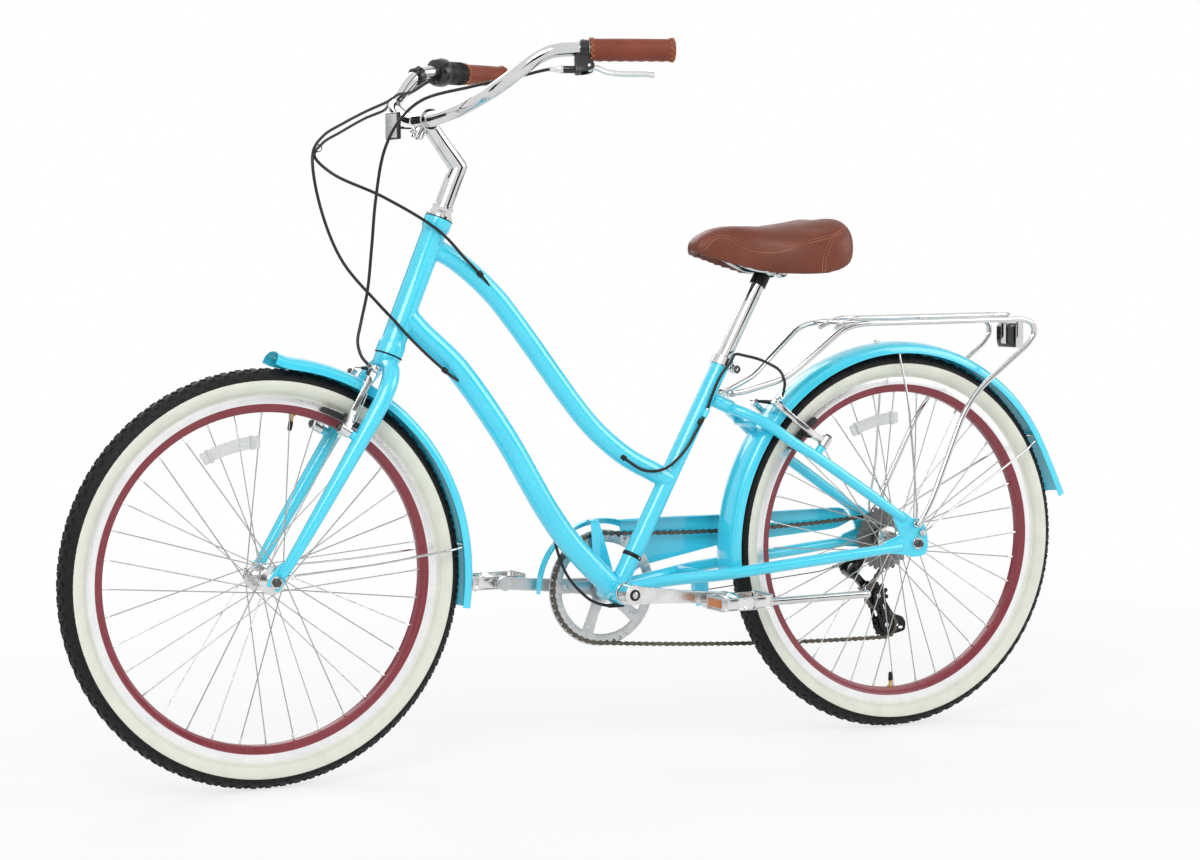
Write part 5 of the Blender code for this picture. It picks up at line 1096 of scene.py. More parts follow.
BAR_HALF = [(890, 0, 1048), (890, 27, 1048), (889.5, 31, 1048), (880, 115, 1059),
            (864, 188, 1080), (852, 207, 1092), (839, 219, 1104), (824, 231, 1118.5),
            (807, 241.5, 1132), (789, 248.8, 1141), (766, 254.8, 1144), (611, 311, 1144)]
bar_half = [at(*p) + BAR_CENTRE - at(890, 0, 1048) for p in BAR_HALF]
BAR_END = bar_half[-1]
BAR_OUT = (bar_half[-1] - bar_half[-2]).normalized()
line = both_sides(smooth(bar_half, 7))
bm = bmesh.new()
# 25.4 mm in the stem, then down to 22.2 mm
tube(bm, line, 12.7, 32, [12.7 - 0.16 * min(max(abs(p.y) - 33, 0), 10) for p in line])
finish("handlebar_tube", bm, CHROME, "steering", "handlebar")


def bar_point(from_end, side):
    """A point of the bar this far from its end, and the way out along it."""
    here = BAR_END - BAR_OUT * from_end
    return at(here.x, side * here.y, here.z), at(BAR_OUT.x, side * BAR_OUT.y, BAR_OUT.z)


bm = bmesh.new()
base = BAR_CENTRE + at(56.5, 0, -11)
block(bm, base + at(-1, 0, 0), X, Y, 3.0, 25, -21.5, 21.5, 1.6, 3)
finish("front_reflector_case", bm, GLOSS_BLACK, "steering")
bm = bmesh.new()
block(bm, base + at(2.6, 0, 0), X, Y, 1.4, 21.5, -18.5, 18.5, 0.8, 3)
finish("front_reflector_lens", bm, CLEAR, "steering", "front_reflector")
bm = bmesh.new()
plate(bm, rounded([(-15, -6), (14.8, -6), (14.8, 6), (-15, 6)], 3), BAR_CENTRE + at(40.2, 0, -14),
      X, Y, -1.2, 1.2, [], 0.4)
ball(bm, BAR_CENTRE + at(40.2, 0, -12.6), 3.6, 0.5)
finish("front_reflector_bracket", bm, BLACK, "steering")

# Grips: leather, with thread laced through both ends and along the underside


def lace_ring(bm, end, out, along, radius, teeth, reach):
    """Thread zigzagging round the grip between two rings."""
    path = []
    for i in range(teeth * 2):
        turn = math.pi * i / teeth
        frame_at = place_axis(end + out * (along + (reach if i % 2 else -reach)), out, Z)
        path.append(frame_at @ Vector((radius * math.cos(turn), radius * math.sin(turn), 0)))
    tube(bm, path, 0.65, 6, closed=True, side=out)


def grip(word, length, side):
    """The hide, its two rings of lacing and the wavy seam underneath."""
    end, out = bar_point(0, side)
    bm = bmesh.new()
    profile = [(0, 3.6), (9, 3.8), (13.4, 3.9), (16.6, 2.9), (18.3, 0.6), (18.5, -1.4), (17.9, -4.0),
               (17.2, -6.5), (17.0, -9), (17.3, -length / 2), (17.0, 9 - length), (17.3, 6 - length),
               (18.3, 3.6 - length), (18.5, 1.8 - length), (18.2, 0.2 - length), (11.4, 0.1 - length),
               (11.4, 0.4), (0, 0.4)]
    lathe(bm, profile, end, out, 56, Z)
    finish("grip_hide_" + word, bm, GRIP_HIDE, "steering", "grip_" + word)
    bm = bmesh.new()
    lace_ring(bm, end, out, -1.2, 18.35, 13, 3.3)
    lace_ring(bm, end, out, 2.4 - length, 18.35, 13, 3.0)
    aside = out.cross(-Z)
    count = round((length - 16) / 8)
    path = []
    for i in range(count * 6 + 1):
        t = i / 6
        lean = 0.36 * math.cos(math.pi * t) + 0.28
        spot = -8 - (length - 16) * i / (count * 6)
        path.append(end + out * spot + (aside * math.sin(lean) - Z * math.cos(lean)) * 17.35)
    tube(bm, path, 0.75, 6)
    finish("grip_lacing_" + word, bm, THREAD, "steering")


LEFT_GRIP = 128.0
RIGHT_GRIP = 94.0
grip("left", LEFT_GRIP, 1)
grip("right", RIGHT_GRIP, -1)

# Twist shifter

twist_at, twist_out = bar_point(RIGHT_GRIP + 21.5, -1)
bm = bmesh.new()
lathe(bm, [(11.5, 20.5), (17.4, 20.5), (18, 19.8), (18.2, 10), (18.5, 2), (19.3, -2), (20, -18.5),
           (19.4, -20.5), (11.5, -20.5)], twist_at, twist_out, 64, Z, ring=True)
rib_at = place_axis(twist_at, twist_out, Z) @ Matrix.Translation((18.6, 0, 2))
blocks_round(bm, (2.4, 1.5, 30), rib_at, twist_at, twist_out, 28, 0.4)
finish("shifter_twist_rubber", bm, BLACK, "shifter_twist", "shifter_twist")
house_at, house_out = bar_point(RIGHT_GRIP + 43, -1)
SHIFT_START = house_at - house_out * 30 + at(0, 7, -17.5)
SHIFT_MOUTH = house_at - house_out * 12 + at(0, 7, -17)
bm = bmesh.new()
lathe(bm, [(11.5, 0), (20.4, 0), (21.4, -0.8), (24, -3.4), (24.5, -6), (24.5, -14), (23.6, -20),
           (21.4, -24.4), (16, -27), (11.5, -27)], house_at, house_out, 56, Z, ring=True)
rod(bm, SHIFT_MOUTH, SHIFT_START, 4.2, 20, 1.0)
washer(bm, SHIFT_START, house_out, 2.6, 4.9, 2, 8, 20, 0.5)
finish("shifter_case", bm, GLOSS_BLACK, "steering", "shifter_housing")

# Brake levers

LEVER_PIN = (6.0, 31.0)


def lever_frame(side):
    """A place on the bar, the ways out and over to the lever, and the way of its pin."""
    if side > 0:
        here, out = bar_point(LEFT_GRIP + 9, 1)
        level = at(out.y, -out.x, 0)
        over = (level * 0.45 - Z * 0.893).normalized()
    else:
        outer, inner = flip([bar_half[9], bar_half[8]])
        here = (outer + inner) / 2
        out = (outer - inner).normalized()
        level = at(-out.y, out.x, 0).normalized()
        over = (level * 0.77 + level.cross(out) * 0.64).normalized()
    return here, out, over, out.cross(over)


def lever_parts(word, side):
    """Clamp, adjuster and blade; gives the cable's first two points."""
    here, out, over, pin = lever_frame(side)

    def spot(a, o, p=0.0):
        """A place this far out along the bar, over to the lever and along the pin."""
        return here + out * a + over * o + pin * p

    bm = bmesh.new()
    washer(bm, here, out, 11.5, 15.6, -7, 7, 48, 1.2, Z)
    for low, high in ((-7.4, -4.6), (4.6, 7.4)):
        plate(bm, rounded([(-10, 12), (7, 12), (7, 19.5), (14, 26), (14, 35), (6, 39), (-4, 41),
                           (-12, 41), (-14, 30)], 4), here, out, over, low, high, [], 0.8, 3)
    plate(bm, rounded([(-16, 12), (-5, 12), (-5, 41), (-16, 42)], 3), here, out, over, -7.2, 7.2, [],
          1.2, 3)
    plate(bm, rounded([(-12, 10), (7, 10), (7, 18.2), (-12, 18.2)], 2.5), here, out, over, -7.2, 7.2,
          [], 1.0, 3)
    rod(bm, spot(-10, 35), spot(-34, 35), 5.8, 28, 1.0)
    socket_bolt(bm, spot(-1, -13.5, 0), -over, 4.2, 4.0)
    finish("brake_lever_clamp_" + word, bm, GLOSS_BLACK, "steering", "brake_bracket_" + word)
    bm = bmesh.new()
    rod(bm, spot(*LEVER_PIN, -7.9), spot(*LEVER_PIN, 7.9), 2.6, 20, 0.6)
    lathe(bm, [(2.6, 34.2), (5.8, 34.2), (5.8, 38), (5.2, 38.6), (4.6, 42.4), (4.6, 45.4),
               (4.1, 46), (2.6, 46)], spot(0, 35), -out, 24, ring=True)
    rib_at = place_axis(spot(-36.1, 35), out) @ Matrix.Translation((5.7, 0, 0))
    blocks_round(bm, (0.9, 0.8, 3.4), rib_at, spot(0, 35), out, 16)
    finish("barrel_adjuster_" + word, bm, POLISHED, "steering")
    bm = bmesh.new()
    blade = smooth([spot(*p) for p in ((12, 31.5), (20, 33.2), (32, 39.2), (46, 42), (60, 43), (78, 43),
                                       (92, 43), (101, 44.3))], 4)
    sweep(bm, blade, slab(4, 3.6, 2.4), side=pin,
          scales=taper(blade, ((0, 1.0), (0.2, 0.98), (0.6, 1.0), (1, 0.92))))
    ball(bm, spot(102.4, 44.6), 4.6, 1.0)
    plate(bm, rounded([(-1.5, 33), (-1, 26), (6, 23.5), (13, 27), (16, 30), (13, 35), (6, 38)], 2.4),
          here, out, over, -3.9, 3.9, [hole_at(*LEVER_PIN, 2.9, 20)], 0.9, 3)
    finish("brake_lever_blade_" + word, bm, POLISHED, "brake_lever_" + word, "brake_lever_" + word)
    return [spot(-46.3, 35), spot(-56, 35)]


left_start = lever_parts("left", 1)
right_start = lever_parts("right", -1)

# Brake arms with pads

PAD_R = 280.0


def brake_arm(name, word, side):
    """Arm, bolts, pad and return spring; side is 1 on the left."""
    pivot, up, out = brake_frame(name)
    hub = REAR_HUB if name == "rear" else FRONT_HUB
    body = name + "_brake_arm_" + word
    low = at(pivot.x, 0, pivot.z)
    outline = rounded([(54.5, -5.5), (66.5, -6), (68, 5), (62, 17), (53, 33), (49, 60), (48, 92),
                       (43.5, 107), (35, 107.5), (34.5, 100), (37.5, 88), (38.8, 50), (39.5, 25),
                       (45, 14), (51.5, 4)], 5, 3)
    bm = bmesh.new()
    plate(bm, [(side * a, b) for a, b in outline], low, Y, up, -4.9, 4.9, [], 1.6, 3)
    centre = at(pivot.x, side * pivot.y, pivot.z)
    washer(bm, centre, out, 4.4, 9, -9.6, 9.6, 40, 0.9)
    finish(body + "_alloy", bm, POLISHED, body, body)
    bm = bmesh.new()
    lathe(bm, [(0, 9.6), (6.4, 9.6), (6.4, 11.4), (5.6, 13.6), (3.4, 14.6), (3.2, 12.2), (0, 12.2)],
          centre, out, 24)
    outward = (low + up * 22 - hub).normalized()
    pad_at = hub + outward * PAD_R
    nut_at = pad_at + Y * side * 45.6
    rod(bm, pad_at + Y * side * 24, pad_at + Y * side * 53, 3.6, 20, 0.6)
    lathe(bm, [(0, 0), (7.6, 0), (7.6, 1.4), (0, 1.4)], nut_at, Y * side, 28)
    lathe(bm, [(0, 1.4), (5.8, 1.4), (5.8, 6), (4.8, 7), (0, 7)], nut_at, Y * side, 6)
    lathe(bm, [(0, 0), (8, 0), (7, -3.4), (0, -3.4)], pad_at + Y * side * 37.5, Y * side, 28)
    anchor = low + Y * side * 39.5 + up * 101
    socket_bolt(bm, anchor + out * 4.6, out, 4.6, 4.4)
    finish(body + "_bolts", bm, DARK_STEEL, body)
    bm = bmesh.new()
    run = at(-outward.z, 0, outward.x)
    line = []
    for i in range(15):
        turn = (i - 7) / 7 * 35 / PAD_R
        line.append(hub + (outward * math.cos(turn) + run * math.sin(turn)) * PAD_R + Y * side * 18.6)
    sweep(bm, line, slab(4.8, 4.6, 1.4, 3), side=Y, scales=[0.86] + [1.0] * 13 + [0.86])
    finish(body + "_pad", bm, BRAKE_RUBBER, body)
    bm = bmesh.new()
    spring = smooth([centre + up * 10 - out * 6, low + Y * side * 64 + up * 24 - out * 6.4,
                     low + Y * side * 57.5 + up * 44 - out * 6.4,
                     low + Y * side * 50.6 + up * 70 - out * 6.0], 5)
    tube(bm, spring, 1.0, 8)
    finish(body + "_spring", bm, ZINC, body)


for name in ("front", "rear"):
    for word, side in (("left", 1), ("right", -1)):
        brake_arm(name, word, side)

# Wheels

TYRE = [(280.6, 9.4), (284, 10.4), (288, 12.6), (292, 16.4), (297, 20.4), (303, 23.0), (308.5, 23.9),
        (313.5, 23.2), (318, 20.6), (322.4, 16.2), (325.8, 11), (327.8, 5.5), (328.4, 0)]
TYRE_INSIDE = [(318, 0), (317, 8), (312, 15), (304, 18), (296, 16), (288, 10), (281, 7.4)]
RIM = [(261.0, 5), (261.8, 7.4), (264, 9.0), (268.5, 10.0), (273.6, 10.8), (274.4, 11.4),
       (286.4, 12), (287.1, 11.7), (287.1, 10.7), (284.2, 10.4), (282.6, 9.2), (279.8, 8.8), (277.6, 6)]
# Tread blocks: place across, radius, tilt, twist, size, and the phases on the left and the right
LUG_COUNT = 84
LUGS = ((4.6, 328.2, 0.22, 0.5, (3.4, 10.5, 2.2), 0.0, 0.5),
        (12.4, 325.0, 0.62, -0.55, (4.0, 9.5, 2.2), 0.5, 0.0),
        (20.0, 318.4, 1.02, 0.5, (4.6, 10.0, 2.0), 0.0, 0.5),
        (22.9, 314.0, 1.34, 0.85, (2.6, 7.6, 1.5), 0.2, 0.7),
        (22.9, 314.0, 1.34, -0.85, (2.6, 7.6, 1.5), 0.7, 0.2))
SPOKE_COUNT = 36


def mirrored(profile):
    """A profile that ends in the middle plane, with its mirror image."""
    return profile + [(r, -y) for r, y in reversed(profile[:-1])]


def tread(bm, hub):
    """The tyre's rings of blocks."""
    for side in (1, -1):
        for y, radius, tilt, twist, size, left_phase, right_phase in LUGS:
            turn = 2 * math.pi * (left_phase if side > 0 else right_phase) / LUG_COUNT
            out = at(math.cos(turn), 0, math.sin(turn))
            along = at(-math.sin(turn), 0, math.cos(turn))
            across = Y * math.cos(side * tilt) - out * math.sin(side * tilt)
            u = across * math.cos(side * twist) - along * math.sin(side * twist)
            v = along * math.cos(side * twist) + across * math.sin(side * twist)
            where = place(hub + out * radius + Y * (side * y), u, v)
            blocks_round(bm, size, where, hub, Y, LUG_COUNT)


def wheel(word, hub, flanges, hub_profile, valve_turn, reflector_turn):
    """A whole wheel; flanges holds the left and the right flange's (y, radius)."""
    body = word + "_wheel"
    bm = bmesh.new()
    inside = [(r, -y) for r, y in reversed(TYRE_INSIDE)] + TYRE_INSIDE[1:]
    lathe(bm, mirrored(TYRE) + inside, hub, Y, 144, ring=True)
    tread(bm, hub)
    finish(word + "_tyre_rubber", bm, tyre_coat(word + "_tyre_rubber", hub), body, word + "_tyre")
    bm = bmesh.new()
    lathe(bm, RIM + [(r, -y) for r, y in reversed(RIM)], hub, Y, 144, ring=True)
    finish(word + "_rim_enamel", bm, rim_coat(word + "_rim_enamel", hub), body, word + "_rim")
    bm = bmesh.new()
    lathe(bm, hub_profile, hub, Y, 56, ring=True)
    finish(word + "_hub_shell", bm, POLISHED, body, word + "_hub")
    wires = bmesh.new()
    nipples = bmesh.new()
    for k in range(SPOKE_COUNT):
        flange_y, flange_r = flanges[k % 2]
        way = 1 if (k // 2) % 2 == 0 else -1
        lift = 1.3 * way
        rim_turn = 360 / SPOKE_COUNT * k
        hub_turn = rim_turn - 58 * way
        start = around(hub, hub_turn, flange_r - 2.4, flange_y + lift * 1.2)
        bend = around(hub, hub_turn + 2 * way, flange_r - 1.2, flange_y + lift * 1.5)
        end = around(hub, rim_turn, 261.2, flange_y * 0.05)
        tube(wires, [start - Y * lift, start, bend, end], 1.0, 8)
        ball(wires, start - Y * lift * 1.6, 1.9, 0.5, Y)
        back = (bend - end).normalized()
        lathe(nipples, [(0, 0), (2.1, 0), (2.1, 5), (1.6, 11), (0, 11)], end - back * 0.5, back, 8)
    finish(word + "_spokes", wires, ZINC, body)
    finish(word + "_spoke_nipples", nipples, POLISHED, body)
    bm = bmesh.new()
    foot = around(hub, valve_turn, 262)
    inward = (hub - foot).normalized()
    lathe(bm, [(0, -1), (3.1, -1), (3.1, 12), (0, 12)], foot, inward, 16)
    lathe(bm, [(2, 1), (5.4, 1), (5.4, 3.4), (2, 3.4)], foot, inward, 6, ring=True)
    finish(word + "_valve", bm, BRASS, body)
    bm = bmesh.new()
    lathe(bm, [(0, 12), (3.5, 12), (3.9, 13), (3.9, 21), (3.4, 26), (2.6, 27), (0, 27)], foot, inward,
          16)
    finish(word + "_valve_cap", bm, BLACK, body)
    # The reflector clipped between two spokes
    arc = [around(hub, reflector_turn + a, 226) for a in range(-13, 14, 2)]
    back = [around(hub, reflector_turn - a, 206) for a in range(-13, 14, 2)]
    outline = rounded([(p.x - hub.x, p.z - hub.z) for p in arc + back], 6, 3)
    bm = bmesh.new()
    plate(bm, outline, at(hub.x, 9.5, hub.z), X, Z, -2.2, 2.2, [], 1.2, 3)
    for turn in (-9.5, 9.5):
        tip = around(hub, reflector_turn + turn, 216, 9.5)
        block(bm, tip, tip - hub - Y * 9.5, Y, 11.5, 4.2, -2.6, 2.6, 0.8, 2)
    finish(word + "_spoke_reflector", bm, SPOKE_LENS, body)


FRONT_HUB_SHAPE = mirrored([(5, -49.6), (9.6, -49.6), (10, -49.2), (10, -39.6), (11.5, -38.6),
                            (20.8, -37.6), (22, -36.8), (22, -33.2), (20.8, -32.5), (14.5, -31.5),
                            (12.2, -28.5), (11.4, -15), (11.2, 0)])
wheel("front", FRONT_HUB, ((35, 22), (-35, 22)), FRONT_HUB_SHAPE, 101.0, 75.0)
REAR_HUB_SHAPE = [(5.2, -67.4), (9.6, -67.4), (10, -67), (11.2, -64.8), (11.2, -26.4), (20.8, -23),
                  (22, -22.2), (22, -18.8), (20.8, -17.8), (14, -15.5), (12.6, -12), (12.2, 5),
                  (12.6, 25), (14.5, 29.5), (20.8, 31.5), (22, 32.2), (22, 35.8), (20.8, 36.5),
                  (12.5, 37.6), (10.8, 39), (10, 42), (10, 67), (9.6, 67.4), (5.2, 67.4)]
wheel("rear", REAR_HUB, ((34, 22), (-20.5, 22)), REAR_HUB_SHAPE, -88.2, 77.0)

# Drive: the chain's path round chainring, sprocket and the two pulleys

CHAIN_Y = -47.0
PITCH = 12.7
LINK_END = 3.9
GUIDE_AT = at(6, CHAIN_Y, 226)
CAGE_LONG = 56.0
HANGER_EYE = at(-4, 0, 300)
LINK_TOP = at(47, -63, 268)
LINK_LOW = at(21, -63, 241)
# How far each free run hangs, after the sprocket, upper pulley, lower pulley and chainring
RUN_SAGS = (0.0, 0.0, 6.0, 10.0)
# Points on each arc and on each free run of the chain's path
ARC_STEPS = 60
RUN_STEPS = 40


class Cog:
    """A toothed wheel in the chain's plane; way is 1 if the chain goes round it anticlockwise."""

    def __init__(self, x, z, teeth, way):
        self.place = Vector((x, z))
        self.teeth = teeth
        self.way = way
        self.radius = PITCH / (2 * math.sin(math.pi / teeth))

    def spot(self, turn):
        """The place on its pitch circle."""
        return self.place + Vector((math.cos(turn), math.sin(turn))) * self.radius


def drive_line(cage_angle):
    """The chain's path for one angle of the cage: (place, distance in pitches), arcs, length."""
    tension = Cog(GUIDE_AT.x + CAGE_LONG * math.cos(cage_angle),
                  GUIDE_AT.z + CAGE_LONG * math.sin(cage_angle), 11, 1)
    cogs = [Cog(0, WHEEL_R, 20, 1), Cog(GUIDE_AT.x, GUIDE_AT.z, 11, -1), tension,
            Cog(BB.x, BB.z, 46, 1)]
    leaving = []
    arriving = [0.0] * 4
    for i, cog in enumerate(cogs):
        after = cogs[(i + 1) % 4]
        span = after.place - cog.place
        lean = math.asin((after.way * after.radius - cog.way * cog.radius) / span.length)
        run = math.atan2(span.y, span.x) - lean
        droop = math.atan(4 * RUN_SAGS[i] / span.length) * (1 if math.cos(run) > 0 else -1)
        leaving.append(run - droop)
        arriving[(i + 1) % 4] = run + droop
    line = []
    arcs = []
    travelled = 0.0
    for i, cog in enumerate(cogs):
        start = arriving[i] - cog.way * math.pi / 2
        wrap = ((leaving[i] - arriving[i]) * cog.way) % (2 * math.pi)
        arcs.append((cog, start, travelled))
        for k in range(ARC_STEPS + 1):
            turn = wrap * k / ARC_STEPS
            line.append((cog.spot(start + cog.way * turn), travelled + turn * cog.teeth / (2 * math.pi)))
        travelled = line[-1][1]
        turn = arriving[(i + 1) % 4]
        after = cogs[(i + 1) % 4]
        p, q = line[-1][0], after.spot(turn - after.way * math.pi / 2)
        reach = (q - p).length / 3
        a = p + Vector((math.cos(leaving[i]), math.sin(leaving[i]))) * reach
        b = q - Vector((math.cos(turn), math.sin(turn))) * reach
        here = p
        for k in range(1, RUN_STEPS + 1):
            t = k / RUN_STEPS
            there = (p * (1 - t) ** 3 + a * 3 * t * (1 - t) ** 2 + b * 3 * t * t * (1 - t) + q * t ** 3)
            travelled += (there - here).length / PITCH
            line.append((there, travelled))
            here = there
    return line, arcs, travelled, tension


low, high = math.radians(-130), math.radians(-75)
LINKS = 2 * round(drive_line(math.radians(-105))[2] / 2)
rising = drive_line(high)[2] > drive_line(low)[2]
for _ in range(60):
    cage_angle = (low + high) / 2
    if (drive_line(cage_angle)[2] > LINKS) == rising:
        high = cage_angle
    else:
        low = cage_angle
chain_line, chain_arcs, chain_length, tension_cog = drive_line(cage_angle)


def chain_spot(count):
    """The place on the path this many pitches along it."""
    count %= chain_length
    for (p, d0), (q, d1) in zip(chain_line, chain_line[1:]):
        if d0 <= count <= d1 and d1 > d0:
            return p.lerp(q, (count - d0) / (d1 - d0))
    return chain_line[-1][0]


def tooth_phase(arc):
    """The turn of a cog's gap that meets one of the chain's pins."""
    cog, start, travelled = arc
    return start + cog.way * (math.ceil(travelled) - travelled) * 2 * math.pi / cog.teeth


def toothed(teeth, phase, centre, height=4.3):
    """A sprocket's outline, with a rounded gap for a roller at the phase."""
    pitch = PITCH / (2 * math.sin(math.pi / teeth))
    step = math.pi / teeth
    outline = []
    for k in range(teeth):
        gap = phase + 2 * step * k
        for part, r in ((-0.36, pitch - 1.6), (-0.18, pitch - 3.6), (0, pitch - 4.15),
                        (0.18, pitch - 3.6), (0.36, pitch - 1.6), (0.62, pitch + height * 0.5),
                        (0.86, pitch + height - 0.9), (1.14, pitch + height - 0.9),
                        (1.38, pitch + height * 0.5)):
            turn = gap + part * step
            outline.append((centre.x + r * math.cos(turn), centre.z + r * math.sin(turn)))
    return outline


def add_flat(bm, outline, y, half, holes, bevel=0.0):
    """A flat piece across the bicycle at this y, with this half thickness."""
    plate(bm, outline, at(0, y, 0), X, Z, -half, half, holes, bevel, 2)


# Four lengths of chain: round sprocket and chainring, down to the upper pulley, on the pulleys,
# and from the lower pulley to the chainring.
leaves_sprocket, meets_pulley = chain_line[ARC_STEPS][1], chain_arcs[1][2]
leaves_pulley = chain_line[2 * (ARC_STEPS + 1 + RUN_STEPS) + ARC_STEPS][1]
meets_chainring = chain_arcs[3][2]
chain_lengths = {name: bmesh.new() for name in ("links", "drop_links", "pulley_links", "return_links")}
pins = [chain_spot(k) for k in range(LINKS)]
for k, here in enumerate(pins):
    there = pins[(k + 1) % LINKS]
    if leaves_sprocket <= k < meets_pulley:
        bm = chain_lengths["drop_links"]
    elif meets_pulley <= k < leaves_pulley - 0.5:
        bm = chain_lengths["pulley_links"]
    elif leaves_pulley - 0.5 <= k < meets_chainring:
        bm = chain_lengths["return_links"]
    else:
        bm = chain_lengths["links"]
    u = at(there.x - here.x, 0, there.y - here.y)
    long = u.length
    v = u.normalized().cross(Y)
    shape = []
    for x, first, waist in ((0, math.pi / 2, -2.1), (long, -math.pi / 2, 2.1)):
        turns = [first + math.pi * i / 4 for i in range(5)]
        shape += [(x + LINK_END * math.cos(t), LINK_END * math.sin(t)) for t in turns]
        shape.append((long / 2, waist))
    start = at(here.x, CHAIN_Y, here.y)
    for side in (1, -1):
        y = side * (2.75 if k % 2 else 1.85)
        plate(bm, shape, start, u, v, y - 0.38, y + 0.38, [], 0.0)
    lathe(bm, [(0, -3.5), (1.6, -3.5), (2.0, -3.2), (2.0, 3.2), (1.6, 3.5), (0, 3.5)], start, Y, 8)
    lathe(bm, [(1.9, -1.4), (3.8, -1.4), (3.8, 1.4), (1.9, 1.4)], start, Y, 12, ring=True)
for name, body in (("links", "frame"), ("pulley_links", "derailleur_cage")):
    finish("chain_" + name, chain_lengths[name], CHAIN_STEEL, body, "chain")
LINK_ARM = LINK_LOW - LINK_TOP
for name, fixed, moving in (("drop_links", leaves_sprocket, meets_pulley),
                            ("return_links", meets_chainring, leaves_pulley)):
    piece = finish("chain_" + name, chain_lengths[name], CHAIN_STEEL, None, "chain")
    fixed, moving = (at(p.x, CHAIN_Y, p.y) for p in (chain_spot(fixed), chain_spot(moving)))
    reach = (moving - LINK_TOP).dot(LINK_ARM) / LINK_ARM.length_squared
    share = min(1 / reach, 0.98)
    along = 0.5 - math.sin(math.asin(1 - 2 * share) / 3)
    end = fixed + (moving - fixed) / along
    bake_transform(piece)

# Chainring, cranks and pedals

CRANK_TURN = 5.0
bm = bmesh.new()
windows = []
for k in range(5):
    centre = 72 * k + 36 + CRANK_TURN
    outer = [around(BB, centre + a, 78) for a in range(-29, 30, 4)]
    inner = [around(BB, centre + a, r) for a, r in ((24, 44), (12, 27), (0, 25), (-12, 27), (-24, 44))]
    windows.append(rounded(flat(outer + inner), 4, 2))
hole = hole_at(BB.x, BB.z, 16, 32)
add_flat(bm, toothed(46, tooth_phase(chain_arcs[3]), BB), CHAIN_Y, 1.1, windows + [hole], 0.35)
for k in range(5):
    spot = around(BB, 72 * k + CRANK_TURN, 70.5, CHAIN_Y)
    for side in (1, -1):
        lathe(bm, [(0, 0.8), (4.0, 0.8), (4.0, 1.5), (2.8, 2.4), (0, 2.7)], spot, Y * side, 18)
finish("chainring_disc", bm, SATIN, "crankset", "chainring")
bm = bmesh.new()
rim = [around(BB, a * 3.0, 98.5) for a in range(120)]
bore = [around(BB, a * 3.0, 80.5) for a in range(120)]
add_flat(bm, flat(rim), CHAIN_Y - 5.0, 0.6, [flat(bore)], 0.3)
for k in range(5):
    middle = 72 * k + CRANK_TURN
    tab = [around(BB, middle + a, r) for a, r in ((-5, 81.5), (5, 81.5), (4, 66), (-4, 66))]
    add_flat(bm, rounded(flat(tab), 3), CHAIN_Y - 5.0, 0.6, [], 0.2)
    rod(bm, around(BB, middle, 70.5, CHAIN_Y - 5.6), around(BB, middle, 70.5, CHAIN_Y + 1.8), 2.6, 16)
finish("chainring_guard_disc", bm, SATIN, "crankset")

CRANK_WAY = at(math.cos(math.radians(CRANK_TURN)), 0, math.sin(math.radians(CRANK_TURN)))


def crank(word, side, inner_y, outer_y, cap_y, eye, coat):
    """An arm from the axle out to the pedal's eye; eye is (inner face, edge, outer face)."""
    end = BB + CRANK_WAY * (-side) * CRANK
    low, edge, high = eye
    start = BB + Y * side * inner_y
    last = end + Y * side * outer_y
    path = [start.lerp(last, t / 20) for t in range(21)]
    bm = bmesh.new()
    outline = rounded([(-6, -13.5), (-4.5, -15), (0, -15.9), (5.4, -14.6), (6, -13.6), (6, 13.6),
                       (5.4, 14.6), (0, 15.9), (-4.5, 15), (-6, 13.5)], 1.6, 3)
    sweep(bm, path, outline, side=Y, scales=taper(path, ((0, 0.98), (0.12, 0.94), (0.3, 0.80),
                                                         (0.5, 0.72), (0.93, 0.66), (1, 0.66))))
    if side > 0:
        lathe(bm, [(9, 40.3), (16.2, 40.3), (16.8, 41), (17, 62), (16.8, 69), (15.8, 70), (9, 70)],
              BB, Y, 44, ring=True)
    else:
        lathe(bm, [(0, 41.3), (15.4, 41.3), (15.7, 41.7), (15.7, 76.8), (14.6, 78), (0, 78)], BB, -Y, 44)
        rod(bm, BB - Y * 50, BB + Y * 62, 8.4, 24)
    lathe(bm, [(0, low), (11.2, low), (12, edge), (12, high - 0.8), (11.2, high), (0, high)], end,
          Y * side, 36)
    finish("crank_arm_" + word, bm, coat, "crankset", "crank_" + word)
    bm = bmesh.new()
    seat_at = BB + Y * side * cap_y
    lathe(bm, [(6.0, -1), (9.4, -1), (9.4, 0.5), (8.9, 0.9), (6.0, 0.9)], seat_at, Y * side, 40,
          ring=True)
    finish("crank_dust_ring_" + word, bm, BLACK, "crankset")
    bm = bmesh.new()
    hex_bolt(bm, seat_at, Y * side, 9.4, 1.6)
    lathe(bm, [(0, 0), (7.4, 0), (7.4, 1.6), (6.6, 2.2), (0, 2.2)], end + Y * side * high, Y * side, 6)
    rod(bm, end + Y * side * 70, end + Y * side * 148, 5.3, 20, 1.0)
    finish("crank_bolts_" + word, bm, SATIN, "crankset", slot="steel")
    return end


left_end = crank("left", 1, 64, 71, 70, (65.5, 66.4, 77), POLISHED)
right_end = crank("right", -1, 72, 75, 78, (69, 70, 81), SATIN)

bm = bmesh.new()
for side in (1, -1):
    lathe(bm, [(9, 34.3), (17.6, 34.3), (18.4, 35), (18.4, 37.4), (17.2, 38.6), (9, 38.6)], BB,
          Y * side, 48, ring=True)
finish("bottom_bracket_cups", bm, CHROME, "frame")
bm = bmesh.new()
lathe(bm, [(9, 38.3), (14.6, 38.3), (14.6, 39.6), (9, 39.6)], BB, Y, 40, ring=True)
finish("bottom_bracket_seal", bm, BLACK, "frame")


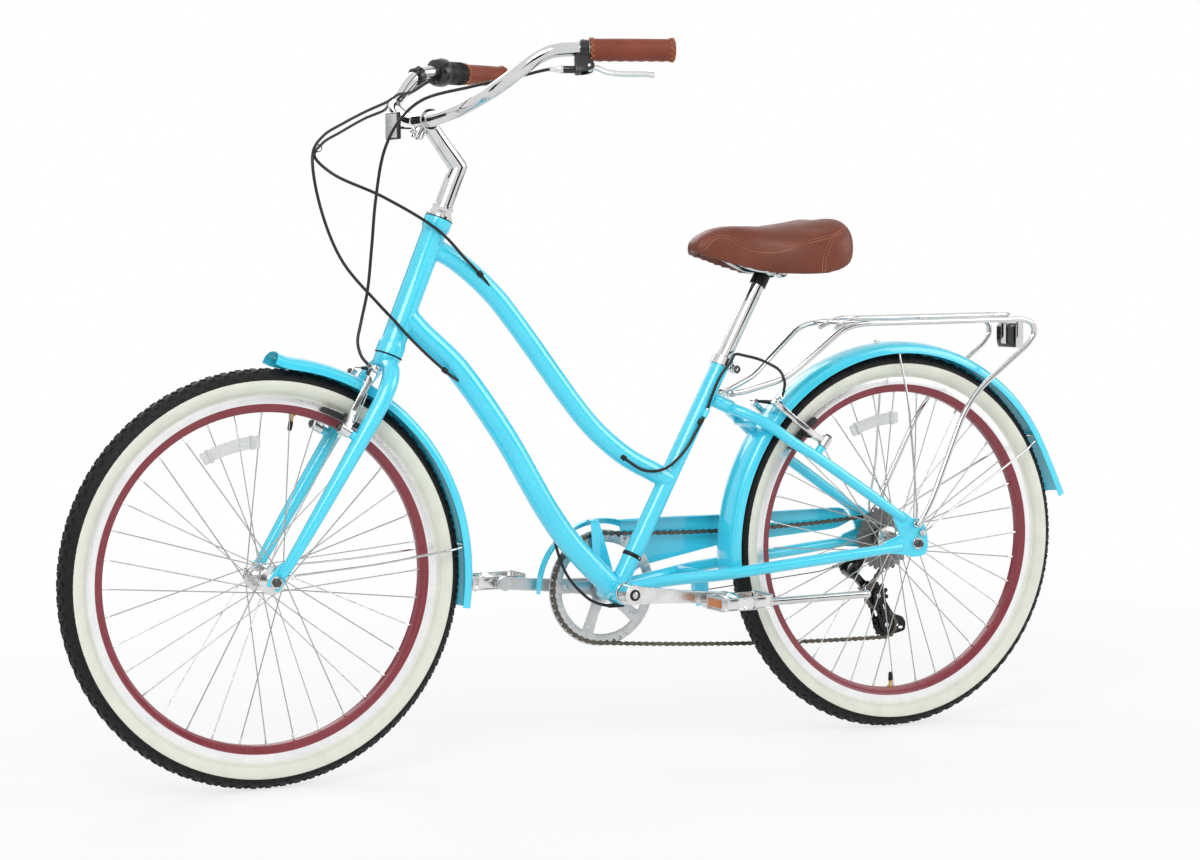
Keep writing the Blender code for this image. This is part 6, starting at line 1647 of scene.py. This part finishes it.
def pedal(word, centre, side):
    """Barrel and cage plates, toothed rims and amber reflectors; side is 1 on the left."""
    body = "pedal_" + word
    bm = bmesh.new()
    lathe(bm, [(6, 87), (10.5, 87), (12, 89), (12, 94), (9, 100), (8, 120), (8.6, 140), (11.5, 147),
               (11.5, 152), (9.8, 154), (0, 154), (0, 149.6), (6, 149.4)], centre, Y * side, 32)
    frame_line = rounded([(-46, 89), (46, 89), (46, 152.5), (-46, 152.5)], 8, 5)
    for z in (9.8, -9.8):
        path = [centre + X * a + Y * side * b + Z * z for a, b in frame_line]
        sweep(bm, path, slab(1.1, 2.2, 0.6, 2), closed=True, side=Z)
    for s in (1, -1):
        for b in (94, 105, 120.7, 136, 147):
            block(bm, centre + X * s * 46.2 + Y * side * b, Y, Z, 1.6, 10.5, -1.0, 1.0, 0.5)
        for b in (89.5, 152):
            block(bm, centre + X * s * 26 + Y * side * b, X, Z, 15, 9.6, -0.9, 0.9, 0.5)
        block(bm, centre + X * s * 28 + Y * side * 120.7, X, Y, 19, 3.2, -2.2, 2.2, 0.8)
    finish(body + "_cage", bm, POLISHED, body, body)
    bm = bmesh.new()
    for s in (1, -1):
        for way in (1, -1):
            line = [centre + at(s * 46, side * (91 + i * 2.5), way * (11.2 + 0.7 * (i % 2)))
                    for i in range(25)]
            sweep(bm, line, slab(0.9, 0.6, 0.2, 1))
    finish(body + "_teeth", bm, SATIN, body)
    bm = bmesh.new()
    for s in (1, -1):
        block(bm, centre + X * s * 48.0 + Y * side * 120.7, Y, Z, 21, 7.2, -1.9, 1.9, 0.9, 3)
    finish(body + "_lenses", bm, AMBER, body)


pedal("left", left_end, 1)
pedal("right", right_end, -1)

# Freewheel: seven sprockets on one body

ENGAGED = 3
bm = bmesh.new()
lathe(bm, [(11.8, 29.9), (20.4, 29.9), (21.6, 31), (21.6, 63.4), (20.8, 64.4), (11.8, 64.4)],
      REAR_HUB, -Y, 48, ring=True)
for index, teeth in enumerate((28, 24, 22, 20, 18, 16, 14)):
    y = CHAIN_Y + (ENGAGED - index) * 5.0
    phase = tooth_phase(chain_arcs[0]) if index == ENGAGED else 0.3 * index
    add_flat(bm, toothed(teeth, phase, REAR_HUB, 2.3 if index == ENGAGED else 2.0), y, 0.9,
             [hole_at(0, WHEEL_R, 21, 32)])
    if index < 2:
        for k in range(10):
            spot = around(REAR_HUB, 36 * k, PITCH / (2 * math.sin(math.pi / teeth)) - 9, y)
            lathe(bm, [(0, 0.7), (1.8, 0.7), (1.2, 1.3), (0, 1.3)], spot, Y, 8)
finish("freewheel_sprockets", bm, SPROCKET_STEEL, "freewheel", "freewheel")

# Derailleur

TENSION_AT = at(tension_cog.place.x, CHAIN_Y, tension_cog.place.y)
LINK_WAY = LINK_ARM.normalized()
LINK_PIN = LINK_WAY.cross(Y)
CAGE_WAY = (TENSION_AT - GUIDE_AT).normalized()
CAGE_SIDE = at(CAGE_WAY.z, 0, -CAGE_WAY.x)


def ears(bm, hinge, way, y_near, y_far):
    """Two lugs and a bridge round one of the link's pins."""
    middle = hinge + Y * ((y_near + y_far) / 2 - hinge.y)
    half = abs(y_near - y_far) / 2
    for s in (1, -1):
        block(bm, middle + LINK_PIN * s * 8.6 + LINK_WAY * 4 * way, LINK_WAY, Y, 9.8, half, -1.6, 1.6,
              0.7, 2)
    block(bm, middle + LINK_WAY * 11.4 * way, LINK_WAY, Y, 2.7, half - 0.4, -9.4, 9.4, 0.8, 2)
    rod(bm, hinge - LINK_PIN * 8.9, hinge + LINK_PIN * 8.9, 2.5, 16, 0.4)


bm = bmesh.new()
body_plate = rounded([(-14, 300), (-10, 290), (12, 282), (36, 262), (58, 262), (66, 276), (60, 288),
                      (40, 297), (6, 311), (-8, 311)], 6, 4)
plate(bm, body_plate, at(0, 0, 0), X, Z, 74.2, 79.7, [], 1.6, 3)
plate(bm, rounded([(12, 296), (30, 286), (54, 270), (60, 276), (54, 284), (36, 292)], 3),
      at(0, 0, 0), X, Z, 79.2, 80.4, [], 0.5)
ears(bm, LINK_TOP, -1, -76.8, -55.5)
rod(bm, at(58, -72, 281), at(72, -69, 281), 4.4, 20, 0.8)
finish("derailleur_body_casting", bm, GLOSS_BLACK, "frame", "derailleur_body")
bm = bmesh.new()
rod(bm, HANGER_EYE - Y * 67, HANGER_EYE - Y * 79, 4.9, 24)
socket_bolt(bm, HANGER_EYE - Y * 78.6, -Y, 6.4, 3.0)
rod(bm, at(71, -69.2, 281), at(76.4, -68, 281), 3.4, 16, 0.6)
for x, z in ((49, 283), (40, 288)):
    lathe(bm, [(0, 0), (2.2, 0), (2.2, 1.2), (1.6, 1.8), (0, 1.8)], at(x, -79.8, z), -Y, 16)
finish("derailleur_bolts", bm, SATIN, "frame")
bm = bmesh.new()
long = LINK_ARM.length
for side in (1, -1):
    y = side * 5.4
    bar = rounded([(-4.8, -4.6), (long + 4.8, -4.6), (long + 4.8, 4.6), (-4.8, 4.6)], 4, 4)
    plate(bm, bar, LINK_TOP, LINK_WAY, Y, y - 1.1, y + 1.1,
          [circle(2.8, 16), hole_at(long, 0, 2.8, 16)], 0.4)
block(bm, LINK_TOP.lerp(LINK_LOW, 0.5), LINK_WAY, Y, long / 2 - 5, 3.4, -5.6, 5.6, 0.8)
finish("derailleur_link_bars", bm, GLOSS_BLACK, "derailleur_link", "derailleur_link")
bm = bmesh.new()
knuckle_at = at(GUIDE_AT.x, 0, GUIDE_AT.z)
lathe(bm, [(5.3, 54.8), (10.2, 54.8), (11, 55.8), (11, 68.8), (10, 70), (5.3, 70)], knuckle_at, -Y,
      36, ring=True)
lathe(bm, [(0, 66.2), (5.6, 66.2), (5.6, 70.4), (4.6, 71.2), (0, 71.2)], knuckle_at, -Y, 24)
ears(bm, LINK_LOW, 1, -70.4, -55.5)
finish("derailleur_knuckle_casting", bm, GLOSS_BLACK, "derailleur_knuckle", "derailleur_knuckle")

OUTER_CAGE = rounded([(-12, -6), (-7, -13), (20, -17), (52, -21), (70, -17), (77, 0), (82, 22), (84, 40),
                      (70, 46), (58, 43), (46, 26), (24, 20), (2, 13), (-9, 9)], 6, 3)
INNER_CAGE = rounded([(-11, -7), (0, -12), (56, -13), (70, -8), (70, 8), (56, 13), (0, 12), (-11, 7)],
                     4, 3)


def slot_hole(a, b, long, half, turn=0.0):
    """The outline of a long hole round (a, b)."""
    shape = []
    for end in (1, -1):
        for i in range(7):
            t = -math.pi / 2 + math.pi * i / 6 + (0 if end > 0 else math.pi)
            shape.append((end * long / 2 + half * math.cos(t), half * math.sin(t)))
    c, s = math.cos(turn), math.sin(turn)
    return [(a + x * c - y * s, b + x * s + y * c) for x, y in shape]


bm = bmesh.new()
plate(bm, OUTER_CAGE, GUIDE_AT - Y * 5.6, CAGE_WAY, CAGE_SIDE, -0.75, 0.75,
      [slot_hole(28, -8.5, 14, 2.6), slot_hole(28, 9.5, 14, 2.6), slot_hole(66, 24, 9, 2.4, 1.0),
       slot_hole(75, 33, 5, 2.2, 1.2), hole_at(CAGE_LONG, 0, 3.4, 16), hole_at(41, 1, 3.2, 16),
       hole_at(14, 0, 3.0, 16)], 0.3)
plate(bm, INNER_CAGE, GUIDE_AT + Y * 5.6, CAGE_WAY, CAGE_SIDE, -0.75, 0.75,
      [slot_hole(28, -5, 18, 2.4), slot_hole(28, 6, 18, 2.4)], 0.3)
rod(bm, GUIDE_AT + Y * 6.2, GUIDE_AT - Y * 18, 2.9, 16)
rod(bm, TENSION_AT + Y * 6.2, TENSION_AT - Y * 6.2, 2.9, 16)
rod(bm, GUIDE_AT - Y * 6, GUIDE_AT - Y * 18, 4.9, 24)
finish("derailleur_cage_plates", bm, BLACK, "derailleur_cage", "derailleur_cage")
bm = bmesh.new()
for spot in (GUIDE_AT, TENSION_AT):
    lathe(bm, [(0, 6.2), (4.4, 6.2), (4.4, 7.2), (3.4, 8.2), (0, 8.2)], spot, Y, 20)
lathe(bm, [(0, 6.2), (4.4, 6.2), (4.4, 7.2), (3.4, 8.2), (0, 8.2)], TENSION_AT, -Y, 20)
finish("derailleur_cage_bolts", bm, SATIN, "derailleur_cage")
for name, spot, arc in (("jockey_upper", GUIDE_AT, chain_arcs[1]),
                        ("jockey_lower", TENSION_AT, chain_arcs[2])):
    bm = bmesh.new()
    holes = [hole_at(spot.x + a, spot.z + b, 2.1, 10) for a, b in circle(10.5, 5)]
    holes.append(hole_at(spot.x, spot.z, 3.3, 16))
    add_flat(bm, toothed(11, tooth_phase(arc), spot, 2.7), CHAIN_Y, 1.1, holes)
    washer(bm, spot, Y, 3.3, 6.4, -2.6, 2.6, 24, 0.4)
    finish(name + "_pulley", bm, BLACK, name, name)

# Kickstand

bm = bmesh.new()
washer(bm, KICK_PIVOT, -KICK_AXIS, 5.4, 10, 2, 14, 40, 1.2)
leg = bent([KICK_PIVOT - KICK_AXIS * 8 + at(-6, 0, -1), (366, 38, 240), (325, 58, 244),
            (104, 70, 247)], 40, 8)
tube(bm, leg, 6.5, 26)
ball(bm, leg[-1] + (leg[-1] - leg[-2]).normalized() * 1.0, 8.0, 1.0)
finish("kickstand_bar", bm, CHROME, "kickstand", "kickstand_leg")
bm = bmesh.new()
lathe(bm, [(0, 14.4), (7.8, 14.4), (7.8, 16.4), (6, 17.8), (0, 17.8)], KICK_PIVOT, -KICK_AXIS, 6)
block(bm, at(394, 2, 248.6), X, Y, 9, 8, -1, 1.2, 0.8)
socket_bolt(bm, at(394, -4, 249), -Z, 4.4, 3.6)
finish("kickstand_bolts", bm, CHROME, "frame")

# Seat post

HEAD_AT = at(263, 0, 804)
CLAMP_AT = at(243, 0, 803)
bm = bmesh.new()
lathe(bm, [(0, 340), (12.0, 340), (12.5, 340.6), (12.7, 341.5), (12.7, 582), (0, 582)], BB, SEAT_UP, 48)
for side in (1, -1):
    washer(bm, CLAMP_AT, Y * side, 3, 10.5, 12.6, 17.0, 40, 0.9)
    washer(bm, CLAMP_AT, Y * side, 3, 9.5, 17.6, 26.8, 40, 0.9)
rod(bm, CLAMP_AT - Y * 17, CLAMP_AT + Y * 17, 6.5, 28)
block(bm, CLAMP_AT.lerp(HEAD_AT, 0.5), X, Y, 13, 8, -6, 5, 2.0, 3)
lathe(bm, [(0, 24), (6.6, 24), (6.6, 29.6), (5.6, 31.4), (3.0, 32), (0, 32)], CLAMP_AT, Y, 6)
hex_bolt(bm, CLAMP_AT - Y * 26.6, -Y, 13, 5.4)
finish("seat_post_tube", bm, CHROME, "seat", "seat_post")
bm = bmesh.new()
lathe(bm, [(12.8, 576.5), (13.9, 576.5), (14.3, 577), (14.3, 596.6), (13.4, 598.6), (0, 598.8),
           (0, 580)], BB, SEAT_UP, 48)
finish("seat_post_head", bm, BLACK, "seat")

bm = bmesh.new()
washer(bm, BB, SEAT_UP, 15.4, 16.7, 62, 69, 48, 0.5)
block(bm, seat(0, 0, 65.5) + Y * 16.6, SEAT_UP, X, 2.0, 5.0, -1.4, 1.4, 0.5)
finish("seat_tube_clip_ring", bm, BLACK, "frame")
bm = bmesh.new()
block(bm, seat(4, 16.3, 65.5), SEAT_UP, SEAT_BACK, 2.2, 3.4, -1.2, 1.6, 0.5)
finish("seat_tube_clip_buckle", bm, SATIN, "frame")

# Weld beads where the frame's tubes meet


def weld_bead(bm, skin, start, way, radius):
    """A bead where a tube of this radius, going this way, meets the other tube's skin."""
    way = way.normalized()
    across = (Y - way * way.dot(Y)).normalized()
    over = way.cross(across)
    path = []
    for i in range(40):
        turn = 2 * math.pi * i / 40
        origin = start + (across * math.cos(turn) + over * math.sin(turn)) * (radius + 0.4)
        spot = skin.ray_cast(origin, way, 160)[0]
        if spot is None:
            spot = skin.find_nearest(origin + way * (radius * 2))[0]
        path.append(spot)
    tube(bm, path, 1.9, 8, closed=True)


bm = bmesh.new()
weld_bead(bm, head_skin, at(850, 0, 831), at(36, 0, 17), 17)
weld_bead(bm, head_skin, at(900, 0, 707), at(27, 0, 29), 20)
weld_bead(bm, seat_skin, at(504, 0, 481), SEAT_CLUSTER - at(486, 0, 472), 16)
weld_bead(bm, seat_skin, at(640, 0, 361), BB - at(611, 0, 329), 19.2)
weld_bead(bm, seat_skin, BB + SEAT_UP * 60, -SEAT_UP, 15.5)
finish("frame_weld_beads", bm, SKY, "frame", crease=60)

# Saddle: padding over a black base, on chrome rails and two elastomers

SADDLE = [(409, 15, 852, 838, 838), (402, 22, 860, 833, 836), (385, 27, 871, 828, 840),
          (360, 31, 879, 821, 841), (330, 37, 881, 812, 838), (300, 50, 878, 805, 832),
          (272, 70, 876, 800, 828), (240, 88, 877, 799, 826), (205, 99, 881, 800, 826),
          (175, 103, 888, 806, 828), (155, 100, 890, 814, 832), (142, 91, 886, 826, 840),
          (135, 74, 878, 842, 850)]


def skin_over(bm, rings):
    """Bridges closed rings, and closes the first and the last."""
    part = bmesh.new()
    loops = []
    for ring in rings:
        verts = [part.verts.new(p) for p in ring]
        loops.append([part.edges.new((verts[i - 1], verts[i])) for i in range(len(verts))])
    for before, here in zip(loops, loops[1:]):
        bmesh.ops.bridge_loops(part, edges=before + here)
    bmesh.ops.contextual_create(part, geom=loops[0])
    bmesh.ops.contextual_create(part, geom=loops[-1])
    weld_in(bm, part)


def padding_ring(x, half, top, edge, under):
    """The padding's outline across one station: its half width, crown, edge and underside."""
    hump = 6.0 * max(0.0, (half - 60) / 40)
    dip = 3.0 * max(0.0, (half - 40) / 60)
    deep = top - edge
    wide = half * 1.02
    lip = wide - max(0.14 * wide, 7.0)
    wall = wide - max(0.26 * wide, 9.5)
    right = [(0.0, top - dip), (0.3 * wide, top + hump * 0.6), (0.6 * wide, top + hump - 2),
             (0.86 * wide, top - 0.16 * deep), (wide, top - 0.48 * deep),
             (0.99 * wide, edge + 0.10 * deep), (0.96 * wide, edge - 3.0), (lip, edge - 3.5),
             (wall, under - 0.3 * (under - edge)), (0.6 * wall, under), (0.0, under)]
    return [at(x, y, z) for y, z in right + [(-y, z) for y, z in reversed(right[1:-1])]]


def settled(cage, voxel, levels):
    """A copy of the cage, subdivided and remeshed evenly."""
    holder = in_scene("cage", cage)
    round_off = holder.modifiers.new("round", "SUBSURF")
    round_off.levels = round_off.render_levels = levels
    even = holder.modifiers.new("even", "REMESH")
    even.mode = "VOXEL"
    even.voxel_size = voxel
    graph = bpy.context.evaluated_depsgraph_get()
    made = bpy.data.meshes.new_from_object(holder.evaluated_get(graph))
    bpy.data.objects.remove(holder)
    return made


CLOTH_FRAMES = 20


def swell(mesh, held, pressure, cap):
    """Lets pressure fill the padding as cloth, held where its cover is pulled down."""
    piece = in_scene("padding", mesh)
    group = piece.vertex_groups.new(name="held")
    for index, weight in held.items():
        group.add([index], weight, "REPLACE")
    cloth = piece.modifiers.new("swell", "CLOTH")
    cloth.settings.use_pressure = True
    cloth.settings.uniform_pressure_force = pressure
    cloth.settings.effector_weights.gravity = 0.0
    cloth.settings.vertex_group_mass = "held"
    cloth.settings.quality = 6
    cloth.settings.tension_stiffness = 30
    cloth.settings.bending_stiffness = 6
    cloth.point_cache.frame_end = CLOTH_FRAMES
    for step in range(1, CLOTH_FRAMES + 1):
        bpy.context.scene.frame_set(step)
    graph = bpy.context.evaluated_depsgraph_get()
    after = [v.co.copy() for v in piece.evaluated_get(graph).data.vertices]
    piece.modifiers.clear()
    piece.vertex_groups.clear()
    bpy.data.objects.remove(piece)
    bpy.context.scene.frame_set(1)
    for v, there in zip(mesh.vertices, after):
        move = there - v.co
        v.co += move * min(1.0, cap / max(move.length, 1e-9))


SIDE_SEAM = [(396, 24, 843), (388, 27, 853), (379, 29, 861), (366, 32, 865), (352, 34, 861),
             (335, 37, 850), (312, 46, 841), (292, 57, 838), (272, 70, 840), (242, 87, 852),
             (208, 98, 863), (188, 101, 868), (168, 97, 875), (152, 86, 883), (141, 66, 879)]
REAR_SEAM = [(171, 98, 875), (184, 101, 865), (195, 101, 851), (203, 100, 834), (206, 97, 818),
             (205, 92, 804)]
bm = bmesh.new()
skin_over(bm, [padding_ring(*station) for station in SADDLE])
bmesh.ops.transform(bm, matrix=TO_FRAME, verts=bm.verts)
padding = settled(mesh_of("saddle_cage", bm), 0.0045, 2)
seams = [smooth(line, 3) for line in (SIDE_SEAM, REAR_SEAM)]
seams += [flip(line) for line in seams]
seam_spots = [TO_FRAME @ p for line in seams for p in line]
held = {}
for v in padding.vertices:
    near = min((v.co - spot).length for spot in seam_spots)
    under = v.normal.z < -0.25
    if under or near < 0.006:
        held[v.index] = 1.0 if under else 0.9
swell(padding, held, 4.0, 0.006)
bm = bmesh.new()
bm.from_mesh(padding)
for _ in range(4):
    bmesh.ops.smooth_vert(bm, verts=bm.verts, factor=0.5, use_axis_x=True, use_axis_y=True,
                          use_axis_z=True)
bmesh.ops.subdivide_edges(bm, edges=bm.edges, cuts=1, use_grid_fill=True, smooth=1.0)
bmesh.ops.transform(bm, matrix=TO_FRAME.inverted(), verts=bm.verts)
bm.normal_update()
seam_spots = [TO_FRAME.inverted() @ spot for spot in seam_spots]
for v in bm.verts:
    near = min((v.co - spot).length for spot in seam_spots)
    if near < 5:
        v.co -= v.normal * 1.1 * (1 - near / 5) ** 2
cushion_skin = BVHTree.FromBMesh(bm)
cushion = finish("saddle_cushion", bm, SADDLE_HIDE, "seat", "saddle_top", crease=70)

bm = bmesh.new()
for line in seams:
    run = 0.0
    for before, here in zip(line, line[1:]):
        way = (here - before).normalized()
        run += (here - before).length
        if run % 6 > 4.4:
            continue
        for shift in (-2.6, 2.6):
            normal = cushion_skin.find_nearest(here)[1]
            aside = normal.cross(way).normalized() * shift
            ends = [cushion_skin.find_nearest(p + aside) for p in (before, here)]
            tube(bm, [found[0] + found[1] * 0.3 for found in ends], 0.55, 6)
finish("saddle_stitches", bm, SEAM_THREAD, "seat")

bm = bmesh.new()
rings = []
for x, half, top, edge, under in SADDLE[2:11]:
    wide = 0.60 * half
    fall = 1.6 + 0.32 * (under - edge)
    ring = [(0, 0.6), (0.36 * half, 0.6), (0.5 * half, fall * 0.55), (wide, fall), (wide, fall + 5),
            (0.36 * half, 6.3), (0, 6.3)]
    rings.append([at(x, y, under - z) for y, z in ring + [(-a, b) for a, b in reversed(ring[1:-1])]])
skin_over(bm, rings)
for side in (1, -1):
    block(bm, at(205, side * 34, 812), X, Y, 14, 4, -6, 8, 1.5, 2)
    block(bm, at(356, side * 9, 836), X, Y, 12, 5, -6, 4, 1.5, 2)
finish("saddle_base", bm, BLACK, "seat", "saddle_frame", crease=40)
bm = bmesh.new()
rail = bent([(173, 29, 821.5), (188, 27, 810), (212, 21, 804), (286, 21, 804), (314, 17, 813),
             (340, 12, 826), (372, 9, 838)], 16, 6)
for line in (rail, flip(rail)):
    tube(bm, line, 3.4, 18, dome=0.6)
finish("saddle_rails", bm, CHROME, "seat")
bm = bmesh.new()
for side in (1, -1):
    lathe(bm, [(0, 808.6), (10.4, 808.6), (11.6, 809.6), (12, 811), (11.2, 813), (12, 815), (12, 817.6),
               (11.4, 819.2), (0, 819.2)], at(166, side * 48, 0), Z, 36)
finish("saddle_elastomers", bm, BRAKE_RUBBER, "seat")

# Cables

CABLE_R = 2.5


def ferrule(bm, spot, way, low=-1.0, high=9.0):
    """A jacket's metal end cap."""
    washer(bm, spot, way, 2.45, 3.5, low, high, 20, 0.5)


def brake_cable(name, line, body, noodle_body, ferrule_name):
    """The jacket and the wire across the arms, the bent pipe, rubber boot and ferrule."""
    pivot, up, _ = brake_frame(name)
    end = at(pivot.x, 0, pivot.z) + up * 110.8
    bm = bmesh.new()
    tube(bm, line, CABLE_R, 14)
    tube(bm, [end + Y * 44, end - Y * 42], 0.9, 8)
    jacket = finish(name + "_brake_cable_jacket", bm, CABLE, body, name + "_brake_cable")
    pipe = smooth([line[-1], end + Y * 22, end + Y * 36, end + Y * 44], 4)
    bm = bmesh.new()
    tube(bm, pipe, 2.75, 16)
    washer(bm, pipe[0], pipe[0] - pipe[1], 2.4, 3.6, -4, 3, 20, 0.4)
    block(bm, end + Y * 41, Y, up, 6.0, 4.4, -4.6, 4.6, 1.2, 3)
    finish(name + "_brake_noodle", bm, POLISHED, noodle_body)
    bm = bmesh.new()
    profile = [(0, 36)]
    for i in range(13):
        profile += [(4.2 - i * 0.13, 35.5 - i * 4.0), (3.3 - i * 0.13, 33.5 - i * 4.0)]
    profile += [(0, -18)]
    lathe(bm, profile, end, Y, 20)
    finish(name + "_brake_boot", bm, BLACK, noodle_body)
    bm = bmesh.new()
    ferrule(bm, line[0], line[1] - line[0])
    finish(ferrule_name, bm, POLISHED, "steering")
    return jacket


front_line = smooth(left_start + [
    (823, 203, 1106), (875, 142, 1093), (935, 90, 1074), (962, 65, 1044), (982, 50, 998),
    (993, 38, 920), (997, 30, 850), (1004, 27, 779), (1017, 30, 728), (1026, 38, 698),
    (1024, 50, 675), (1014, 58, 661)], 6)
brake_cable("front", front_line, "steering", "steering", "front_cable_ferrules")
rear_line = smooth(right_start + [
    (868, -222, 1078), (920, -185, 1060), (985, -128, 1034), (1034, -84, 1013),
    (1060, -50, 990), (1040, -22, 962), (966, 8, 925), (880, 26, 872), (832, 24, 826),
    (800, 18, 797), (768, 9, 760), (731, 5, 716), (650, 5, 609), (609, 5, 558),
    (567, 9, 516), (540, 15, 493), (508, 20, 474), (470, 21, 476), (432, 20.5, 505),
    (408, 19.5, 538), CABLE_STOP, seat(-1, 20.5, 372), seat(-3, 23.5, 405), seat(3, 25, 436),
    (338, 25, 664), (315, 25, 661), (292, 28, 655), (276, 40, 646), (266, 53, 636),
    (262, 62, 619), (263, 62, 603), (265, 58, 592)], 6)
rear_cable = brake_cable("rear", rear_line, None, "frame", "rear_cable_ferrule")
shift_line = smooth([
    SHIFT_START - house_out * 0.3, SHIFT_START - house_out * 10, (828, -207, 1106),
    (858, -190, 1101), (884, -171, 1088), (930, -152, 1070), (985, -113, 1048),
    (1036, -76, 1024), (1064, -48, 995), (1060, -36, 922), (1031, -14, 827), (981, 16, 757),
    (957, 26, 729), (934, 28, 704), (905, 27, 677), (878, 23, 655), (852, 15, 637),
    (826, 5, 624), (799, 2, 596), (773, 0, 560), (746, 0, 518), (720, 0, 474),
    (693, 0, 434), (674, -5, 396), (662, -9, 360), (647, -10, 318), (632, -10, 293),
    (612, -10, 272), (594, -10, 258), (572, -10, 249.5), (548, -10, 248)], 6)
bm = bmesh.new()
tube(bm, shift_line, CABLE_R, 14)
tube(bm, [at(552, -10, 248), at(535, -12, 249.5), at(115, -62, 274), at(76.5, -68, 281)], 0.9, 8)
shift_cable = finish("shift_cable_jacket", bm, CABLE, None, "shift_cable")

for cable, start, end in ((rear_cable, at(872, 26, 860), at(1034, -84, 1013)),
                          (shift_cable, at(981, 16, 757), at(1064, -48, 995))):
    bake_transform(cable)

bm = bmesh.new()
for spot, way in ((at(806, 19.5, 803), at(32, 6, 29)), (at(545, 14, 497), at(27, -6, 23)),
                  (at(870, 21, 649.5), at(26, 8, 18)), (at(668, -7, 378), at(12, 4, 36)),
                  (at(401, 19, 552), at(24, 0, -33))):
    washer(bm, spot, way, 2.4, 4.6, -5, 5, 20, 1.2)
finish("cable_grommets", bm, BLACK, "frame")
bm = bmesh.new()
ferrule(bm, shift_line[-1], shift_line[-1] - shift_line[-2], -8, 2)
ferrule(bm, at(76.5, -68, 281), at(115, -62, 274) - at(76.5, -68, 281), -1, 8)
washer(bm, CABLE_STOP, SEAT_UP, 2.6, 3.6, 6.5, 9, 20, 0.4)
finish("frame_cable_ferrules", bm, POLISHED, "frame")
bm = bmesh.new()
block(bm, at(557, -2, 248.6), X, Y, 14, 13, -2.2, 1.8, 1.4, 2)
finish("cable_guide", bm, BLACK, "frame")

bm = bmesh.new()
tie_at = at(1052, -56, 1004)
way = at(34, 36, -24)
loop = [place_axis(tie_at, way) @ Vector((a * 1.25, b * 1.1, 0)) for a, b in circle(5.4, 20)]
sweep(bm, loop, slab(1.4, 0.5, 0.3, 1), closed=True, side=way.normalized())
block(bm, tie_at + at(4, -2, -5), X, Z, 2.2, 2.2, -2, 2, 0.5)
finish("cable_tie", bm, BLACK, "steering")
bm = bmesh.new()
lathe(bm, [(0, 0), (5.2, 0), (5.2, 1.2), (4.2, 3.4), (2.4, 4.2), (0, 4.4)],
      around(REAR_HUB, 84, FENDER_R + 0.2),
      around(REAR_HUB, 84, FENDER_R + 1) - around(REAR_HUB, 84, FENDER_R), 20)
hex_bolt(bm, around(REAR_HUB, 35.5, 365.5), around(REAR_HUB, 35.5, 2) - REAR_HUB, 8, 4, 5.5)
finish("rear_fender_bolts", bm, CHROME, "frame")
